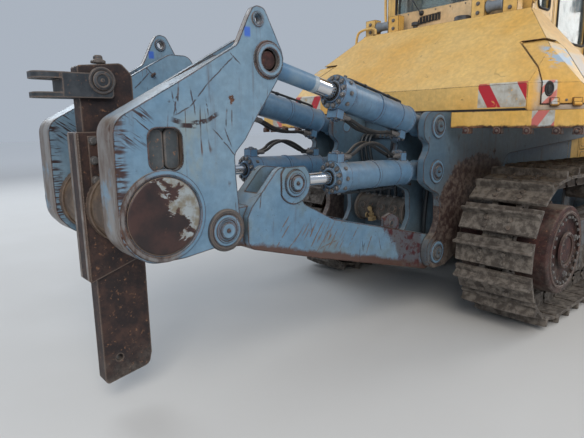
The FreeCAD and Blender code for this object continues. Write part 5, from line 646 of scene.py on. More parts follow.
# Every CAD node gets its finish
nodeFinish = {
    "greyPaint": ["hull_pins", "link_pins"],
    "linkPaint": ["ripper_link"],
    "bracketPaint": ["rear_bracket_left", "rear_bracket_right"],
    "armPaint": ["carrier_arm_left", "carrier_arm_right"],
    "hullPaint": ["hull"],
    "tankPaint": ["fuel_tank"],
    "ledgePaint": ["platform"],
    "hoseRubber": ["hoses_lift", "hoses_tilt"],
    "barrelPaint": ["lift_barrels", "tilt_barrels"],
    "hatchPaint": ["corner_hatch_left", "corner_hatch_right"],
    "bladePaint": ["moldboard"],
    "handrailPaint": ["handrails"],
    "yellowPaint": ["cab_front", "cab_rear",
                    "cab_side_left", "cab_side_right", "cab_door_left", "cab_door_right", "cab_roof", "hood",
                    "hood_side_left", "hood_side_right", "engine_door_left", "engine_door_right", "radiator_guard",
                    "push_arm_left", "push_arm_right", "blade_braces", "blade_barrels"],
    "frameGrey": ["track_frame_left", "track_frame_right"],
    "darkPaint": ["exhaust", "engine", "cab_floor", "console"],
    "tubeBrown": ["cross_tube"],
    "shankSteel": ["shank", "shank_holder"],
    "hitchSteel": ["tow_hitch"],
    "driveRust": ["final_drive_left", "final_drive_right"],
    "trackSteel": ["track_left", "track_right", "rollers_left", "rollers_right"],
    "wornEdge": ["cutting_edge"],
    "liftRod": ["lift_rods"],
    "tiltRod": ["tilt_rods"],
    "bladeRod": ["blade_rods"],
    "glass": ["cab_glass", "door_glass_left", "door_glass_right"],
    "seatVinyl": ["seat"],
    "blackPlastic": ["lamps"],
}
for finish, names in nodeFinish.items():
    for name in names:
        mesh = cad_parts[name].data
        mesh.materials.clear()
        mesh.materials.append(materials[finish])

# Mesh helpers
def addPiece(name, points, faces, finish, body, slot, flat=False, bevel=0.0, recalc=True):
    mesh = bpy.data.meshes.new(name)
    mesh.from_pydata(np.asarray(points, float).tolist(), [], [list(map(int, face)) for face in faces])
    work = bmesh.new()
    work.from_mesh(mesh)
    bmesh.ops.remove_doubles(work, verts=work.verts, dist=1e-5)
    if recalc:
        bmesh.ops.recalc_face_normals(work, faces=work.faces)
    work.to_mesh(mesh)
    work.free()
    mesh.polygons.foreach_set("use_smooth", np.full(len(mesh.polygons), not flat))
    if not flat:
        mesh.set_sharp_from_angle(angle=math.radians(38))
    mesh.materials.append(materials[finish])
    new = bpy.data.objects.new(name, mesh)
    bpy.context.collection.objects.link(new)
    if bevel:
        soft = new.modifiers.new("bevel", "BEVEL")
        soft.width, soft.segments, soft.limit_method, soft.angle_limit = bevel, 2, "ANGLE", math.radians(40)
    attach(new, body)
    return new


def gridFaces(rows, columns, wrapRows=False, wrapColumns=False):
    # quads of a grid of points numbered row by row
    r, c = np.meshgrid(np.arange(rows if wrapRows else rows - 1), np.arange(columns if wrapColumns else columns - 1),
                       indexing="ij")
    nextR, nextC = (r + 1) % rows, (c + 1) % columns
    return np.stack([r * columns + c, r * columns + nextC, nextR * columns + nextC, nextR * columns + c], -1).reshape(-1, 4)


def gather(parts):
    # several (points, faces) put into one list of points and faces
    points, faces, start = [], [], 0
    for p, f in parts:
        points.append(np.asarray(p, float))
        faces += [[int(i) + start for i in face] for face in f]
        start += len(p)
    return np.concatenate(points), faces


def basis(normal):
    # two directions across a normal
    n = np.asarray(normal, float)
    n = n / np.linalg.norm(n)
    side = np.cross(n, (0, 0, 1) if abs(n[2]) < 0.9 else (1, 0, 0))
    side /= np.linalg.norm(side)
    return side, np.cross(n, side), n


def lathe(profile, centre, axis, sides=48, start=0.0):
    # radius r and height h along the axis, turned: centre + r cos(a) side + r sin(a) up + h axis
    side, up, n = basis(axis)
    r, h = np.array(profile, float).T
    a = start + np.linspace(0, 2 * np.pi, sides, endpoint=False)
    ring = np.cos(a)[:, None] * side + np.sin(a)[:, None] * up
    points = np.asarray(centre) + r[:, None, None] * ring[None] + h[:, None, None] * n
    return points.reshape(-1, 3), gridFaces(len(r), sides, False, True)


def frameAlong(path, closed=False):
    # tangents of a path, and a side direction carried along it without twist
    path = np.asarray(path, float)
    tangent = np.roll(path, -1, 0) - np.roll(path, 1, 0)
    if not closed:
        tangent[0], tangent[-1] = path[1] - path[0], path[-1] - path[-2]
    tangent /= np.linalg.norm(tangent, axis=1)[:, None]
    side = [basis(tangent[0])[0]]
    for t in tangent[1:]:
        kept = side[-1] - t * (side[-1] @ t)
        side.append(kept / np.linalg.norm(kept))
    side = np.array(side)
    return side, np.cross(tangent, side)


def sweep(path, radius, sides=10, closed=False, squash=1.0):
    # a round section carried along a path; the radius may change from point to point
    path = np.asarray(path, float)
    side, up = frameAlong(path, closed)
    a = np.linspace(0, 2 * np.pi, sides, endpoint=False)
    r = np.broadcast_to(radius, len(path))[:, None, None]
    ring = np.cos(a)[None, :, None] * side[:, None] + squash * np.sin(a)[None, :, None] * up[:, None]
    points = (path[:, None] + r * ring).reshape(-1, 3)
    faces = gridFaces(len(path), sides, closed, True).tolist()
    if not closed:
        faces += [list(range(sides)), list(range(len(points) - sides, len(points)))]
    return points, faces


def boxes(lows, highs):
    # plain boxes between corners, to be bevelled
    corners = np.array([[i, j, k] for i in (0, 1) for j in (0, 1) for k in (0, 1)])
    quads = np.array([[0, 1, 3, 2], [4, 6, 7, 5], [0, 4, 5, 1], [2, 3, 7, 6], [0, 2, 6, 4], [1, 5, 7, 3]])
    lows, highs = np.atleast_2d(lows), np.atleast_2d(highs)
    points = (lows[:, None] * (1 - corners) + highs[:, None] * corners).reshape(-1, 3)
    faces = (quads[None] + 8 * np.arange(len(lows))[:, None, None]).reshape(-1, 4)
    return points, faces


def prism(outline, low, high, plane="XZ"):
    # an outline (millimetres) carried across its plane from low to high
    count = len(outline)
    u, v = np.array(outline, float).T
    ends = []
    for w in (low, high):
        w = np.full(count, float(w))
        xyz = {"XZ": (u, w, v), "XY": (u, v, w), "YZ": (w, u, v)}[plane]
        ends.append(np.stack([xyz[0] / 1000 - axleX, xyz[1] / 1000, xyz[2] / 1000], -1))
    faces = gridFaces(2, count, False, True).tolist() + [list(range(count)), list(range(count, 2 * count))]
    return np.concatenate(ends), faces


def boltShape():
    # a washer and a six-sided head with a turned edge, one unit across
    turns = [lathe([(0.0, 0), (0.72, 0), (0.72, 0.10), (0, 0.10)], (0, 0, 0), (0, 0, 1), 12),
             lathe([(0.58, 0.08), (0.58, 0.50), (0.50, 0.58), (0, 0.60)], (0, 0, 0), (0, 0, 1), 6)]
    return gather(turns)


boltPoints, boltFaces = boltShape()


def bolts(spots, normals, size):
    # the bolt shape set at many spots, its axis along each normal and turned a little each time
    spots, out = np.atleast_2d(spots), []
    normals = np.broadcast_to(np.asarray(normals, float), spots.shape)
    for spot, normal in zip(spots, normals):
        side, up, n = basis(normal)
        a = rng.uniform(0, math.pi / 3)
        side, up = math.cos(a) * side + math.sin(a) * up, math.cos(a) * up - math.sin(a) * side
        out.append((spot + size * (boltPoints[:, :1] * side + boltPoints[:, 1:2] * up + boltPoints[:, 2:] * n), boltFaces))
    return gather(out)


def circleSpots(centre, axis, radius, count, start=0.0):
    side, up, _ = basis(axis)
    a = start + np.linspace(0, 2 * np.pi, count, endpoint=False)
    return np.asarray(centre) + radius * (np.cos(a)[:, None] * side + np.sin(a)[:, None] * up)


def circlePath(centre, axis, radius, count=64):
    return circleSpots(centre, axis, radius, count)


def resample(path, step, closed=False):
    # points at equal spacing along straight runs
    path = np.asarray(path, float)
    if closed:
        path = np.concatenate([path, path[:1]])
    lengths = np.concatenate([[0], np.cumsum(np.linalg.norm(np.diff(path, axis=0), axis=1))])
    count = max(2, int(lengths[-1] / step))
    where = np.linspace(0, lengths[-1], count, endpoint=not closed)
    return np.stack([np.interp(where, lengths, path[:, i]) for i in range(3)], -1)


def weld(path, radius=0.008, closed=False):
    # a bead whose thickness ripples: radius (1 + 0.16 sin(2 pi s / 1.6 radius))
    line = resample(path, radius * 0.55, closed)
    s = np.arange(len(line)) * radius * 0.55
    return sweep(line, radius * (1 + 0.16 * np.sin(2 * np.pi * s / (1.6 * radius * 1.7)) + 0.05 * rng.normal(size=len(line))),
                 7, closed)


def waves(points, scale, seed, octaves=4):
    # smooth noise: sines in random directions, each octave finer and weaker
    local = np.random.default_rng(seed)
    total = np.zeros(points.shape[:-1])
    for i in range(octaves):
        for _ in range(5):
            direction = local.normal(size=points.shape[-1])
            direction *= scale * 2**i / np.linalg.norm(direction)
            total += np.sin(points @ direction * 2 * np.pi + local.uniform(0, 6.28)) / (5 * 1.8**i)
    return total


def roundedBox(x0, x1, z0, z1, radius, steps=6):
    # a rounded rectangle as pairs in millimetres
    out = []
    for cx, cz, first in ((x1 - radius, z1 - radius, 0), (x0 + radius, z1 - radius, 1), (x0 + radius, z0 + radius, 2),
                          (x1 - radius, z0 + radius, 3)):
        for t in np.linspace(0, np.pi / 2, steps):
            out.append((cx + radius * math.cos(t + first * np.pi / 2), cz + radius * math.sin(t + first * np.pi / 2)))
    return out


def sided(parts):
    # the same parts on the left and, mirrored, on the right
    out = []
    for points, faces in parts:
        points = np.asarray(points, float)
        out += [(points, faces), (points * (1, -1, 1), [list(face)[::-1] for face in faces])]
    return gather(out)


def blocks(*pairs):
    # boxes between corners given in millimetres
    return boxes([at(*low) for low, high in pairs], [at(*high) for low, high in pairs])


def loopPath(u0, u1, v0, v1, radius, plane, level):
    # a rounded rectangle as a closed path in one plane
    place = {"XZ": lambda u, v: at(u, level, v), "YZ": lambda u, v: at(level, u, v), "XY": lambda u, v: at(u, v, level)}
    return np.array([place[plane](u, v) for u, v in roundedBox(u0, u1, v0, v1, radius, 5)])


def pipe(corners, radius, sides=10, rounds=3):
    # a rigid pipe through corners given in millimetres, its corners cut until they are round
    path = np.array([at(*corner) for corner in corners])
    for _ in range(rounds):
        a, b = path[:-1], path[1:]
        path = np.concatenate([path[:1], np.stack([a * 0.75 + b * 0.25, a * 0.25 + b * 0.75], 1).reshape(-1, 3), path[-1:]])
    return sweep(path, radius / 1000, sides)


def disc(profile, x, y, z, axis, sides=40, stretch=1.0):
    # a turned form at a spot in millimetres, taller or shorter than round by stretch
    points, faces = lathe(profile, at(x, y, z), axis, sides)
    points[:, 2] = z / 1000 + (points[:, 2] - z / 1000) * stretch
    return points, faces


def boltsAt(spots, normal, size):
    return bolts([at(*spot) for spot in spots], normal, size)
# Tracks: every shoe with its worn grouser, caked clay, bolts, links, pins and bushes
track = {"shoes": 44, "gauge": 2186, "width": 610, "wheelBase": 3550, "rear": 495, "front": 455, "seat": 75,
         "plate": 22, "grouser": 73, "tip": 11, "gap": 12, "rail": 45, "railGap": 70, "railWidth": 50}


def beltPins(s):
    # chain pins at equal spacing along the pitch line: bottom run, round the idler, top run, round the sprocket
    reach = s["seat"] + s["plate"] + s["grouser"]
    rear, front = np.array([0, s["rear"] + reach]), np.array([s["wheelBase"], s["front"] + reach])
    span = np.linalg.norm(front - rear)
    lean = math.asin((s["rear"] - s["front"]) / span)
    top = math.atan2(front[1] - rear[1], front[0] - rear[0]) + math.pi / 2 - lean
    run = math.sqrt(span**2 - (s["rear"] - s["front"]) ** 2)
    frontTurn, rearTurn = top + math.pi / 2, 1.5 * math.pi - top
    total = 2 * run + s["front"] * frontTurn + s["rear"] * rearTurn
    t = np.arange(s["shoes"]) * total / s["shoes"]
    bounds = np.cumsum([run, s["front"] * frontTurn, run])
    a1 = (t - bounds[0]) / s["front"] - math.pi / 2
    a3 = top + (t - bounds[2]) / s["rear"]
    turn = lambda a: np.stack([np.cos(a), np.sin(a)], -1)
    down = front + s["front"] * turn(np.array(top))
    back = np.array([-math.sin(top), math.cos(top)])
    return np.select([(t < bounds[0])[:, None], (t < bounds[1])[:, None], (t < bounds[2])[:, None]],
                     [np.stack([t, np.full_like(t, reach)], -1), front + s["front"] * turn(a1),
                      down + (t - bounds[1])[:, None] * back], rear + s["rear"] * turn(a3)), total / s["shoes"]


def beltAxes(s):
    pins, pitch = beltPins(s)
    after = np.roll(pins, -1, 0)
    along = (after - pins) / np.linalg.norm(after - pins, axis=1)[:, None]
    out = np.stack([along[:, 1], -along[:, 0]], -1)
    return pins, (pins + after) / 2, along, out, pitch


def placed(local, middle, along, out, line):
    # local (u along, v outward, w across) of each shoe to the frame, in metres
    flat = middle[:, None] + local[..., :1] * along[:, None] + local[..., 1:2] * out[:, None]
    y = np.broadcast_to(line + local[..., 2], flat.shape[:2])
    return np.stack([flat[..., 0] / 1000 - axleX, y / 1000, flat[..., 1] / 1000], -1)


def shoeGrid(s, pitch, seed):
    # section round the shoe at stations across it; clay lies thick beside the grouser and thins to the edges
    half, outer, tip = (pitch - s["gap"]) / 2, s["seat"] + s["plate"], s["seat"] + s["plate"] + s["grouser"]
    g, root, peak = -pitch / 5, 2.1 * s["tip"], 0.95 * s["tip"]
    front = np.linspace(g + root, half, 9)
    back = np.linspace(-half, g - root, 5)
    section = [(-half - 3, s["seat"] - 8)] + [(u, outer) for u in back]
    section += [(g - 1.35 * s["tip"], outer + 0.35 * s["grouser"]), (g - peak, tip - 6), (g - 0.5 * peak, tip),
                (g + 0.5 * peak, tip), (g + peak, tip - 6), (g + 1.35 * s["tip"], outer + 0.35 * s["grouser"])]
    section += [(u, outer) for u in front] + [(half + 4, outer - 9), (half + 2, s["seat"] - 2), (0, s["seat"])]
    section = np.array(section)
    w = np.linspace(-0.5, 0.5, 27) * s["width"]
    count = s["shoes"]
    local = np.zeros((count, len(w), len(section), 3))
    local[..., 0], local[..., 1] = section[:, 0], section[:, 1]
    local[..., 2] = w[None, :, None]
    field = np.concatenate([local / 1000, np.broadcast_to(np.arange(count)[:, None, None, None] * 0.73,
                                                          local.shape[:3] + (1,))], -1)
    grouser = np.clip((section[:, 1] - outer - 5) / (tip - outer), 0, 1)
    plate = (np.abs(section[:, 1] - outer) < 1) * 1.0
    near = np.exp(-np.abs(section[:, 0] - g) / 45)
    edge = 1 - np.abs(w / (s["width"] / 2)) ** 6
    clay = np.clip(waves(field, 3.5, seed) + 0.25 + 0.6 * near, 0, 2) * plate * edge[:, None] * 9
    worn = (waves(field[..., [2, 3]], 3.0, seed + 1) * 5 - 5 - 10 * np.abs(w / (s["width"] / 2))[None, :, None] ** 8) * grouser
    lean = waves(field[..., [2, 3]], 1.5, seed + 2, 2) * 5 * grouser
    local[..., 1] += clay + worn + waves(field, 14, seed + 3, 2) * 0.9
    local[..., 0] += lean + waves(field, 11, seed + 4, 2) * 1.2
    return local


def trackSide(s, line, seed):
    pins, middle, along, out, pitch = beltAxes(s)
    local = shoeGrid(s, pitch, seed)
    count, stations, sides = local.shape[:3]
    points = placed(local.reshape(count, -1, 3), middle, along, out, line)
    faces = gridFaces(stations, sides, False, True).tolist()
    faces += [list(range(sides)), list(range((stations - 1) * sides, stations * sides))]
    shoes = gather([(p, faces) for p in points])
    # links: a waisted bar on each side of the chain, overlapping its neighbour at the pin
    a = np.linspace(0, np.pi, 9)
    eye, half = s["seat"] - 14, pitch / 2
    ends = [(half + eye * 0.62 * math.cos(t - math.pi / 2), -2 + eye * 0.62 * math.sin(t - math.pi / 2)) for t in a]
    outline = [(-half - 0.5 * eye, -s["rail"] + 1), (half + 0.2 * eye, -s["rail"] + 1)] + ends[2:]
    outline += [(half * 0.7, s["seat"] - 1), (-half * 0.8, s["seat"] - 1), (-half - 0.62 * eye, 10), (-half - 0.62 * eye, -16)]
    outline = np.array(outline)
    links = []
    for sideSign in (-1, 1):
        for low, high in ((s["railGap"] + 2, s["railGap"] + s["railWidth"] - 2),):
            ring = np.zeros((1, 2 * len(outline), 3))
            ring[0, :, :2] = np.tile(outline, (2, 1))
            ring[0, :len(outline), 2], ring[0, len(outline):, 2] = sideSign * low, sideSign * high
            at44 = placed(np.repeat(ring, count, 0), middle, along, out, line)
            n = len(outline)
            cap = [list(range(n)), list(range(n, 2 * n))]
            links += [(p, gridFaces(2, n, False, True).tolist() + cap) for p in at44]
    bushes = []
    for pin in pins:
        spot = np.array([pin[0] / 1000 - axleX, line / 1000, pin[1] / 1000])
        bushes.append(lathe([(0, -0.071), (0.034, -0.071), (0.034, 0.071), (0, 0.071)], spot, (0, 1, 0), 14))
        for end in (-1, 1):
            bushes.append(lathe([(0, 0.118), (0.024, 0.118), (0.024, 0.126), (0.017, 0.130), (0, 0.128)], spot, (0, end, 0), 12))
    spots, normals = [], []
    for u, w in ((pitch * 0.02, -95), (pitch * 0.02, 95), (pitch * 0.30, -95), (pitch * 0.30, 95)):
        here = np.array([[[u, s["seat"] + s["plate"] - 2, w]]])
        spots.append(placed(np.repeat(here, count, 0), middle, along, out, line)[:, 0])
        normals.append(np.stack([out[:, 0], np.zeros(count), out[:, 1]], -1))
    heads = bolts(np.concatenate(spots), np.concatenate(normals), 0.036)
    return shoes, gather(links + bushes), heads


for sideName, sideSign, seed in (("left", 1, 5), ("right", -1, 6)):
    shoes, chain, heads = trackSide(track, sideSign * track["gauge"] / 2, seed)
    shoePiece = addPiece("trackShoes_" + sideName, *shoes, "trackClay", "machine", "track_steel")
    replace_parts(shoePiece, "track_" + sideName)
    addPiece("trackChain_" + sideName, *chain, "trackSteel", "machine", "track_steel")
    addPiece("trackBolts_" + sideName, *heads, "trackSteel", "machine", "track_steel")
print("tracks made")

# Hoses on the cylinders: route points are the distance from the base pin, the offset and the height over the axis
hose = {"line": 485, "radius": 0.013, "liftBase": (-705, 1301), "liftEye": (-2174, 1334), "tiltBase": (-705, 1658),
        "tiltEye": (-2360, 2043), "liftLength": 0.690, "tiltLength": 0.658,
        "lift": [(959.6, 24, 138), (860, 24, 138), (770, 34, 215), (640, 44, 238), (500, 42, 185), (395, 22, 128),
                 (310.4, 22, 128)],
        "tilt": [(959.6, 24, 142), (860, 24, 142), (740, 36, 178), (560, 44, 174), (410, 22, 132), (310.4, 22, 132)]}


def cylinderFrame(base, eye, line, outward):
    # base point, direction along the barrel, and the direction that its ports face
    start, end = at(base[0], line, base[1]), at(eye[0], line, eye[1])
    along = (end - start) / np.linalg.norm(end - start)
    return start, along, outward * np.array([along[2], 0, -along[0]])


def hoseCord(name, points, body):
    curve = bpy.data.curves.new(name, "CURVE")
    curve.dimensions = "3D"
    spline = curve.splines.new("NURBS")
    spline.points.add(len(points) - 1)
    for point, spot in zip(spline.points, points):
        point.co = (*spot, 1)
    spline.order_u = 3
    spline.use_endpoint_u = True
    spline.resolution_u = 10
    curve.bevel_depth, curve.bevel_resolution, curve.use_fill_caps = hose["radius"], 3, True
    curve.materials.append(materials["hoseRubber"])
    new = bpy.data.objects.new(name, curve)
    bpy.context.collection.objects.link(new)
    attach(new, body)
    return new


def hoseFitting(spot, direction):
    # a crimped ferrule, a hexagon nut and a collar where a hose meets its port block
    rings = [(0.0, -0.001), (0.021, -0.001), (0.021, 0.006), (0.0185, 0.009), (0.0185, 0.026), (0.0165, 0.029)]
    for i in range(4):
        rings += [(0.0182, 0.033 + 0.011 * i), (0.0182, 0.039 + 0.011 * i), (0.0168, 0.041 + 0.011 * i)]
    rings += [(0.0165, 0.082), (0.0135, 0.084)]
    return gather([lathe(rings, spot, direction, 20),
                   lathe([(0, 0.010), (0.0235, 0.010), (0.0245, 0.0115), (0.0245, 0.0225), (0.0235, 0.024), (0, 0.024)], spot,
                         direction, 6)])


for kind, outward in (("lift", 1), ("tilt", -1)):
    fittings = []
    for sideName, sideSign in (("left", 1), ("right", -1)):
        start, along, up = cylinderFrame(hose[kind + "Base"], hose[kind + "Eye"], sideSign * hose["line"], outward)
        for lane, laneSign in (("outer", 1), ("inner", -1)):
            points = np.array([start + (along * reach + up * height) / 1000 + np.array([0, laneSign * offset / 1000, 0])
                               for reach, offset, height in hose[kind]])
            cord = hoseCord(f"hose_{kind}_{lane}_{sideName}", points, kind + "_barrels")
            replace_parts(cord, "hoses_" + kind)
            fittings += [hoseFitting(points[0], points[1] - points[0]), hoseFitting(points[-1], points[-2] - points[-1])]
    addPiece("hoseFittings_" + kind, *gather(fittings), "boltSteel", kind + "_barrels", "rusty_steel")
print("hoses laid")
# Ripper: weld beads, worn rims, pin ends, glands and port bolts
ripper = {"armOuter": 587, "armInner": 384, "tube": (-3047, 1243), "tubeRadius": 198, "tiltEye": (-2360, 2043),
          "liftEye": (-2174, 1334), "linkEnd": (-2685, 1118), "linkBase": (-654, 626), "liftingEye": (-2430, 2252),
          "hullPins": [(-705, 1658), (-705, 1301), (-654, 626)], "wing": 653,
          "window": (-3112, -2930, 1470, 1680), "holderHalf": 71, "hitchPin": (-3110, 1932)}


def pinEnd(x, y, z, radius, height, groove=12, nipple=True):
    # a turned pin end that stands in a dark groove, with a chamfer, a centre and a grease nipple
    r, h, g = radius / 1000, height / 1000, groove / 1000
    ring = lathe([(0, -0.001), (r + g + 0.012, -0.001), (r + g + 0.012, h * 0.35), (r + g + 0.006, h * 0.5),
                  (r + g + 0.002, h * 0.45), (r + g, 0.002), (r, 0.002), (r, h * 0.8), (r - h * 0.2, h),
                  (0.018, h), (0.012, h - 0.004), (0, h - 0.004)], at(x, y, z), (0, 1, 0), 56)
    if not nipple:
        return [ring]
    tip = lathe([(0, -0.002), (0.009, -0.002), (0.009, 0.004), (0.006, 0.006), (0.005, 0.012), (0.007, 0.015),
                 (0.004, 0.019), (0, 0.020)], at(x, y + height - 4, z), (0, 1, 0), 12)
    return [ring, tip]


def makeRipper(s):
    tx, tz = s["tube"]
    # hull pins, link pins and lift pins
    ends = []
    for x, z in s["hullPins"]:
        ends += pinEnd(x, s["wing"] + 12, z, 48, 15)
    addPiece("pinEnds_hull", *sided(ends), "hullPaint", "machine", "grey_paint")
    addPiece("pinEnds_lift", *sided(pinEnd(s["liftEye"][0], 607, s["liftEye"][1], 44, 16, 8)), "greyPaint", "ripper_link",
             "grey_paint")
    linkX, linkZ = s["linkEnd"]
    addPiece("pinEnds_link", *sided(pinEnd(linkX, 599, linkZ, 46, 15, 14)), "greyPaint", "link_pins", "grey_paint")
    # the dark seal ring round each link pin, and the tilt pin's rusted end in its recess
    seal = lathe([(0.091, -0.002), (0.091, 0.010), (0.100, 0.016), (0.112, 0.014), (0.120, 0.002), (0.120, -0.002)],
                 at(linkX, s["armOuter"], linkZ), (0, 1, 0), 64)
    addPiece("pinSeals", *sided([seal]), "hitchSteel", "ripper_carrier", "dark_paint")
    x, z = s["tiltEye"]
    rusted = lathe([(0, 0.006), (0.012, 0.006), (0.018, 0.009), (0.046, 0.009), (0.050, 0.006), (0.052, 0.0), (0.0615, 0.0)],
                   at(x, 575, z), (0, 1, 0), 56)
    addPiece("tiltPins", *sided([rusted]), "driveRust", "ripper_carrier", "rusty_steel")
    rim = lathe([(0.0625, 0.0), (0.0625, 0.016), (0.066, 0.019), (0.088, 0.019), (0.094, 0.014), (0.0965, -0.002)],
                at(x, s["armOuter"], z), (0, 1, 0), 64)
    ring = weld(circleSpots(at(x, s["armOuter"] + 1, z), (0, 1, 0), 0.100, 96), 0.006, True)
    # rims of the two lifting eyes on each arm, and the collar round the cross tube's end
    ex, ez = s["liftingEye"]
    eye = [lathe([(0.0245, -0.002), (0.0245, 0.006), (0.030, 0.010), (0.040, 0.008), (0.044, -0.001)], at(ex, face, ez),
                 (0, way, 0), 40) for face, way in ((587, 1), (547, -1))]
    addPiece("eyeRims", *sided([rim, ring] + eye), "armPaint", "ripper_carrier", "grey_paint")
    r = s["tubeRadius"] / 1000
    disc = lathe([(0, 0.0015), (0.10, 0.002), (r - 0.016, 0.0045), (r - 0.008, 0.0035), (r - 0.003, 0.0), (r - 0.001, -0.004)],
                 at(tx, 591, tz), (0, 1, 0), 96)
    addPiece("tubeEnds", *sided([disc]), "tubeEnd", "ripper_carrier", "rusty_steel")
    collar = lathe([(r + 0.006, -0.002), (r + 0.006, 0.004), (r + 0.011, 0.0085), (r + 0.026, 0.0095), (r + 0.034, 0.006),
                    (r + 0.038, -0.002)], at(tx, s["armOuter"], tz), (0, 1, 0), 120)
    addPiece("tubeCollars", *sided([collar]), "collarSteel", "ripper_carrier", "worn_edge")
    beads = [weld(circleSpots(at(tx, y, tz), (0, 1, 0), r + 0.003, 120), 0.010, True)
             for y in (s["armInner"] - 1, s["holderHalf"] + 1)]
    addPiece("tubeWelds", *sided(beads), "rustySteel", "ripper_carrier", "rusty_steel")
    # bands on the tube where the shank holder was turned and rubbed
    bands = [lathe([(r - 0.002, -w), (r + 0.009, -w), (r + 0.012, -w + 0.004), (r + 0.012, w - 0.004), (r + 0.009, w),
                    (r - 0.002, w)], at(tx, y, tz), (0, 1, 0), 96) for y, w in ((104, 0.020), (352, 0.018))]
    addPiece("tubeBands", *sided(bands), "tubeBrown", "ripper_carrier", "rusty_steel")
    # window: two rounded panels deep in each arm
    x0, x1, z0, z1 = s["window"]
    panels = []
    for low, high in ((x0 + 3, x0 + 92), (x0 + 96, x1 - 3)):
        a = np.linspace(0, np.pi / 2, 6)
        c = 30
        outline = []
        for cx, cz, first in ((high - c, z1 - c - 3, 0), (low + c, z1 - c - 3, 1), (low + c, z0 + c + 3, 2), (high - c, z0 + c + 3, 3)):
            outline += [(cx + c * math.cos(t + first * np.pi / 2), cz + c * math.sin(t + first * np.pi / 2)) for t in a]
        panels.append(prism(outline, 536, 562))
    addPiece("windowPanels", *sided(panels), "windowPanel", "ripper_carrier", "dark_paint", bevel=0.006)
    lip = weld(resample([at(x, 588, z) for x, z in roundedBox(x0 - 1, x1 + 1, z0 - 1, z1 + 1, 50)], 0.02, True), 0.0035, True)
    fitting = [lathe([(0, 0), (0.013, 0), (0.013, 0.022), (0.009, 0.026), (0.009, 0.044), (0, 0.044)], at(-2585, 384, 2020),
                     (0, -1, 0.3), 6)]
    addPiece("windowLips", *sided([lip] + fitting), "armPaint", "ripper_carrier", "grey_paint")
    # holder: welded seams, wear strips on its rear corners and bolts through its cheeks
    strips = [prism([(-3273, 830), (-3262, 830), (-3262, 1655), (-3273, 1655)], y0, y1) for y0, y1 in ((38, 70),)]
    addPiece("holderStrips", *sided(strips), "bareStrip", "ripper_carrier", "worn_edge", bevel=0.003)
    seams = [weld([at(-3262, 71, 830), at(-3262, 71, 1652)], 0.006), weld([at(-2896, 71, 960), at(-2896, 71, 1652)], 0.006)]
    plate = prism([(-3215, 1375), (-2945, 1375), (-2945, 1640), (-3215, 1640)], 70.5, 81)
    addPiece("holderPads", *sided([plate] + seams), "shankSteel", "ripper_carrier", "rusty_steel", bevel=0.003)
    spots = [at(x, 81, z) for x in (-3190, -2970) for z in (1400, 1508, 1615)]
    addPiece("holderBolts", *sided([bolts(spots, (0, 1, 0), 0.034)]), "boltSteel", "ripper_carrier", "rusty_steel")
    # hitch: pin head, retainer and the bolt on top of the shank
    px, pz = s["hitchPin"]
    head = lathe([(0, 0.0), (0.052, 0.0), (0.052, 0.008), (0.046, 0.012), (0.034, 0.012), (0.030, 0.006), (0.012, 0.006),
                  (0.010, 0.010), (0, 0.010)], at(px, 86, pz), (0, 1, 0), 40)
    ringOut = lathe([(0.055, -0.002), (0.055, 0.004), (0.060, 0.007), (0.068, 0.007), (0.073, 0.002), (0.073, -0.002)],
                    at(px, 84, pz), (0, 1, 0), 48)
    addPiece("hitchPins", *sided([head, ringOut]), "hitchSteel", "ripper_carrier", "dark_paint")
    crown = lathe([(0, -0.002), (0.040, -0.002), (0.040, 0.010), (0.030, 0.016), (0.026, 0.016), (0.024, 0.034), (0.018, 0.040),
                   (0, 0.042)], at(-3092, 0, 2034), (0, 0, 1), 24)
    addPiece("shankCrown", *crown, "hitchSteel", "ripper_carrier", "dark_paint")
    # link: seams where the cross box and the tongues meet the beams
    seams = [weld([at(-2424, 364, z), at(-1850, 364, z - 121)], 0.008) for z in (1143,)]
    addPiece("linkSeams", *sided(seams), "linkPaint", "ripper_link", "grey_paint")
    # worn eyes in the two lugs that stand on the beams
    eyes = [lathe([(0, 0.001), (0.013, 0.001), (0.017, 0.004), (0.024, 0.005), (0.028, -0.001)], at(-1144, y, 928), (0, way, 0), 32)
            for y, way in ((555, 1), (525, -1))]
    addPiece("lugEyes", *sided(eyes), "hitchSteel", "ripper_link", "dark_paint")


makeRipper(ripper)

# Cylinders: gland bolts, wipers, weld rings, port flanges and clamps on the barrels
cylinders = {"lift": {"barrel": 100, "rod": 43, "port": 1}, "tilt": {"barrel": 104, "rod": 54, "port": -1}}


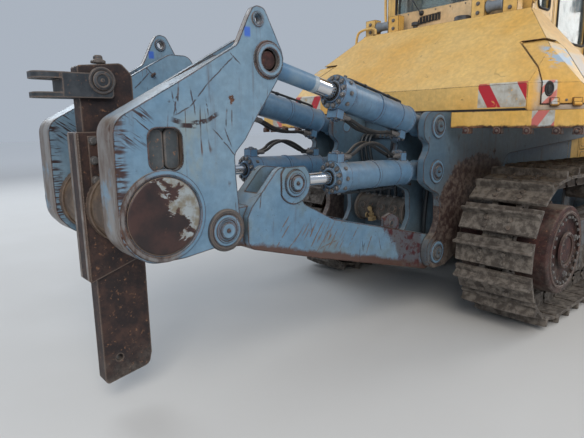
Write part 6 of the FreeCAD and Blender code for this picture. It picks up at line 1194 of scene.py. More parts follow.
def dressCylinder(kind, s):
    parts, heads, seals, bands, pipes = [], [], [], [], []
    for sideSign in (1, -1):
        start, along, up = cylinderFrame(hose[kind + "Base"], hose[kind + "Eye"], sideSign * hose["line"], s["port"])
        side = np.cross(along, up)
        r, rod = s["barrel"] / 1000, s["rod"] / 1000
        face = start + along * 1.050
        parts.append(lathe([(rod + 0.004, -0.002), (r - 0.030, -0.002), (r - 0.030, 0.010), (r - 0.036, 0.015), (rod + 0.012, 0.015),
                            (rod + 0.004, 0.009)], face, along, 48))
        seals.append(lathe([(rod + 0.0015, 0.004), (rod + 0.0035, 0.019), (rod + 0.009, 0.019), (rod + 0.012, 0.013),
                            (rod + 0.012, 0.004)], face, along, 40))
        heads.append(bolts(circleSpots(face, along, r - 0.009, 12, 0.26), along, 0.026))
        # the gland's clamp ring with its own bolts seen from the side, and weld beads on the barrel
        for where, height, width in ((0.935, 0.006, 0.005), (0.232, 0.007, 0.010), (0.275 + 0.10, 0.004, 0.006)):
            bands.append(lathe([(r - 0.002, -width), (r + height * 0.7, -width * 0.7), (r + height, 0), (r + height * 0.7, width * 0.7),
                                (r - 0.002, width)], start + along * where, along, 64))
        for a in np.linspace(0, 2 * np.pi, 10, endpoint=False) + 0.3:
            spoke = math.cos(a) * up + math.sin(a) * side
            if spoke @ up < 0.75:
                heads.append(bolts([start + along * 0.995 + spoke * (r + 0.012)], spoke, 0.022))
        # split flanges on the port blocks: four bolts and a boss each
        for where, wall in ((0.995, r + 0.012), (0.275, r)):
            top = start + along * where + up * (wall + 0.052)
            parts.append(lathe([(0, -0.001), (0.031, -0.001), (0.031, 0.009), (0.026, 0.013), (0.019, 0.013), (0.017, 0.019),
                                (0.009, 0.021), (0, 0.021)], top, up, 6))
            corners = [top + along * 0.024 * i + side * 0.034 * j for i in (-1, 1) for j in (-1, 1)]
            heads.append(bolts(corners, up, 0.015))
        # a rigid oil pipe along the barrel's other side, with two clips
        under = -up * (r + 0.016)
        path = np.array([start + along * reach + under * lift for reach, lift in
                         ((0.93, 0.85), (0.925, 1.0), (0.88, 1.02), (0.60, 1.02), (0.36, 1.02), (0.315, 1.0), (0.31, 0.85))])
        pipes.append(sweep(path, 0.010, 10))
        for where in (0.74, 0.47):
            pipes.append(lathe([(0.009, -0.011), (0.016, -0.010), (0.016, 0.010), (0.009, 0.011)], start + along * where + under, along, 12))
        # hose clamp on the barrel's middle
        middle = start + along * 0.62
        bands.append(lathe([(r - 0.002, -0.014), (r + 0.005, -0.013), (r + 0.005, 0.013), (r - 0.002, 0.014)], middle, along, 64))
    body = kind + "_barrels"
    addPiece("glandRings_" + kind, *gather(parts), "barrelPaint", body, "grey_paint")
    addPiece("rodWipers_" + kind, *gather(seals), "sealRubber", body, "black_plastic")
    addPiece("glandBolts_" + kind, *gather(heads), "boltSteel", body, "rusty_steel")
    addPiece("barrelBands_" + kind, *gather(bands), "barrelPaint", body, "grey_paint")
    addPiece("barrelPipes_" + kind, *gather(pipes), "lineSteel", body, "dark_paint")


for kind, s in cylinders.items():
    dressCylinder(kind, s)
print("ripper dressed")
# Rear wall of the hull: manhole, drive housing with its drain valve, bolted flanges and rigid oil lines
rearWall = {"wall": -430, "manhole": (1000, 150), "housing": (-520, 900, 118, 252, -302), "valve": (-640, 50, 868),
            "flangeZ": (1545, 1600), "bays": ((-300, 300), (372, 582), (-582, -372)), "lineRadius": 15}


def makeRearWall(s):
    wall = s["wall"]
    mz, mr = s["manhole"][0], s["manhole"][1] / 1000
    ring = disc([(mr - 0.002, -0.004), (mr - 0.002, 0.012), (mr + 0.004, 0.017), (mr + 0.034, 0.017), (mr + 0.040, 0.010),
                 (mr + 0.040, -0.004)], wall, 0, mz, (-1, 0, 0), 72)
    heads = [bolts(circleSpots(at(wall - 17, 0, mz), (-1, 0, 0), mr + 0.020, 16), (-1, 0, 0), 0.020)]
    x, z, radius, left, right = s["housing"]
    r = radius / 1000
    # a barrel with two flanges, three ribs and a domed end
    shell = [(0, -0.018), (r * 0.5, -0.016), (r * 0.8, -0.006), (r * 0.86, 0.0), (r + 0.014, 0.0), (r + 0.018, 0.004),
             (r + 0.018, 0.022), (r + 0.014, 0.026), (r, 0.028)]
    for where in (0.14, 0.27, 0.40):
        shell += [(r, where - 0.012), (r + 0.007, where - 0.007), (r + 0.007, where + 0.007), (r, where + 0.012)]
    end = (left - right) / 1000
    shell += [(r, end - 0.03), (r + 0.018, end - 0.026), (r + 0.018, end - 0.002), (0, end - 0.002)]
    barrel = lathe(shell, at(x, left, z), (0, -1, 0), 80)
    # raised pads where pipes screw in
    pads = [disc([(0, -0.03), (0.034, -0.03), (0.034, 0.012), (0.028, 0.018), (0, 0.018)], x - radius + 4, y, z + 30,
                 (-1, 0, 0.25), 8) for y in (150, -60, -190)]
    heads += [bolts(circleSpots(at(x, left + 1, z), (0, 1, 0), r * 0.72, 10, 0.2), (0, 1, 0), 0.022)]
    addPiece("driveHousing", *gather([barrel] + pads), "housingMud", "machine", "rusty_steel")
    for low, high in s["bays"]:
        z0, z1 = s["flangeZ"]
        ring = gather([ring, blocks(((wall - 17, low, z0), (wall + 2, high, z1)))])
        count = int((high - low) / 46)
        heads.append(boltsAt([(wall - 17, low + (high - low) * (i + 0.5) / count, (z0 + z1) / 2) for i in range(count)],
                             (-1, 0, 0), 0.024))
    addPiece("wallFlanges", *ring, "hullPaint", "machine", "grey_paint", bevel=0.003)
    addPiece("wallBolts", *gather(heads), "boltSteel", "machine", "rusty_steel")
    # oil lines run from the flange down to the housing; two thicker ones cross the wall at a slant
    lines, unions = [], []
    for y, foot in ((262, 190), (214, 110), (166, 40), (-100, -60), (-160, -130), (-250, -230)):
        lines.append(pipe([(wall - 14, y, 1573), (wall - 95, y, 1573), (wall - 130, y, 1490), (wall - 120, (y + foot) / 2, 1250),
                           (wall - 96, foot, 1130), (wall - 90, foot, z + radius - 8)], s["lineRadius"]))
        for px, py, pz, way in ((wall - 17, y, 1573, (-1, 0, 0)), (wall - 90, foot, z + radius - 6, (0, 0, 1))):
            unions.append(disc([(0, 0), (0.026, 0), (0.027, 0.002), (0.027, 0.017), (0.026, 0.019), (0, 0.019)], px, py, pz, way, 6))
    for y0, z0, y1, z1 in ((300, 1230, -290, 1440), (300, 1180, -290, 1385)):
        lines.append(pipe([(wall - 52, y0, z0), (wall - 52, 60, z0 + 45), (wall - 52, -150, z1 - 20), (wall - 52, y1, z1)], 22))
        unions += [lathe([(0.020, -0.012), (0.030, -0.012), (0.030, 0.012), (0.020, 0.012)], at(wall - 52, y, z0 + (z1 - z0) * k),
                         (0, 1, -0.2), 16) for y, k in ((200, 0.12), (-230, 0.95))]
    for sign in (1, -1):
        lines.append(pipe([(wall - 14, sign * 470, 1573), (wall - 80, sign * 470, 1573), (wall - 80, sign * 470, 1300),
                           (wall - 80, sign * 430, 900), (wall - 80, sign * 430, 640), (wall - 10, sign * 430, 600)], 17))
        unions.append(disc([(0, 0), (0.028, 0), (0.028, 0.019), (0, 0.019)], wall - 17, sign * 470, 1573, (-1, 0, 0), 6))
    addPiece("oilLines", *gather(lines), "lineSteel", "machine", "dark_paint")
    addPiece("lineUnions", *gather(unions), "boltSteel", "machine", "rusty_steel")
    # brass drain valve: hexagon foot, stem, elbow and lever
    x, y, z = s["valve"]
    brass = [disc([(0, -0.03), (0.040, -0.03), (0.042, -0.026), (0.042, 0.004), (0.038, 0.008), (0.022, 0.008), (0.022, 0.022),
                   (0.030, 0.024), (0.030, 0.040), (0.018, 0.044), (0.014, 0.075), (0, 0.075)], x + 8, y, z - 40, (-0.2, 0.1, 1), 6),
             pipe([(x - 8, y + 6, z + 20), (x - 14, y + 8, z + 62), (x - 34, y - 6, z + 66), (x - 60, y - 26, z + 56)], 15, 12),
             disc([(0, -0.012), (0.021, -0.012), (0.023, -0.008), (0.023, 0.008), (0.021, 0.012), (0, 0.012)], x - 62, y - 28, z + 55,
                  (-1, -0.8, -0.3), 6),
             disc([(0, -0.006), (0.030, -0.006), (0.033, 0), (0.030, 0.006), (0, 0.006)], x + 20, y + 62, z - 26, (0, 1, 0.2), 24)]
    addPiece("drainValve", *gather(brass), "brass", "machine", "rusty_steel", bevel=0.0015)


makeRearWall(rearWall)
print("rear wall fitted")
# Tank and ledge: rubber mounts, a rear panel with a vent, caps, grab bar, hatch locks, tread plates and lug bolts
tank = {"rear": -501, "crease": 1959, "slope": (0.7465, 0.6657), "top": 2626, "mounts": ((500, 630, 810, 940),
        (-450, -320, -750, -620)), "blockX": (300, 400), "lugs": (846, 1091, 1306, 1501, 1630), "lock": (150, 1915),
        "deck": (455, 2335, 835, 1640), "treadStep": 56}


def onTank(y, run, lift=0.0):
    # a spot on the leaning rear face: how far up it from the crease, and how far off it
    along, climb = tank["slope"]
    return (tank["rear"] + along * run - climb * lift, y, tank["crease"] + climb * run + along * lift)


def makeTank(s):
    top, (x0, x1) = s["top"], s["blockX"]
    # grey rubber mounts stand between the yellow blocks, each clamped by bolts
    rubber, heads, plates = [], [], []
    for low, lowEnd, highStart, high in s["mounts"]:
        a, b = min(lowEnd, high), max(highStart, lowEnd)
        inner = sorted((low, lowEnd, highStart, high))[1:3]
        rubber.append(disc([(0.0, 0.006), (0.052, 0.006), (0.058, 0.014), (0.044, 0.045), (0.044, (inner[1] - inner[0]) / 1000 - 0.045),
                            (0.058, (inner[1] - inner[0]) / 1000 - 0.014), (0.052, (inner[1] - inner[0]) / 1000 - 0.006),
                            (0, (inner[1] - inner[0]) / 1000 - 0.006)], (x0 + x1) / 2, inner[0], top + 92, (0, 1, 0), 40))
        for edge, end in ((low, lowEnd), (highStart, high)):
            middle = (edge + end) / 2
            heads.append(boltsAt([(x0, middle, top + 45), (x0, middle, top + 125)], (-1, 0, 0), 0.026))
            plates.append(blocks(((x0 - 14, min(edge, end) - 14, top - 4), (x1 + 14, max(edge, end) + 14, top + 9))))
    addPiece("mountRubber", *gather(rubber), "mountGrey", "machine", "black_plastic")
    addPiece("mountBolts", *gather(heads), "boltSteel", "machine", "rusty_steel")
    addPiece("mountFeet", *gather(plates), "yellowPaint", "machine", "yellow_paint", bevel=0.004)
    # pale sheet panel over the foot of the cab's rear window, with a dark vent
    addPiece("rearPanel", *prism(roundedBox(-704, 704, 2634, 2842, 24), 466, 501, "YZ"), "palePaint", "machine", "yellow_paint",
             bevel=0.004)
    vent = [(409, 2690), (345, 2772), (104, 2786), (104, 2712)]
    addPiece("rearVent", *prism(vent, 464.5, 470, "YZ"), "sealRubber", "machine", "black_plastic")
    rim = [at(466, *spot) for spot in vent]
    edge = [sweep(resample(rim, 0.02, True), 0.004, 6, True)]
    edge += [blocks(((460, y, 2718), (466, y + 6, 2768))) for y in range(130, 350, 36)]
    addPiece("rearVentBars", *gather(edge), "palePaint", "machine", "yellow_paint")
    addPiece("rearPanelBolts", *boltsAt([(466, y, z) for y in np.arange(-660, 661, 165) for z in (2656, 2820)], (-1, 0, 0), 0.011),
             "boltSteel", "machine", "rusty_steel")
    # filler cap with lugs, breather and the grab bar on the left shoulder
    cap = [disc([(0, 0), (0.088, 0), (0.088, 0.012), (0.078, 0.016), (0.074, 0.040), (0.066, 0.050), (0, 0.052)], 350, -210, top,
                (0, 0, 1), 48)]
    cap += [blocks(((350 + 62 * math.cos(a) - 12, -210 + 62 * math.sin(a) - 12, top + 14),
                    (350 + 62 * math.cos(a) + 12, -210 + 62 * math.sin(a) + 12, top + 46))) for a in np.arange(6) * np.pi / 3]
    cap += [disc([(0, 0), (0.024, 0), (0.024, 0.04), (0.040, 0.046), (0.040, 0.072), (0.030, 0.080), (0, 0.082)], 360, 330, top,
                 (0, 0, 1), 24)]
    addPiece("tankCaps", *gather(cap), "darkPaint", "machine", "dark_paint", bevel=0.002)
    bar = [pipe([(262, 770, top - 4), (262, 770, top + 78), (262, 1004, top + 78), (262, 1046, top - 10), (262, 1046, top - 172)], 14)]
    bar += [disc([(0, 0), (0.030, 0), (0.030, 0.006), (0.016, 0.010)], x, y, z, n, 20)
            for x, y, z, n in ((262, 770, top, (0, 0, 1)), (262, 1045, top - 168, (0, 0.741, 0.672)))]
    addPiece("tankTrim", *gather(bar), "yellowPaint", "machine", "yellow_paint")
    # black strips between the tank and the ledge below it, standing in for the painted shadow of the gap
    shadowStrip = [blocks(((s["rear"] - 2, -1230, 1764), (s["rear"] + 20, 1230, 1783)))]
    for sign in (1, -1):
        shadowStrip.append(prism([(s["rear"] - 1, sign * 1232), (-128, sign * 1609), (-110, sign * 1609), (s["rear"] + 20, sign * 1215)],
                           1765, 1774, "XY"))
        shadowStrip.append(blocks(((-130, min(sign * 1600, sign * 1612), 1765), (438, max(sign * 1600, sign * 1612), 1774))))
    addPiece("tankShadowStrip", *gather(shadowStrip), "sealRubber", "machine", "black_plastic")
    # lugs below the ledge: a worn boss and a bolt on each
    lugs = []
    for y in s["lugs"]:
        lugs.append(disc([(0, 0), (0.026, 0), (0.026, 0.005), (0.020, 0.009), (0, 0.009)], -626, y, 1622, (-1, 0, 0), 24))
    addPiece("lugBosses", *sided(lugs), "driveRust", "machine", "rusty_steel")
    addPiece("lugBolts", *sided([boltsAt([(-634, y, 1622) for y in s["lugs"]], (-1, 0, 0), 0.015)]), "hitchSteel", "machine",
             "rusty_steel")


def makeHatchLocks(s):
    # an oval black pull let into each corner hatch, with a rim, a paddle and two screws
    along, z = s["lock"]
    step = along * 0.70711
    for sideName, sign in (("left", 1), ("right", -1)):
        x, y, way = -501 + step, sign * (1236 + step), (-1, sign, 0)
        cup = [disc([(0.0, 0.0015), (0.021, 0.0015), (0.025, 0.007), (0.030, 0.008), (0.033, 0.004), (0.034, -0.003)], x, y, z, way,
                    40, 1.6)]
        paddle = [disc([(0, 0.003), (0.010, 0.003), (0.012, 0.006), (0.010, 0.009), (0, 0.010)], x, y, z - 6, way, 24, 2.6)]
        addPiece("hatchLock_" + sideName, *gather(cup + paddle), "blackPlastic", "corner_hatch_" + sideName, "black_plastic")
        pins = [bolts([at(x + 90, y + sign * 90, 1790 + 45), at(x + 200, y + sign * 200, 1790 + 45)], way, 0.013)]
        addPiece("hatchScrews_" + sideName, *gather(pins), "boltSteel", "corner_hatch_" + sideName, "rusty_steel")


def makeTread(s):
    # raised lozenges of the tread plate, turned one way and the other
    x0, x1, y0, y1 = s["deck"]
    step = s["treadStep"]
    parts = []
    long, short, high = 21, 6.5, 2.6
    for i, x in enumerate(np.arange(x0 + 20, x1 - 20, step / 2)):
        for y in np.arange(y0 + 20 + (i % 2) * step / 2, y1 - 20, step):
            turn = math.radians(45 if i % 2 else -45)
            c, n = math.cos(turn), math.sin(turn)
            shape = [(long, 0), (0, short), (-long, 0), (0, -short)]
            low = [at(x + c * u - n * v, y + n * u + c * v, 1763.5) for u, v in shape]
            top = [at(x + (c * u - n * v) * 0.72, y + (n * u + c * v) * 0.72, 1764 + high) for u, v in shape]
            parts.append((low + top, [(0, 1, 5, 4), (1, 2, 6, 5), (2, 3, 7, 6), (3, 0, 4, 7), (4, 5, 6, 7), (3, 2, 1, 0)]))
    addPiece("deckTread", *sided(parts), "treadPaint", "machine", "yellow_paint", flat=True, recalc=False)


makeTank(tank)
makeHatchLocks(tank)
makeTread(tank)
print("tank and deck fitted")
# Cab: seals, wipers, handles, mirrors, roof trim, lamps, seat, levers and dials
cab = {"rear": 500, "front": 2130, "half": 790, "wall": 60, "postHalf": 680, "rearSill": 2700, "frontSill": 2620,
       "glassTop": 3470, "quarter": (620, 870, 2700, 3470), "doorWindow": (1070, 1850, 2460, 3370), "roof": 3680,
       "floor": 1824, "door": (960, 1960, 1900, 3470)}


def makeCabTrim(s):
    h = s["half"]
    seals = []
    for x, low in ((s["rear"] - 1, s["rearSill"]), (s["rear"] + 61, s["rearSill"]), (s["front"] + 1, s["frontSill"]),
                   (s["front"] - 61, s["frontSill"])):
        seals.append(sweep(loopPath(-s["postHalf"], s["postHalf"], low, s["glassTop"], 60, "YZ", x), 0.013, 8, True))
    for y in (h + 1, h - 61):
        seals += [sweep(loopPath(*s["quarter"], 40, "XZ", sign * y), 0.012, 8, True) for sign in (1, -1)]
    # the rubber strip that each door closes on
    x0, x1, z0, z1 = s["door"]
    seals += [sweep(loopPath(x0 - 3, x1 + 3, z0 - 3, z1 + 3, 72, "XZ", sign * (h - 22)), 0.005, 6, True) for sign in (1, -1)]
    addPiece("windowSeals", *gather(seals), "sealRubber", "machine", "black_plastic")
    # wipers on the rear and front windows: motor boss, arm, hinge block and a blade with its bow
    wipers = []
    for x, way, low in ((468, -1, 2850), (s["front"], 1, s["frontSill"])):
        for foot, tip in (((-330, low - 42), (-60, low + 340)), ((330, low - 42), (600, low + 340))):
            off = x + way * 26
            wipers.append(disc([(0, -0.004), (0.026, -0.004), (0.028, 0.006), (0.020, 0.022), (0.012, 0.030), (0, 0.031)], x, foot[0],
                               foot[1], (way, 0, 0), 24))
            wipers.append(pipe([(off, foot[0], foot[1]), (off + way * 10, (foot[0] + tip[0]) / 2, (foot[1] + tip[1]) / 2),
                                (off - way * 2, tip[0], tip[1])], 6, 8, 2))
            wipers.append(prism([(tip[0] - 9, tip[1] - 250), (tip[0] + 9, tip[1] - 250), (tip[0] + 6, tip[1] + 250),
                                 (tip[0] - 6, tip[1] + 250)], off - way * 4, off - way * 18, "YZ"))
            wipers.append(pipe([(off - way * 4, tip[0], tip[1] - 170), (off + way * 6, tip[0], tip[1]),
                                (off - way * 4, tip[0], tip[1] + 170)], 5, 6, 2))
    addPiece("wipers", *gather(wipers), "blackPlastic", "machine", "black_plastic")
    # vertical grab rails in front of each door and on the rear corners, with feet
    rails = []
    for x, y0, low, high in ((2046, h, 2060, 3180), (530, h, 2750, 3330)):
        rails += [pipe([(x, y0 - 2, low), (x, y0 + 62, low), (x, y0 + 62, high), (x, y0 - 2, high)], 15, 12)]
        rails += [disc([(0, -0.002), (0.034, -0.002), (0.034, 0.006), (0.030, 0.009), (0.017, 0.011)], x, y0, z, (0, 1, 0), 24)
                  for z in (low, high)]
    addPiece("grabRails", *sided(rails), "handrailPaint", "machine", "yellow_paint")
    # roof: pressed ribs, a drip rail, lifting lugs and an antenna foot
    roof = [prism([(640, y - 34), (1990, y - 34), (2010, y - 20), (2010, y + 20), (1990, y + 34), (640, y + 34), (620, y + 20),
                   (620, y - 20)], s["roof"] - 3, s["roof"] + 13, "XY") for y in (-540, -270, 0, 270, 540)]
    roof.append(sweep(loopPath(422, 2208, -828, 828, 120, "XY", 3566), 0.011, 8, True))
    for x in (560, 2070):
        for y in (-690, 690):
            roof.append(blocks(((x - 40, y - 10, s["roof"] - 4), (x + 40, y + 10, s["roof"] + 52))))
    addPiece("roofRibs", *gather(roof), "yellowPaint", "machine", "yellow_paint", bevel=0.004)
    eyes = [disc([(0, -0.0115), (0.017, -0.0115), (0.017, 0.0115), (0, 0.0115)], x, y, s["roof"] + 30, (0, 1, 0), 24)
            for x in (560, 2070) for y in (-690, 690)]
    eyes += [disc([(0, 0), (0.030, 0), (0.026, 0.016), (0.010, 0.020), (0.008, 0.032), (0, 0.032)], 1750, 640, s["roof"], (0, 0, 1), 24)]
    addPiece("roofEyes", *gather(eyes), "darkPaint", "machine", "dark_paint")
    # base flange of the cab: a rim and mounting bolts all round, and welded post seams
    rim = [blocks(((s["rear"] - 14, -h - 16, 1764), (s["rear"] + 20, h + 16, 1778)), ((s["front"] - 20, -h - 16, 1764),
                  (s["front"] + 14, h + 16, 1778)), ((s["rear"] - 14, h - 10, 1764), (s["front"] + 14, h + 16, 1778)),
                  ((s["rear"] - 14, -h - 16, 1764), (s["front"] + 14, -h + 10, 1778)))]
    for sign in (1, -1):
        for x in (s["rear"] + 2, s["front"] - 2):
            rim.append(weld([at(x, sign * (h + 0.5), z) for z in (1830, 3556)], 0.004))
    addPiece("cabFlange", *gather(rim), "yellowPaint", "machine", "yellow_paint", bevel=0.002)
    spots = [(x, sign * (h + 9), 1778) for x in np.arange(560, 2100, 170) for sign in (1, -1)]
    addPiece("cabBolts", *boltsAt(spots, (0, 0, 1), 0.013), "boltSteel", "machine", "rusty_steel")
    # mirrors on bent arms
    arms, shells, faces = [], [], []
    for sign in (1, -1):
        arms.append(pipe([(2128, sign * 700, 3330), (2240, sign * 760, 3340), (2250, sign * 930, 3300), (2246, sign * 940, 3150)], 12, 10))
        arms.append(disc([(0, -0.002), (0.030, -0.002), (0.030, 0.008), (0.014, 0.012)], 2130, sign * 700, 3330, (1, 0, 0), 20))
        shells.append(prism(roundedBox(sign * 940 - 95, sign * 940 + 95, 2900, 3180, 40), 2236, 2262, "YZ"))
        faces.append(prism(roundedBox(sign * 940 - 82, sign * 940 + 82, 2913, 3167, 32), 2231, 2237, "YZ"))
    addPiece("mirrorArms", *gather(arms), "darkPaint", "machine", "dark_paint")
    addPiece("mirrorShells", *gather(shells), "blackPlastic", "machine", "black_plastic", bevel=0.007)
    addPiece("mirrorFaces", *gather(faces), "chrome", "machine", "chrome_rod", bevel=0.001)


def makeDoors(s):
    x0, x1, z0, z1 = s["door"]
    for sideName, sign in (("left", 1), ("right", -1)):
        body, h = "cab_door_" + sideName, s["half"]
        seals = [sweep(loopPath(*s["doorWindow"], 70, "XZ", sign * y), 0.013, 8, True) for y in (h + 1, h - 61)]
        addPiece("doorSeals_" + sideName, *gather(seals), "sealRubber", body, "black_plastic")
        # pressed bead round the lower panel, a kick plate and hinge bolts
        bead = [sweep(loopPath(x0 + 110, x1 - 110, z0 + 80, z0 + 430, 60, "XZ", sign * (h - 1)), 0.007, 8, True),
                sweep(loopPath(x0 + 24, x1 - 24, z0 + 24, z1 - 24, 60, "XZ", sign * (h - 2)), 0.0055, 8, True)]
        addPiece("doorBeads_" + sideName, *gather(bead), "yellowPaint", body, "yellow_paint")
        heads = [boltsAt([(x0 + dx, sign * (h + 12), z + dz) for dx in (38, 64) for dz in (30, 90)
                          for z in (s["door"][2] + 220, s["door"][3] - 340)], (0, sign, 0), 0.011)]
        addPiece("doorBolts_" + sideName, *gather(heads), "boltSteel", body, "rusty_steel")
        # latch: a dark plate with a push button and a lock ring beside the pull
        plate = [prism(roundedBox(x1 - 108, x1 - 22, z0 + 400, z0 + 590, 16), sign * (h - 1), sign * (h + 4)),
                 disc([(0, 0), (0.020, 0), (0.020, 0.010), (0.016, 0.014), (0, 0.014)], x1 - 65, sign * (h + 3), z0 + 574, (0, sign, 0), 24)]
        addPiece("doorLatch_" + sideName, *gather(plate), "darkPaint", body, "dark_paint", bevel=0.002)


def padForm(width, depth, thick, channels, crown=0.16):
    # a crowned closed pad in its own space: flat beneath, sides pulled in between corners, sewn channels across it
    u = np.linspace(-1, 1, 57)
    uu, vv = np.meshgrid(u, u, indexing="ij")
    edge = (1 - np.abs(uu) ** 7) * (1 - np.abs(vv) ** 7)
    waist = 1 - 0.035 * np.cos(vv * np.pi / 2), 1 - 0.035 * np.cos(uu * np.pi / 2)
    x = np.sign(uu) * np.abs(uu) ** 0.94 * width / 2 * waist[0]
    y = np.sign(vv) * np.abs(vv) ** 0.94 * depth / 2 * waist[1]
    top = thick * (edge ** 0.32) * (1 + crown * (1 - uu ** 2) * (1 - vv ** 2)) / (1 + crown)
    for where in channels:
        top = top * (1 - 0.15 * np.exp(-((vv - where) / 0.030) ** 2) * (1 - np.abs(uu) ** 12))
    for where in (-0.80, 0.80):
        top = top * (1 - 0.10 * np.exp(-((uu - where) / 0.030) ** 2) * (1 - np.abs(vv) ** 12))
    local = waves(np.stack([x, y], -1), 3.0, 5, 3)
    top = top * (1 + 0.022 * local * edge)
    upper = np.stack([x, y, top], -1).reshape(-1, 3)
    under = np.stack([x * 0.985, y * 0.985, -0.10 * thick * edge ** 0.3], -1).reshape(-1, 3)
    count = len(u)
    faces = gridFaces(count, count).tolist()
    rim = [i for i in range(count)] + [count * i + count - 1 for i in range(1, count)]
    rim += [count * (count - 1) + i for i in range(count - 2, -1, -1)] + [count * i for i in range(count - 2, 0, -1)]
    down = [[a + count * count for a in face][::-1] for face in faces]
    sides = [[rim[i - 1], rim[i], rim[i] + count * count, rim[i - 1] + count * count] for i in range(len(rim))]
    return np.concatenate([upper, under]), faces + down + sides, upper.reshape(count, count, 3)


def placed(points, centre, along, up):
    # a form of width along y and depth along one direction, set at a centre
    along, up = np.array(along, float), np.array(up, float)
    along, up = along / np.linalg.norm(along), up / np.linalg.norm(up)
    across = np.cross(up, along)
    return np.asarray(centre) + points[:, :1] * across + points[:, 1:2] * along + points[:, 2:] * up


def makeSeat(s):
    f = s["floor"]
    seatX = s["rear"] + 480
    for name, width, depth, thick, centre, along, up, channels in (
            ("seatCushion", 0.49, 0.46, 0.115, (seatX + 252, 0, f + 436), (1, 0, 0.04), (-0.04, 0, 1), (-0.45, 0.0, 0.45)),
            ("seatBack", 0.48, 0.60, 0.105, (seatX - 22, 0, f + 858), (-0.17, 0, 1), (1, 0, 0.17), (-0.5, -0.1, 0.3)),
            ("armrest_left", 0.07, 0.28, 0.045, (seatX + 200, 205, f + 690), (1, 0, 0.03), (-0.03, 0, 1), ()),
            ("armrest_right", 0.07, 0.28, 0.045, (seatX + 200, -205, f + 690), (1, 0, 0.03), (-0.03, 0, 1), ())):
        points, faces, upper = padForm(width, depth, thick, channels)
        pad = addPiece(name, placed(points, at(*centre), along, up), faces, "seatVinyl", "machine", "seat_vinyl")
        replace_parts(pad, "seat")
        if channels:
            # piping along the pad's sewn edge
            ring = np.concatenate([upper[2, 2:-2], upper[2:-2, -3], upper[-3, 2:-2][::-1], upper[2:-2, 2][::-1]])
            spine = placed(ring[::3], at(*centre), along, up)
            cord = addPiece(name + "Piping", *sweep(spine, 0.0045, 7, True), "sealRubber", "machine", "seat_vinyl")
            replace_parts(cord, "seat")
    # the pedestal: a folded bellows between two plates, slides, and a shell behind the back
    base = [blocks(((seatX + 40, -170, f), (seatX + 430, 170, f + 22)), ((seatX + 50, -165, f + 392), (seatX + 440, 165, f + 418)),
                   ((seatX + 60, -185, f + 418), (seatX + 440, -150, f + 436)), ((seatX + 60, 150, f + 418), (seatX + 440, 185, f + 436)))]
    shell = prism([(seatX - 30, f + 440), (seatX - 6, f + 440), (seatX - 92, f + 1160), (seatX - 112, f + 1160)], -215, 215)
    base += [shell] + [blocks(((seatX + 10, y - 16, f + 560), (seatX + 40, y + 16, f + 700))) for y in (-205, 205)]
    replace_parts(addPiece("seatBase", *gather(base), "blackPlastic", "machine", "black_plastic", bevel=0.006), "seat")
    folds = []
    for i in range(9):
        inset = 0 if i % 2 else 22
        z = f + 22 + i * (370 / 8)
        folds.append([at(x, y, z) for x, y in roundedBox(seatX + 70 + inset, seatX + 400 - inset, -140 + inset, 140 - inset, 40, 4)])
    count = len(folds[0])
    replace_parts(addPiece("seatBellows", np.concatenate(folds), gridFaces(9, count, False, True), "sealRubber", "machine",
                         "black_plastic", flat=True), "seat")


def makeControls(s):
    f = s["floor"]
    # instrument panel: dials with bezels, a row of switches, and a steering lever each side
    panel = [prism(roundedBox(-290, 290, f + 640, f + 750, 24), 1748, 1770, "YZ")]
    bezels, dials = [], []
    for y in (-210, -105, 0, 105, 210):
        bezels.append(disc([(0.030, 0), (0.040, 0), (0.040, 0.010), (0.036, 0.014), (0.031, 0.012), (0.030, 0.002)], 1748, y, f + 695,
                           (-1, 0, 0), 32))
        dials.append(disc([(0, 0.002), (0.031, 0.002), (0.031, 0.004), (0, 0.004)], 1748, y, f + 695, (-1, 0, 0), 32))
    addPiece("dialPanel", *gather(panel), "blackPlastic", "machine", "black_plastic", bevel=0.004)
    addPiece("dialBezels", *gather(bezels), "darkPaint", "machine", "dark_paint")
    addPiece("dialFaces", *gather(dials), "lensGlass", "machine", "glass")
    levers, knobs = [], []
    for x, y, lean in ((1180, 330, 60), (1240, 400, 20), (1180, -330, 60), (1250, -400, 30), (1320, -400, 30)):
        levers.append(pipe([(x, y, f + 430), (x + lean / 2, y, f + 560), (x + lean, y, f + 690)], 9, 10))
        levers.append(disc([(0, 0), (0.040, 0), (0.044, 0.01), (0.030, 0.03), (0.034, 0.04), (0.018, 0.062), (0.010, 0.066)], x, y, f + 424,
                           (0, 0, 1), 24))
        knobs.append(disc([(0, -0.034), (0.012, -0.032), (0.020, -0.018), (0.024, 0.0), (0.021, 0.018), (0.012, 0.028), (0, 0.030)],
                          x + lean, y, f + 712, (0, 0, 1), 20))
    towers = blocks(((1110, 290, f), (1370, 450, f + 424)), ((1110, -450, f), (1370, -290, f + 424)))
    addPiece("leverTowers", *towers, "darkPaint", "machine", "dark_paint", bevel=0.012)
    addPiece("levers", *gather(levers), "darkPaint", "machine", "dark_paint")
    addPiece("leverKnobs", *gather(knobs), "blackPlastic", "machine", "black_plastic")
    # ribbed mat, pedals, and a shelf behind the seat
    mat = [blocks(((600, -640, f - 1), (1735, 640, f + 9)))]
    mat += [blocks(((610 + 45 * i, -630, f + 8), (628 + 45 * i, 630, f + 13))) for i in range(25)]
    addPiece("floorMat", *gather(mat), "sealRubber", "machine", "black_plastic")
    pedals = [prism([(1660, f + 60), (1672, f + 56), (1712, f + 170), (1700, f + 174)], y - 55, y + 55) for y in (-170, 0, 170)]
    pedals += [pipe([(1735, y, f + 20), (1700, y, f + 60), (1690, y, f + 110)], 10, 8) for y in (-170, 0, 170)]
    addPiece("pedals", *gather(pedals), "darkPaint", "machine", "dark_paint", bevel=0.003)


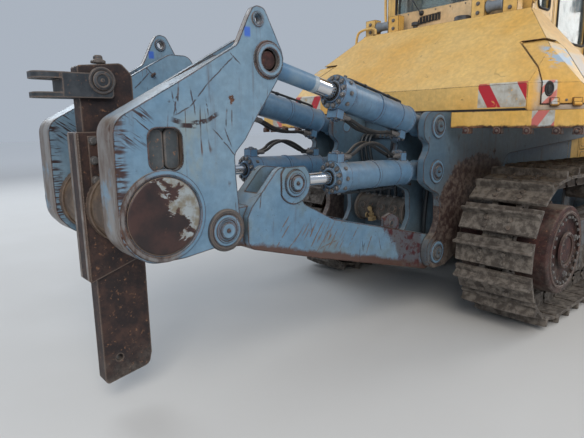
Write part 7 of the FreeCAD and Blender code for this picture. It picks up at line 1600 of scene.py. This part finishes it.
def makeLamps(s):
    # lenses, rims and brackets on the six lamps
    rims, lenses, feet = [], [], []
    for x0, x1, z0, ys, way in ((490, 610, 3680, (530, -530), -1), (2020, 2140, 3680, (530, -530), 1), (3940, 4050, 2450, (430, -430), 1)):
        face = x0 if way < 0 else x1
        for y in ys:
            a, b = sorted((face - way * 2, face + way * 9))
            outer, inner = roundedBox(y - 96, y + 96, z0 + 8, z0 + 126, 20), roundedBox(y - 80, y + 80, z0 + 22, z0 + 112, 14)
            count = len(outer)
            levels = [(outer, face - way * 2), (outer, face + way * 8), (inner, face + way * 8), (inner, face - way * 2)]
            points = np.concatenate([[at(x, u, v) for u, v in loop] for loop, x in levels])
            rims.append((points, gridFaces(4, count, True, True)))
            lens = prism(inner, min(face - way, face + way * 4), max(face - way, face + way * 4), "YZ")
            lenses.append(lens)
            for k in range(7):
                lenses.append(blocks(((min(face + way * 3, face + way * 5.5), y - 72 + 22 * k, z0 + 26),
                                      (max(face + way * 3, face + way * 5.5), y - 60 + 22 * k, z0 + 108))))
            feet.append(blocks((((x0 + x1) / 2 - 45, y - 70, z0 - 3), ((x0 + x1) / 2 + 45, y + 70, z0 + 6))))
    addPiece("lampRims", *gather(rims), "darkPaint", "machine", "dark_paint")
    addPiece("lampLenses", *gather(lenses), "lensGlass", "machine", "glass")
    addPiece("lampFeet", *gather(feet), "yellowPaint", "machine", "yellow_paint", bevel=0.002)


makeCabTrim(cab)
makeDoors(cab)
makeSeat(cab)
makeControls(cab)
makeLamps(cab)
print("cab fitted")
# Hood, engine doors, radiator guard, exhaust and handrails
hood = {"half": 590, "rear": 2170, "front": 3895, "rearTop": 2560, "frontTop": 2420, "doorRear": 2640, "doorFront": 3640,
        "doorLow": 1330, "slots": tuple(range(2760, 3330, 110)), "guardFront": 4110, "guardHalf": 640, "guardLow": 1100,
        "guardTop": 2450, "guardFrame": 90, "stackX": 3050, "cleanerX": 2700}


def hoodTop(x, s=hood):
    return s["rearTop"] + (s["frontTop"] - s["rearTop"]) * (x - s["rear"]) / (s["front"] - s["rear"])


def makeHood(s):
    half = s["half"]
    # two long beads, cross seams, a filler hatch and rows of intake fins on top
    trim = []
    for y in (-455, 455):
        trim.append(prism([(s["rear"] + 60, hoodTop(s["rear"] + 60) - 3), (s["front"] - 60, hoodTop(s["front"] - 60) - 3),
                           (s["front"] - 80, hoodTop(s["front"] - 80) + 9), (s["rear"] + 80, hoodTop(s["rear"] + 80) + 9)], y - 22, y + 22))
    for x in (2410, 2960, 3480):
        trim.append(prism([(x - 16, hoodTop(x) - 3), (x + 16, hoodTop(x) - 3), (x + 10, hoodTop(x) + 4), (x - 10, hoodTop(x) + 4)], -430, 430))
    hatchX = 3660
    trim.append(prism([(hatchX - 110, hoodTop(hatchX) - 3), (hatchX + 110, hoodTop(hatchX) - 12), (hatchX + 110, hoodTop(hatchX) + 4),
                       (hatchX - 110, hoodTop(hatchX) + 20)], -150, 150))
    addPiece("hoodTrim", *gather(trim), "yellowPaint", "machine", "yellow_paint", bevel=0.004)
    fins = []
    for x in np.arange(3130, 3440, 44):
        for y in (-320, 70):
            z = hoodTop(x)
            fins.append(prism([(x - 4, z - 4), (x, z - 4), (x + 22, z + 16), (x + 18, z + 18)], y, y + 250))
    addPiece("hoodFins", *gather(fins), "darkPaint", "machine", "dark_paint", bevel=0.001)
    heads = [(x, y, hoodTop(x) - 1) for x in np.arange(2240, 3880, 150) for y in (-560, 560)]
    addPiece("hoodBolts", *boltsAt(heads, (0.08, 0, 1), 0.013), "boltSteel", "machine", "rusty_steel")
    # side panels below the doors: a stiffening bead and bolts along the foot
    sides = [sweep(loopPath(2260, 2590, 1180, 2440, 60, "XZ", sign * (half - 1)), 0.006, 8, True) for sign in (1, -1)]
    sides += [sweep(loopPath(2680, 3600, 1150, 1296, 36, "XZ", sign * (half - 1)), 0.006, 8, True) for sign in (1, -1)]
    addPiece("sideBeads", *gather(sides), "yellowPaint", "machine", "yellow_paint")
    spots = [(x, sign * half, 1128) for x in np.arange(2260, 3880, 135) for sign in (1,)]
    spots += [(x, half, z) for x in (2234, 3870) for z in np.arange(1220, 2400, 190)]
    addPiece("sideBolts", *sided([boltsAt(spots, (0, 1, 0), 0.014)]), "boltSteel", "machine", "rusty_steel")


def makeEngineDoors(s):
    for sideName, sign in (("left", 1), ("right", -1)):
        body, half = "engine_door_" + sideName, s["half"]
        fins, beads = [], [sweep(loopPath(s["doorRear"] + 34, s["doorFront"] - 34, s["doorLow"] + 34, 2386, 50, "XZ", sign * (half - 2)),
                                 0.0065, 8, True)]
        # a bent fin over each slot, and a rolled rim round it
        for x in s["slots"]:
            a, b = sorted((sign * (half - 6), sign * (half + 22)))
            near, far = (a, b) if sign > 0 else (b, a)
            fin = [(x - 6, near), (x + 2, near), (x + 40, far), (x + 46, far), (x + 46, far + sign * 3), (x + 38, far + sign * 3)]
            fins.append(prism(fin, 1512, 2148, "XY"))
            beads.append(sweep(loopPath(x - 5, x + 51, 1495, 2165, 14, "XZ", sign * half), 0.0035, 6, True))
        addPiece("doorFins_" + sideName, *gather(fins), "yellowPaint", body, "yellow_paint", bevel=0.0012)
        addPiece("doorRims_" + sideName, *gather(beads), "yellowPaint", body, "yellow_paint")
        # two paddle latches and a pull near the front edge, bolts in the hinge straps
        latches = []
        for z in (1560, 2100):
            latches.append(prism(roundedBox(3540, 3604, z - 60, z + 60, 14), sign * (half - 1), sign * (half + 5)))
            latches.append(prism([(3556, z - 38), (3588, z - 38), (3588, z + 26), (3556, z + 26)], sign * (half + 4), sign * (half + 13)))
            latches.append(disc([(0, 0), (0.012, 0), (0.012, 0.010), (0, 0.012)], 3572, sign * (half + 4), z + 42, (0, sign, 0), 16))
        latches.append(pipe([(3510, sign * (half - 2), 1760), (3510, sign * (half + 46), 1760), (3510, sign * (half + 46), 1920),
                             (3510, sign * (half - 2), 1920)], 9, 10))
        addPiece("doorLatches_" + sideName, *gather(latches), "darkPaint", body, "dark_paint", bevel=0.002)
        heads = [(2640 + dx, sign * (half + 12), s["doorLow"] + dz + up) for dx in (32, 56) for dz in (160, 840) for up in (28, 92)]
        addPiece("doorScrews_" + sideName, *boltsAt(heads, (0, sign, 0), 0.011), "boltSteel", body, "rusty_steel")


def makeGuard(s):
    front, half, low, top, frameWide = s["guardFront"], s["guardHalf"], s["guardLow"], s["guardTop"], s["guardFrame"]
    # radiator core: fine upright fins behind the slats, with cross tubes
    y = np.linspace(-half + frameWide + 3, half - frameWide - 3, 421)
    x = 4006 + 5 * np.abs(((np.arange(len(y)) % 4) - 2) / 2)
    core = np.stack([np.stack([x / 1000 - axleX, y / 1000, np.full(len(y), z)], -1) for z in ((low + frameWide + 3) / 1000, (top - frameWide - 3) / 1000)])
    addPiece("radiatorFins", core.reshape(-1, 3), gridFaces(2, len(y)), "radiatorMetal", "machine", "dark_paint", flat=True, recalc=False)
    tubes = [blocks(((4006, -half + frameWide + 3, z - 4), (4014, half - frameWide - 3, z + 4))) for z in np.arange(low + 140, top - 120, 58)]
    addPiece("radiatorTubes", *gather(tubes), "radiatorMetal", "machine", "dark_paint")
    # frame: bolts round its face, welded seams, corner gussets and a crank-hole cover
    spots = [(front, yy, z) for yy in (-half + 42, half - 42) for z in np.arange(low + 70, top - 40, 118)]
    spots += [(front, yy, z) for z in (low + 42, top - 42) for yy in np.arange(-half + 150, half - 100, 122)]
    addPiece("guardBolts", *boltsAt(spots, (1, 0, 0), 0.021), "boltSteel", "machine", "rusty_steel")
    seams = [sweep(loopPath(-half + frameWide, half - frameWide, low + frameWide, top - frameWide, 30, "YZ", front - 0.5), 0.007, 8, True)]
    for sign in (1, -1):
        for z in (2240, 2360):
            seams.append(weld([at(3712, sign * (half + 1), z), at(4012, sign * (half + 1), z)], 0.007))
        for z, dz in ((low + frameWide, 80), (top - frameWide, -80)):
            seams.append(prism([(sign * (half - frameWide + 2), z - 3 * np.sign(dz)), (sign * (half - frameWide - 80), z - 3 * np.sign(dz)),
                                (sign * (half - frameWide + 2), z + dz)], front - 60, front - 44, "YZ"))
    addPiece("guardSeams", *gather(seams), "yellowPaint", "machine", "yellow_paint", bevel=0.001)
    plates = [prism(roundedBox(sign * 300 - 120, sign * 300 + 120, 1112, 1176, 18), front - 2, front + 5, "YZ") for sign in (1, -1)]
    addPiece("guardPlates", *gather(plates), "darkPaint", "machine", "dark_paint", bevel=0.002)


def makeExhaust(s):
    x = s["stackX"]
    foot = hoodTop(x)
    # heat shield: two rolled ends, upright slots, clamp straps; a collar on the hood and the pipe's rolled lip
    parts = [disc([(0.101, 0), (0.107, 0.002), (0.107, 0.016), (0.101, 0.018)], x, 0, foot + 34 + h, (0, 0, 1), 56) for h in (0, 418)]
    parts += [disc([(0.1005, 0), (0.1035, 0.001), (0.1035, 0.026), (0.1005, 0.027)], x, 0, foot + h, (0, 0, 1), 56) for h in (150, 330)]
    parts += [disc([(0.06, -0.004), (0.150, -0.004), (0.150, 0.008), (0.140, 0.014), (0.112, 0.016), (0.106, 0.034), (0.06, 0.034)], x, 0,
                   foot, (0, 0, 1), 56)]
    parts += [disc([(0.063, 0), (0.069, 0.003), (0.069, 0.018), (0.063, 0.021)], x, 0, foot + h, (0, 0, 1), 40) for h in (500, 560)]
    lip = (-110 / 155.6, 0, 110 / 155.6)
    parts.append(disc([(0.048, -0.02), (0.056, 0.004), (0.064, 0.006), (0.067, 0.0), (0.064, -0.006)], x - 110, 0, foot + 800, lip, 40))
    addPiece("stackTrim", *gather(parts), "rustySteel", "machine", "rusty_steel")
    slots = []
    for a in np.arange(18) * np.pi / 9:
        c, n = math.cos(a), math.sin(a)
        for low in (185, 365):
            centre, side = np.array([c, n]), np.array([-n, c])
            corners = [(x + 101.5 * c + u * side[0], 101.5 * n + u * side[1]) for u in (-5, 5)]
            inner = [(px - 4 * c, py - 4 * n) for px, py in corners][::-1]
            slots.append(prism(corners + inner, foot + low, foot + low + (130 if low < 200 else 70), "XY"))
    addPiece("stackSlots", *gather(slots), "sealRubber", "machine", "dark_paint")
    spots = circleSpots(at(x, 0, foot + 8), (0, 0, 1), 0.130, 8)
    x = s["cleanerX"]
    bowl = hoodTop(x) + 220
    spots = np.concatenate([spots, circleSpots(at(x, 0, hoodTop(x) + 9), (0, 0, 1), 0.112, 8)])
    addPiece("stackBolts", *bolts(spots, (0, 0, 1), 0.012), "boltSteel", "machine", "rusty_steel")
    # air cleaner: mesh band, clamp, top cap, collar and neck band
    parts = [disc([(0.08, -0.004), (0.128, -0.004), (0.128, 0.008), (0.120, 0.012), (0.088, 0.014), (0.082, 0.030)], x, 0, hoodTop(x), (0, 0, 1), 48),
             disc([(0.078, 0), (0.087, 0.002), (0.087, 0.022), (0.078, 0.024)], x, 0, hoodTop(x) + 120, (0, 0, 1), 48),
             disc([(0.170, 0), (0.181, 0.004), (0.184, 0.012), (0.181, 0.020), (0.170, 0.024)], x, 0, bowl + 176, (0, 0, 1), 64),
             disc([(0.0, 0.004), (0.030, 0.004), (0.032, 0.016), (0.012, 0.022), (0.010, 0.042), (0, 0.044)], x, 0, bowl + 246, (0, 0, 1), 24)]
    for i in range(22):
        a = i * 2 * np.pi / 22
        c, n = math.cos(a), math.sin(a)
        parts.append(prism([(x + 174 * c - 4 * n, 174 * n + 4 * c), (x + 174 * c + 4 * n, 174 * n - 4 * c), (x + 182 * c + 3 * n, 182 * n - 3 * c),
                            (x + 182 * c - 3 * n, 182 * n + 3 * c)], bowl + 76, bowl + 168, "XY"))
    addPiece("cleanerTrim", *gather(parts), "darkPaint", "machine", "dark_paint")


def makeRails():
    feet = [disc([(0, -0.003), (0.046, -0.003), (0.046, 0.006), (0.040, 0.010), (0.020, 0.012), (0.018, 0.030)], x, 1600, 1764, (0, 0, 1), 28)
            for x in (1740, 2240)]
    feet.append(pipe([(1740, 1600, 2130), (1990, 1600, 2130), (2240, 1600, 2130)], 13, 12))
    addPiece("railFeet", *sided(feet), "handrailPaint", "machine", "yellow_paint")
    spots = [(x + 33 * math.cos(a), 1600 + 33 * math.sin(a), 1769) for x in (1740, 2240) for a in (0.8, 2.4, 3.9, 5.5)]
    addPiece("railBolts", *sided([boltsAt(spots, (0, 0, 1), 0.009)]), "boltSteel", "machine", "rusty_steel")


makeHood(hood)
makeEngineDoors(hood)
makeGuard(hood)
makeExhaust(hood)
makeRails()
print("hood fitted")
# Blade: edge bolts, weld beads, ribs, a crest lip, pin ends, brace collars and the lift cylinders' dressing
blade = {"foot": (5120, 320), "edgeFoot": (5285, 60), "straight": 1450, "half": 2100, "wing": math.tan(math.radians(22)),
         "centre": (6259.7, 1043.6), "curve": 1350, "lift": ((3950, 790, 2300), (4750, 790, 950)), "barrel": 74, "rod": 38,
         "brace": ((3300, 1560, 720), (4810, 1560, 1250)), "braceRadius": 70, "trunnion": (1700, 620), "pin": (4700, 430)}


def bladeSpot(y, z, depth=0.0):
    # a spot on the moldboard's curved front, or behind it
    reach = blade["curve"] + depth
    x = blade["centre"][0] - math.sqrt(reach ** 2 - (z - blade["centre"][1]) ** 2)
    return at(x + blade["wing"] * max(0, abs(y) - blade["straight"]), y, z)


def makeBlade(s):
    # countersunk bolts in two rows along the cutting edge
    spots, normals = [], []
    for share in (0.28, 0.72):
        x = s["foot"][0] + (s["edgeFoot"][0] - s["foot"][0]) * share
        z = s["foot"][1] + (s["edgeFoot"][1] - s["foot"][1]) * share
        for y in np.arange(-2040, 2041, 136):
            over = max(0, abs(y) - s["straight"])
            spots.append(at(x + s["wing"] * over, y, z))
            normals.append((0.844, -0.341 * np.sign(y) if over else 0, 0.536))
    heads = []
    for spot, normal in zip(spots, normals):
        heads.append(lathe([(0, 0.002), (0.013, 0.002), (0.015, 0.0035), (0.024, 0.005), (0.028, 0.003), (0.029, -0.003)], spot, normal, 20))
    addPiece("edgeBolts", *gather(heads), "boltSteel", "blade", "rusty_steel")
    # joints between the edge's plates, a weld along its top, beads at the wings' folds and round the crest
    line = lambda z, lift: [bladeSpot(y, z) + np.array([lift, 0, 0]) for y in (-s["half"] + 12, -s["straight"], s["straight"], s["half"] - 12)]
    seams = [weld(line(324, 0.002), 0.007)]
    for sign in (1, -1):
        seams.append(weld([bladeSpot(sign * s["straight"], z) + np.array([0.001, 0, 0]) for z in np.linspace(330, 1690, 18)], 0.006))
        seams.append(weld([bladeSpot(sign * s["straight"], z, 40) - np.array([0.001, 0, 0]) for z in np.linspace(760, 1690, 14)], 0.006))
    addPiece("bladeWelds", *gather(seams), "rustySteel", "blade", "rusty_steel")
    # upright ribs on the blade's back between its beams, and a lip along the crest
    ribs = []
    for y in (-1280, -640, -200, 200, 640, 1280):
        front = [(1000 * (bladeSpot(y, z, 39)[0] + axleX), z) for z in np.linspace(700, 1640, 9)]
        ribs.append(prism(front + [(front[-1][0] - 60, 1640), (4835, 1180), (4835, 760), (front[0][0] - 60, 700)], y - 10, y + 10))
    addPiece("bladeRibs", *gather(ribs), "yellowPaint", "blade", "yellow_paint", bevel=0.003)
    lip = [sweep([bladeSpot(y, 1694, 20) for y in (-s["half"] + 14, -s["straight"], 0, s["straight"], s["half"] - 14)], 0.016, 10)]
    addPiece("bladeLip", *gather(lip), "bladePaint", "blade", "yellow_paint")
    # pins: push arm to blade, and trunnion caps
    ends = []
    for x, z in (s["pin"],):
        ends += [disc([(0, 0.02), (0.010, 0.02), (0.014, 0.016), (0.044, 0.016), (0.050, 0.010), (0.052, 0.0), (0.074, 0.0), (0.080, -0.006)],
                      x, 1634, z, (0, 1, 0), 48)]
    addPiece("bladePins", *sided(ends), "hitchSteel", "blade", "rusty_steel")
    cap = [disc([(0, 0.018), (0.030, 0.018), (0.036, 0.012), (0.100, 0.012), (0.108, 0.004), (0.110, -0.004)], s["trunnion"][0], 1636,
                s["trunnion"][1], (0, 1, 0), 64)]
    addPiece("trunnionCaps", *sided(cap), "yellowPaint", "blade", "yellow_paint")
    heads = bolts(circleSpots(at(s["trunnion"][0], 1648, s["trunnion"][1]), (0, 1, 0), 0.082, 8), (0, 1, 0), 0.018)
    addPiece("trunnionBolts", *sided([heads]), "boltSteel", "blade", "rusty_steel")
    # braces: threaded sleeves and lock nuts
    start, end = at(*s["brace"][0]), at(*s["brace"][1])
    along = (end - start) / np.linalg.norm(end - start)
    length = np.linalg.norm(end - start)
    r = s["braceRadius"] / 1000
    parts = []
    for where in (0.30, 0.74):
        parts.append(lathe([(r - 0.002, -0.05), (r + 0.012, -0.05), (r + 0.016, -0.046), (r + 0.016, 0.046), (r + 0.012, 0.05),
                            (r - 0.002, 0.05)], start + along * length * where, along, 6))
    for where in (0.42, 0.52, 0.62):
        parts.append(lathe([(r - 0.002, -0.010), (r + 0.006, -0.008), (r + 0.006, 0.008), (r - 0.002, 0.010)],
                           start + along * length * where, along, 48))
    addPiece("braceCollars", *sided(parts), "yellowPaint", "blade", "yellow_paint", bevel=0.002)


def dressBladeLift(s):
    # gland, ports, bands and rigid oil pipes on the two lift cylinders
    rings, heads, seals, pipes = [], [], [], []
    r, rod = s["barrel"] / 1000, s["rod"] / 1000
    for sign in (1, -1):
        start, end = at(s["lift"][0][0], sign * 790, s["lift"][0][2]), at(s["lift"][1][0], sign * 790, s["lift"][1][2])
        along = (end - start) / np.linalg.norm(end - start)
        up = np.array([-along[2], 0, along[0]])
        side = np.cross(along, up)
        face = start + along * 0.760
        rings.append(lathe([(rod + 0.004, -0.002), (r - 0.016, -0.002), (r - 0.016, 0.010), (r - 0.022, 0.014), (rod + 0.012, 0.014),
                            (rod + 0.004, 0.008)], face, along, 48))
        seals.append(lathe([(rod + 0.0015, 0.004), (rod + 0.0035, 0.018), (rod + 0.009, 0.018), (rod + 0.012, 0.012),
                            (rod + 0.012, 0.004)], face, along, 40))
        heads.append(bolts(circleSpots(face, along, r - 0.008, 10, 0.2), along, 0.020))
        for where, height, width in ((0.655, 0.006, 0.006), (0.60, 0.004, 0.010), (0.12, 0.006, 0.014), (-0.262, 0.005, 0.008)):
            rings.append(lathe([(r - 0.002, -width), (r + height, -width * 0.7), (r + height, width * 0.7), (r - 0.002, width)],
                               start + along * where, along, 56))
        line = [start + along * 0.700 + up * (r - 0.004), start + along * 0.700 + up * (r + 0.030), start + along * 0.62 + up * (r + 0.030),
                start + along * -0.05 + up * (r + 0.030), start + along * -0.10 + up * (r + 0.030), start + along * -0.10 + up * (r - 0.004)]
        path = np.array(line)
        for _ in range(2):
            a, b = path[:-1], path[1:]
            path = np.concatenate([path[:1], np.stack([a * 0.75 + b * 0.25, a * 0.25 + b * 0.75], 1).reshape(-1, 3), path[-1:]])
        pipes.append(sweep(path, 0.010, 10))
        for where in (0.50, 0.25):
            pipes.append(lathe([(0.009, -0.010), (0.016, -0.009), (0.016, 0.009), (0.009, 0.010)], start + along * where + up * (r + 0.030),
                               along, 12))
    addPiece("bladeGlands", *gather(rings), "barrelPaint", "blade_barrels", "grey_paint")
    addPiece("bladeWipers", *gather(seals), "sealRubber", "blade_barrels", "black_plastic")
    addPiece("bladeGlandBolts", *gather(heads), "boltSteel", "blade_barrels", "rusty_steel")
    addPiece("bladeOilPipes", *gather(pipes), "lineSteel", "blade_barrels", "dark_paint")


makeBlade(blade)
dressBladeLift(blade)
print("blade fitted")
# Undercarriage: drive covers and bolts, roller ends, idler hubs, frame bolts and mud shelves
drive = {"sprocket": (0, 665), "idler": (3550, 625), "face": 1420, "hub": 300, "frameFace": 1241,
         "rollers": (760, 2860), "rollerZ": 341, "carriers": ((1270, 1001), (2540, 972)), "carrierFace": 1213, "trunnion": (1700, 620),
         "mud": ((800, 2860, 1110, 1236, 760, 34), (800, 2860, 952, 1080, 760, 30))}


def makeDrives(s):
    x, z = s["sprocket"]
    face, r = s["face"], s["hub"] / 1000
    rims = [disc([(r - 0.010, 0.0), (r - 0.004, 0.008), (r + 0.010, 0.010), (r + 0.020, 0.002), (r + 0.022, -0.006)], x, face, z, (0, 1, 0), 120),
            disc([(0.118, -0.002), (0.118, 0.012), (0.126, 0.018), (0.140, 0.018), (0.148, 0.010), (0.150, -0.002)], x, face, z, (0, 1, 0), 80),
            disc([(0, 0.002), (0.050, 0.004), (0.104, 0.002), (0.108, -0.002)], x, face, z, (0, 1, 0), 64)]
    addPiece("driveRims", *sided(rims), "driveRust", "machine", "rusty_steel")
    heads = [bolts(circleSpots(at(x, face, z), (0, 1, 0), r - 0.032, 24), (0, 1, 0), 0.021),
             bolts(circleSpots(at(x, face + 18, z), (0, 1, 0), 0.133, 12), (0, 1, 0), 0.012)]
    plugs = [disc([(0, 0), (0.026, 0), (0.026, 0.010), (0.018, 0.014), (0.018, 0.024), (0, 0.026)], x + 195 * math.cos(a), face,
                  z + 195 * math.sin(a), (0, 1, 0), 6) for a in (-1.57, 0.4)]
    addPiece("driveBolts", *sided([*heads, *plugs]), "boltSteel", "machine", "rusty_steel")


def makeFrames(s):
    y, rollerZ = s["frameFace"], s["rollerZ"]
    spots = np.linspace(*s["rollers"], 7)
    caps, heads, plates, seams, shafts = [], [], [], [], []
    for x in spots:
        # shaft ends show through the guards, each kept by a collar and two bolts
        caps.append(disc([(0.052, -0.001), (0.052, 0.006), (0.047, 0.010), (0.037, 0.010), (0.034, 0.004), (0.034, -0.001)], x, y, rollerZ,
                         (0, 1, 0), 40))
        shafts.append(disc([(0, 0.007), (0.008, 0.006), (0.012, 0.009), (0.030, 0.009), (0.034, 0.004), (0.034, -0.001)], x, y, rollerZ,
                           (0, 1, 0), 32))
        heads.append(boltsAt([(x - 62, y, 468), (x + 62, y, 468)], (0, 1, 0), 0.019))
    for x in (spots[:-1] + spots[1:]) / 2:
        heads.append(boltsAt([(x, y, 300), (x, y, 430)], (0, 1, 0), 0.017))
        plates.append(prism(roundedBox(x - 26, x + 26, 284, 446, 12), y - 1, y + 7, "XZ"))
    # idler bearing blocks, guide strips and the track adjuster's cover
    x, z = s["idler"]
    plates.append(prism(roundedBox(x - 122, x + 122, z - 88, z + 88, 22), y - 1, y + 22, "XZ"))
    heads.append(boltsAt([(x + i * 94, y + 22, z + j * 60) for i in (-1, 1) for j in (-1, 1)], (0, 1, 0), 0.026))
    caps.append(disc([(0.078, -0.001), (0.078, 0.010), (0.070, 0.016), (0.054, 0.016), (0.048, 0.006), (0.048, -0.001)], x, y + 22, z, (0, 1, 0), 56))
    shafts.append(disc([(0, 0.012), (0.010, 0.012), (0.014, 0.007), (0.042, 0.008), (0.048, 0.003), (0.048, -0.001)], x, y + 22, z, (0, 1, 0), 40))
    for low, high in ((z - 112, z - 92), (z + 92, z + 112)):
        plates.append(prism(roundedBox(3030, x + 150, low, high, 6), y - 1, y + 12, "XZ"))
    plates.append(prism(roundedBox(2460, 2760, 552, 700, 30), y - 1, y + 9, "XZ"))
    heads.append(boltsAt([(px, y + 9, pz) for px in (2490, 2610, 2730) for pz in (576, 676)], (0, 1, 0), 0.016))
    shafts.append(disc([(0, 0.018), (0.008, 0.018), (0.010, 0.012), (0.018, 0.012), (0.020, 0.0), (0.020, -0.001)], 2610, y + 9, 626, (0, 1, 0), 6))
    # carrier rollers: end covers on the outer side
    for x, z in s["carriers"]:
        caps.append(disc([(0.060, -0.001), (0.060, 0.008), (0.054, 0.013), (0, 0.013)], x, s["carrierFace"], z, (0, 1, 0), 40))
        heads.append(sidedBolts((x, s["carrierFace"] + 13, z), 0.040, 4, 0.012))
    # weld beads along the box's upper edge and at the guards' foot, and the trunnion's cover
    for ends in (((640, 492), (2990, 492)), ((2962, 738), (2962, 545)), ((600, 560), (600, 648))):
        seams.append(weld([at(ends[0][0], y, ends[0][1]), at(ends[1][0], y, ends[1][1])], 0.0055))
    x, z = s["trunnion"]
    caps.append(disc([(0.086, -0.001), (0.086, 0.005), (0.080, 0.008), (0.066, 0.008), (0.060, 0.003), (0, 0.003)], x, 1665, z, (0, 1, 0), 64))
    heads.append(sidedBolts((x, 1668, z), 0.044, 6, 0.017))
    addPiece("rollerCollars", *sided(caps), "driveRust", "machine", "rusty_steel")
    addPiece("rollerShafts", *sided(shafts), "wornEdge", "machine", "worn_edge")
    addPiece("framePlates", *sided(plates), "frameGrey", "machine", "grey_paint", bevel=0.002)
    addPiece("frameBolts", *sided(heads), "boltSteel", "machine", "rusty_steel")
    addPiece("frameSeams", *sided(seams), "frameGrey", "machine", "grey_paint")


def sidedBolts(centre, radius, count, size):
    return bolts(circleSpots(at(*centre), (0, 1, 0), radius, count), (0, 1, 0), size)


def sheet(upper, lower):
    # two grids of the same size joined round their border into one closed form
    rows, columns = upper.shape[:2]
    faces = gridFaces(rows, columns)
    label = np.arange(rows * columns).reshape(rows, columns)
    rim = np.concatenate([label[0, :-1], label[:-1, -1], label[-1, :0:-1], label[:0:-1, 0]])
    after, shift = np.roll(rim, -1), rows * columns
    walls = np.stack([rim, after, after + shift, rim + shift], -1)
    return np.concatenate([upper.reshape(-1, 3), lower.reshape(-1, 3)]), [*faces[:, ::-1], *(faces + shift), *walls]


def makeMud(s):
    # dried mud lies on the frames' tops and on the guards, in lumps that thin out at the edges
    heaps = []
    for x0, x1, y0, y1, base, height in s["mud"]:
        u, v = np.linspace(0, 1, 110), np.linspace(0, 1, 18)
        gridU, gridV = np.meshgrid(u, v, indexing="ij")
        rise = np.sin(np.pi * gridV) ** 0.5 * np.clip(np.minimum(gridU, 1 - gridU) * 14, 0, 1) ** 0.7
        lumps = 0.45 + 0.55 * waves(np.stack([gridU * (x1 - x0) / 1000, gridV * (y1 - y0) / 1000, 0 * gridU], -1), 9, 5)
        top = base - 6 + height * rise * np.clip(lumps, 0.05, 1.2)
        upper = np.stack([(x0 + gridU * (x1 - x0)) / 1000 - axleX, (y0 + gridV * (y1 - y0)) / 1000, top / 1000], -1)
        lower = upper.copy()
        lower[..., 2] = (base - 12) / 1000
        heaps.append(sheet(upper, lower))
    addPiece("frameMud", *sided(heaps), "driedMud", "machine", "track_steel", recalc=True)


makeDrives(drive)
makeFrames(drive)
makeMud(drive)
print("undercarriage fitted")
floorMesh = bpy.data.meshes.new("floor")
floorMesh.from_pydata([(-60, -60, 0), (60, -60, 0), (60, 60, 0), (-60, 60, 0)], [], [(0, 1, 2, 3)])
floor = bpy.data.objects.new("floor", floorMesh)
bpy.context.collection.objects.link(floor)
floorFinish = plainFinish("floorPaint", (0.66, 0.65, 0.63, 1), 0.85, 0, 0.03, 0.6, 0.02, 0.0)
tree = floorFinish.node_tree
shader = next(node for node in tree.nodes if node.type == "BSDF_PRINCIPLED")
reach = addNode(tree, "ShaderNodeVectorMath", {0: addNode(tree, "ShaderNodeTexCoord").outputs["Object"]}, operation="LENGTH").outputs[1]
far = blendColours(tree, remap(tree, reach, 7, 26), shader.inputs["Base Color"].links[0].from_socket, (0.97, 0.965, 0.955, 1))
tree.links.new(far, shader.inputs["Base Color"])
floorMesh.materials.append(floorFinish)
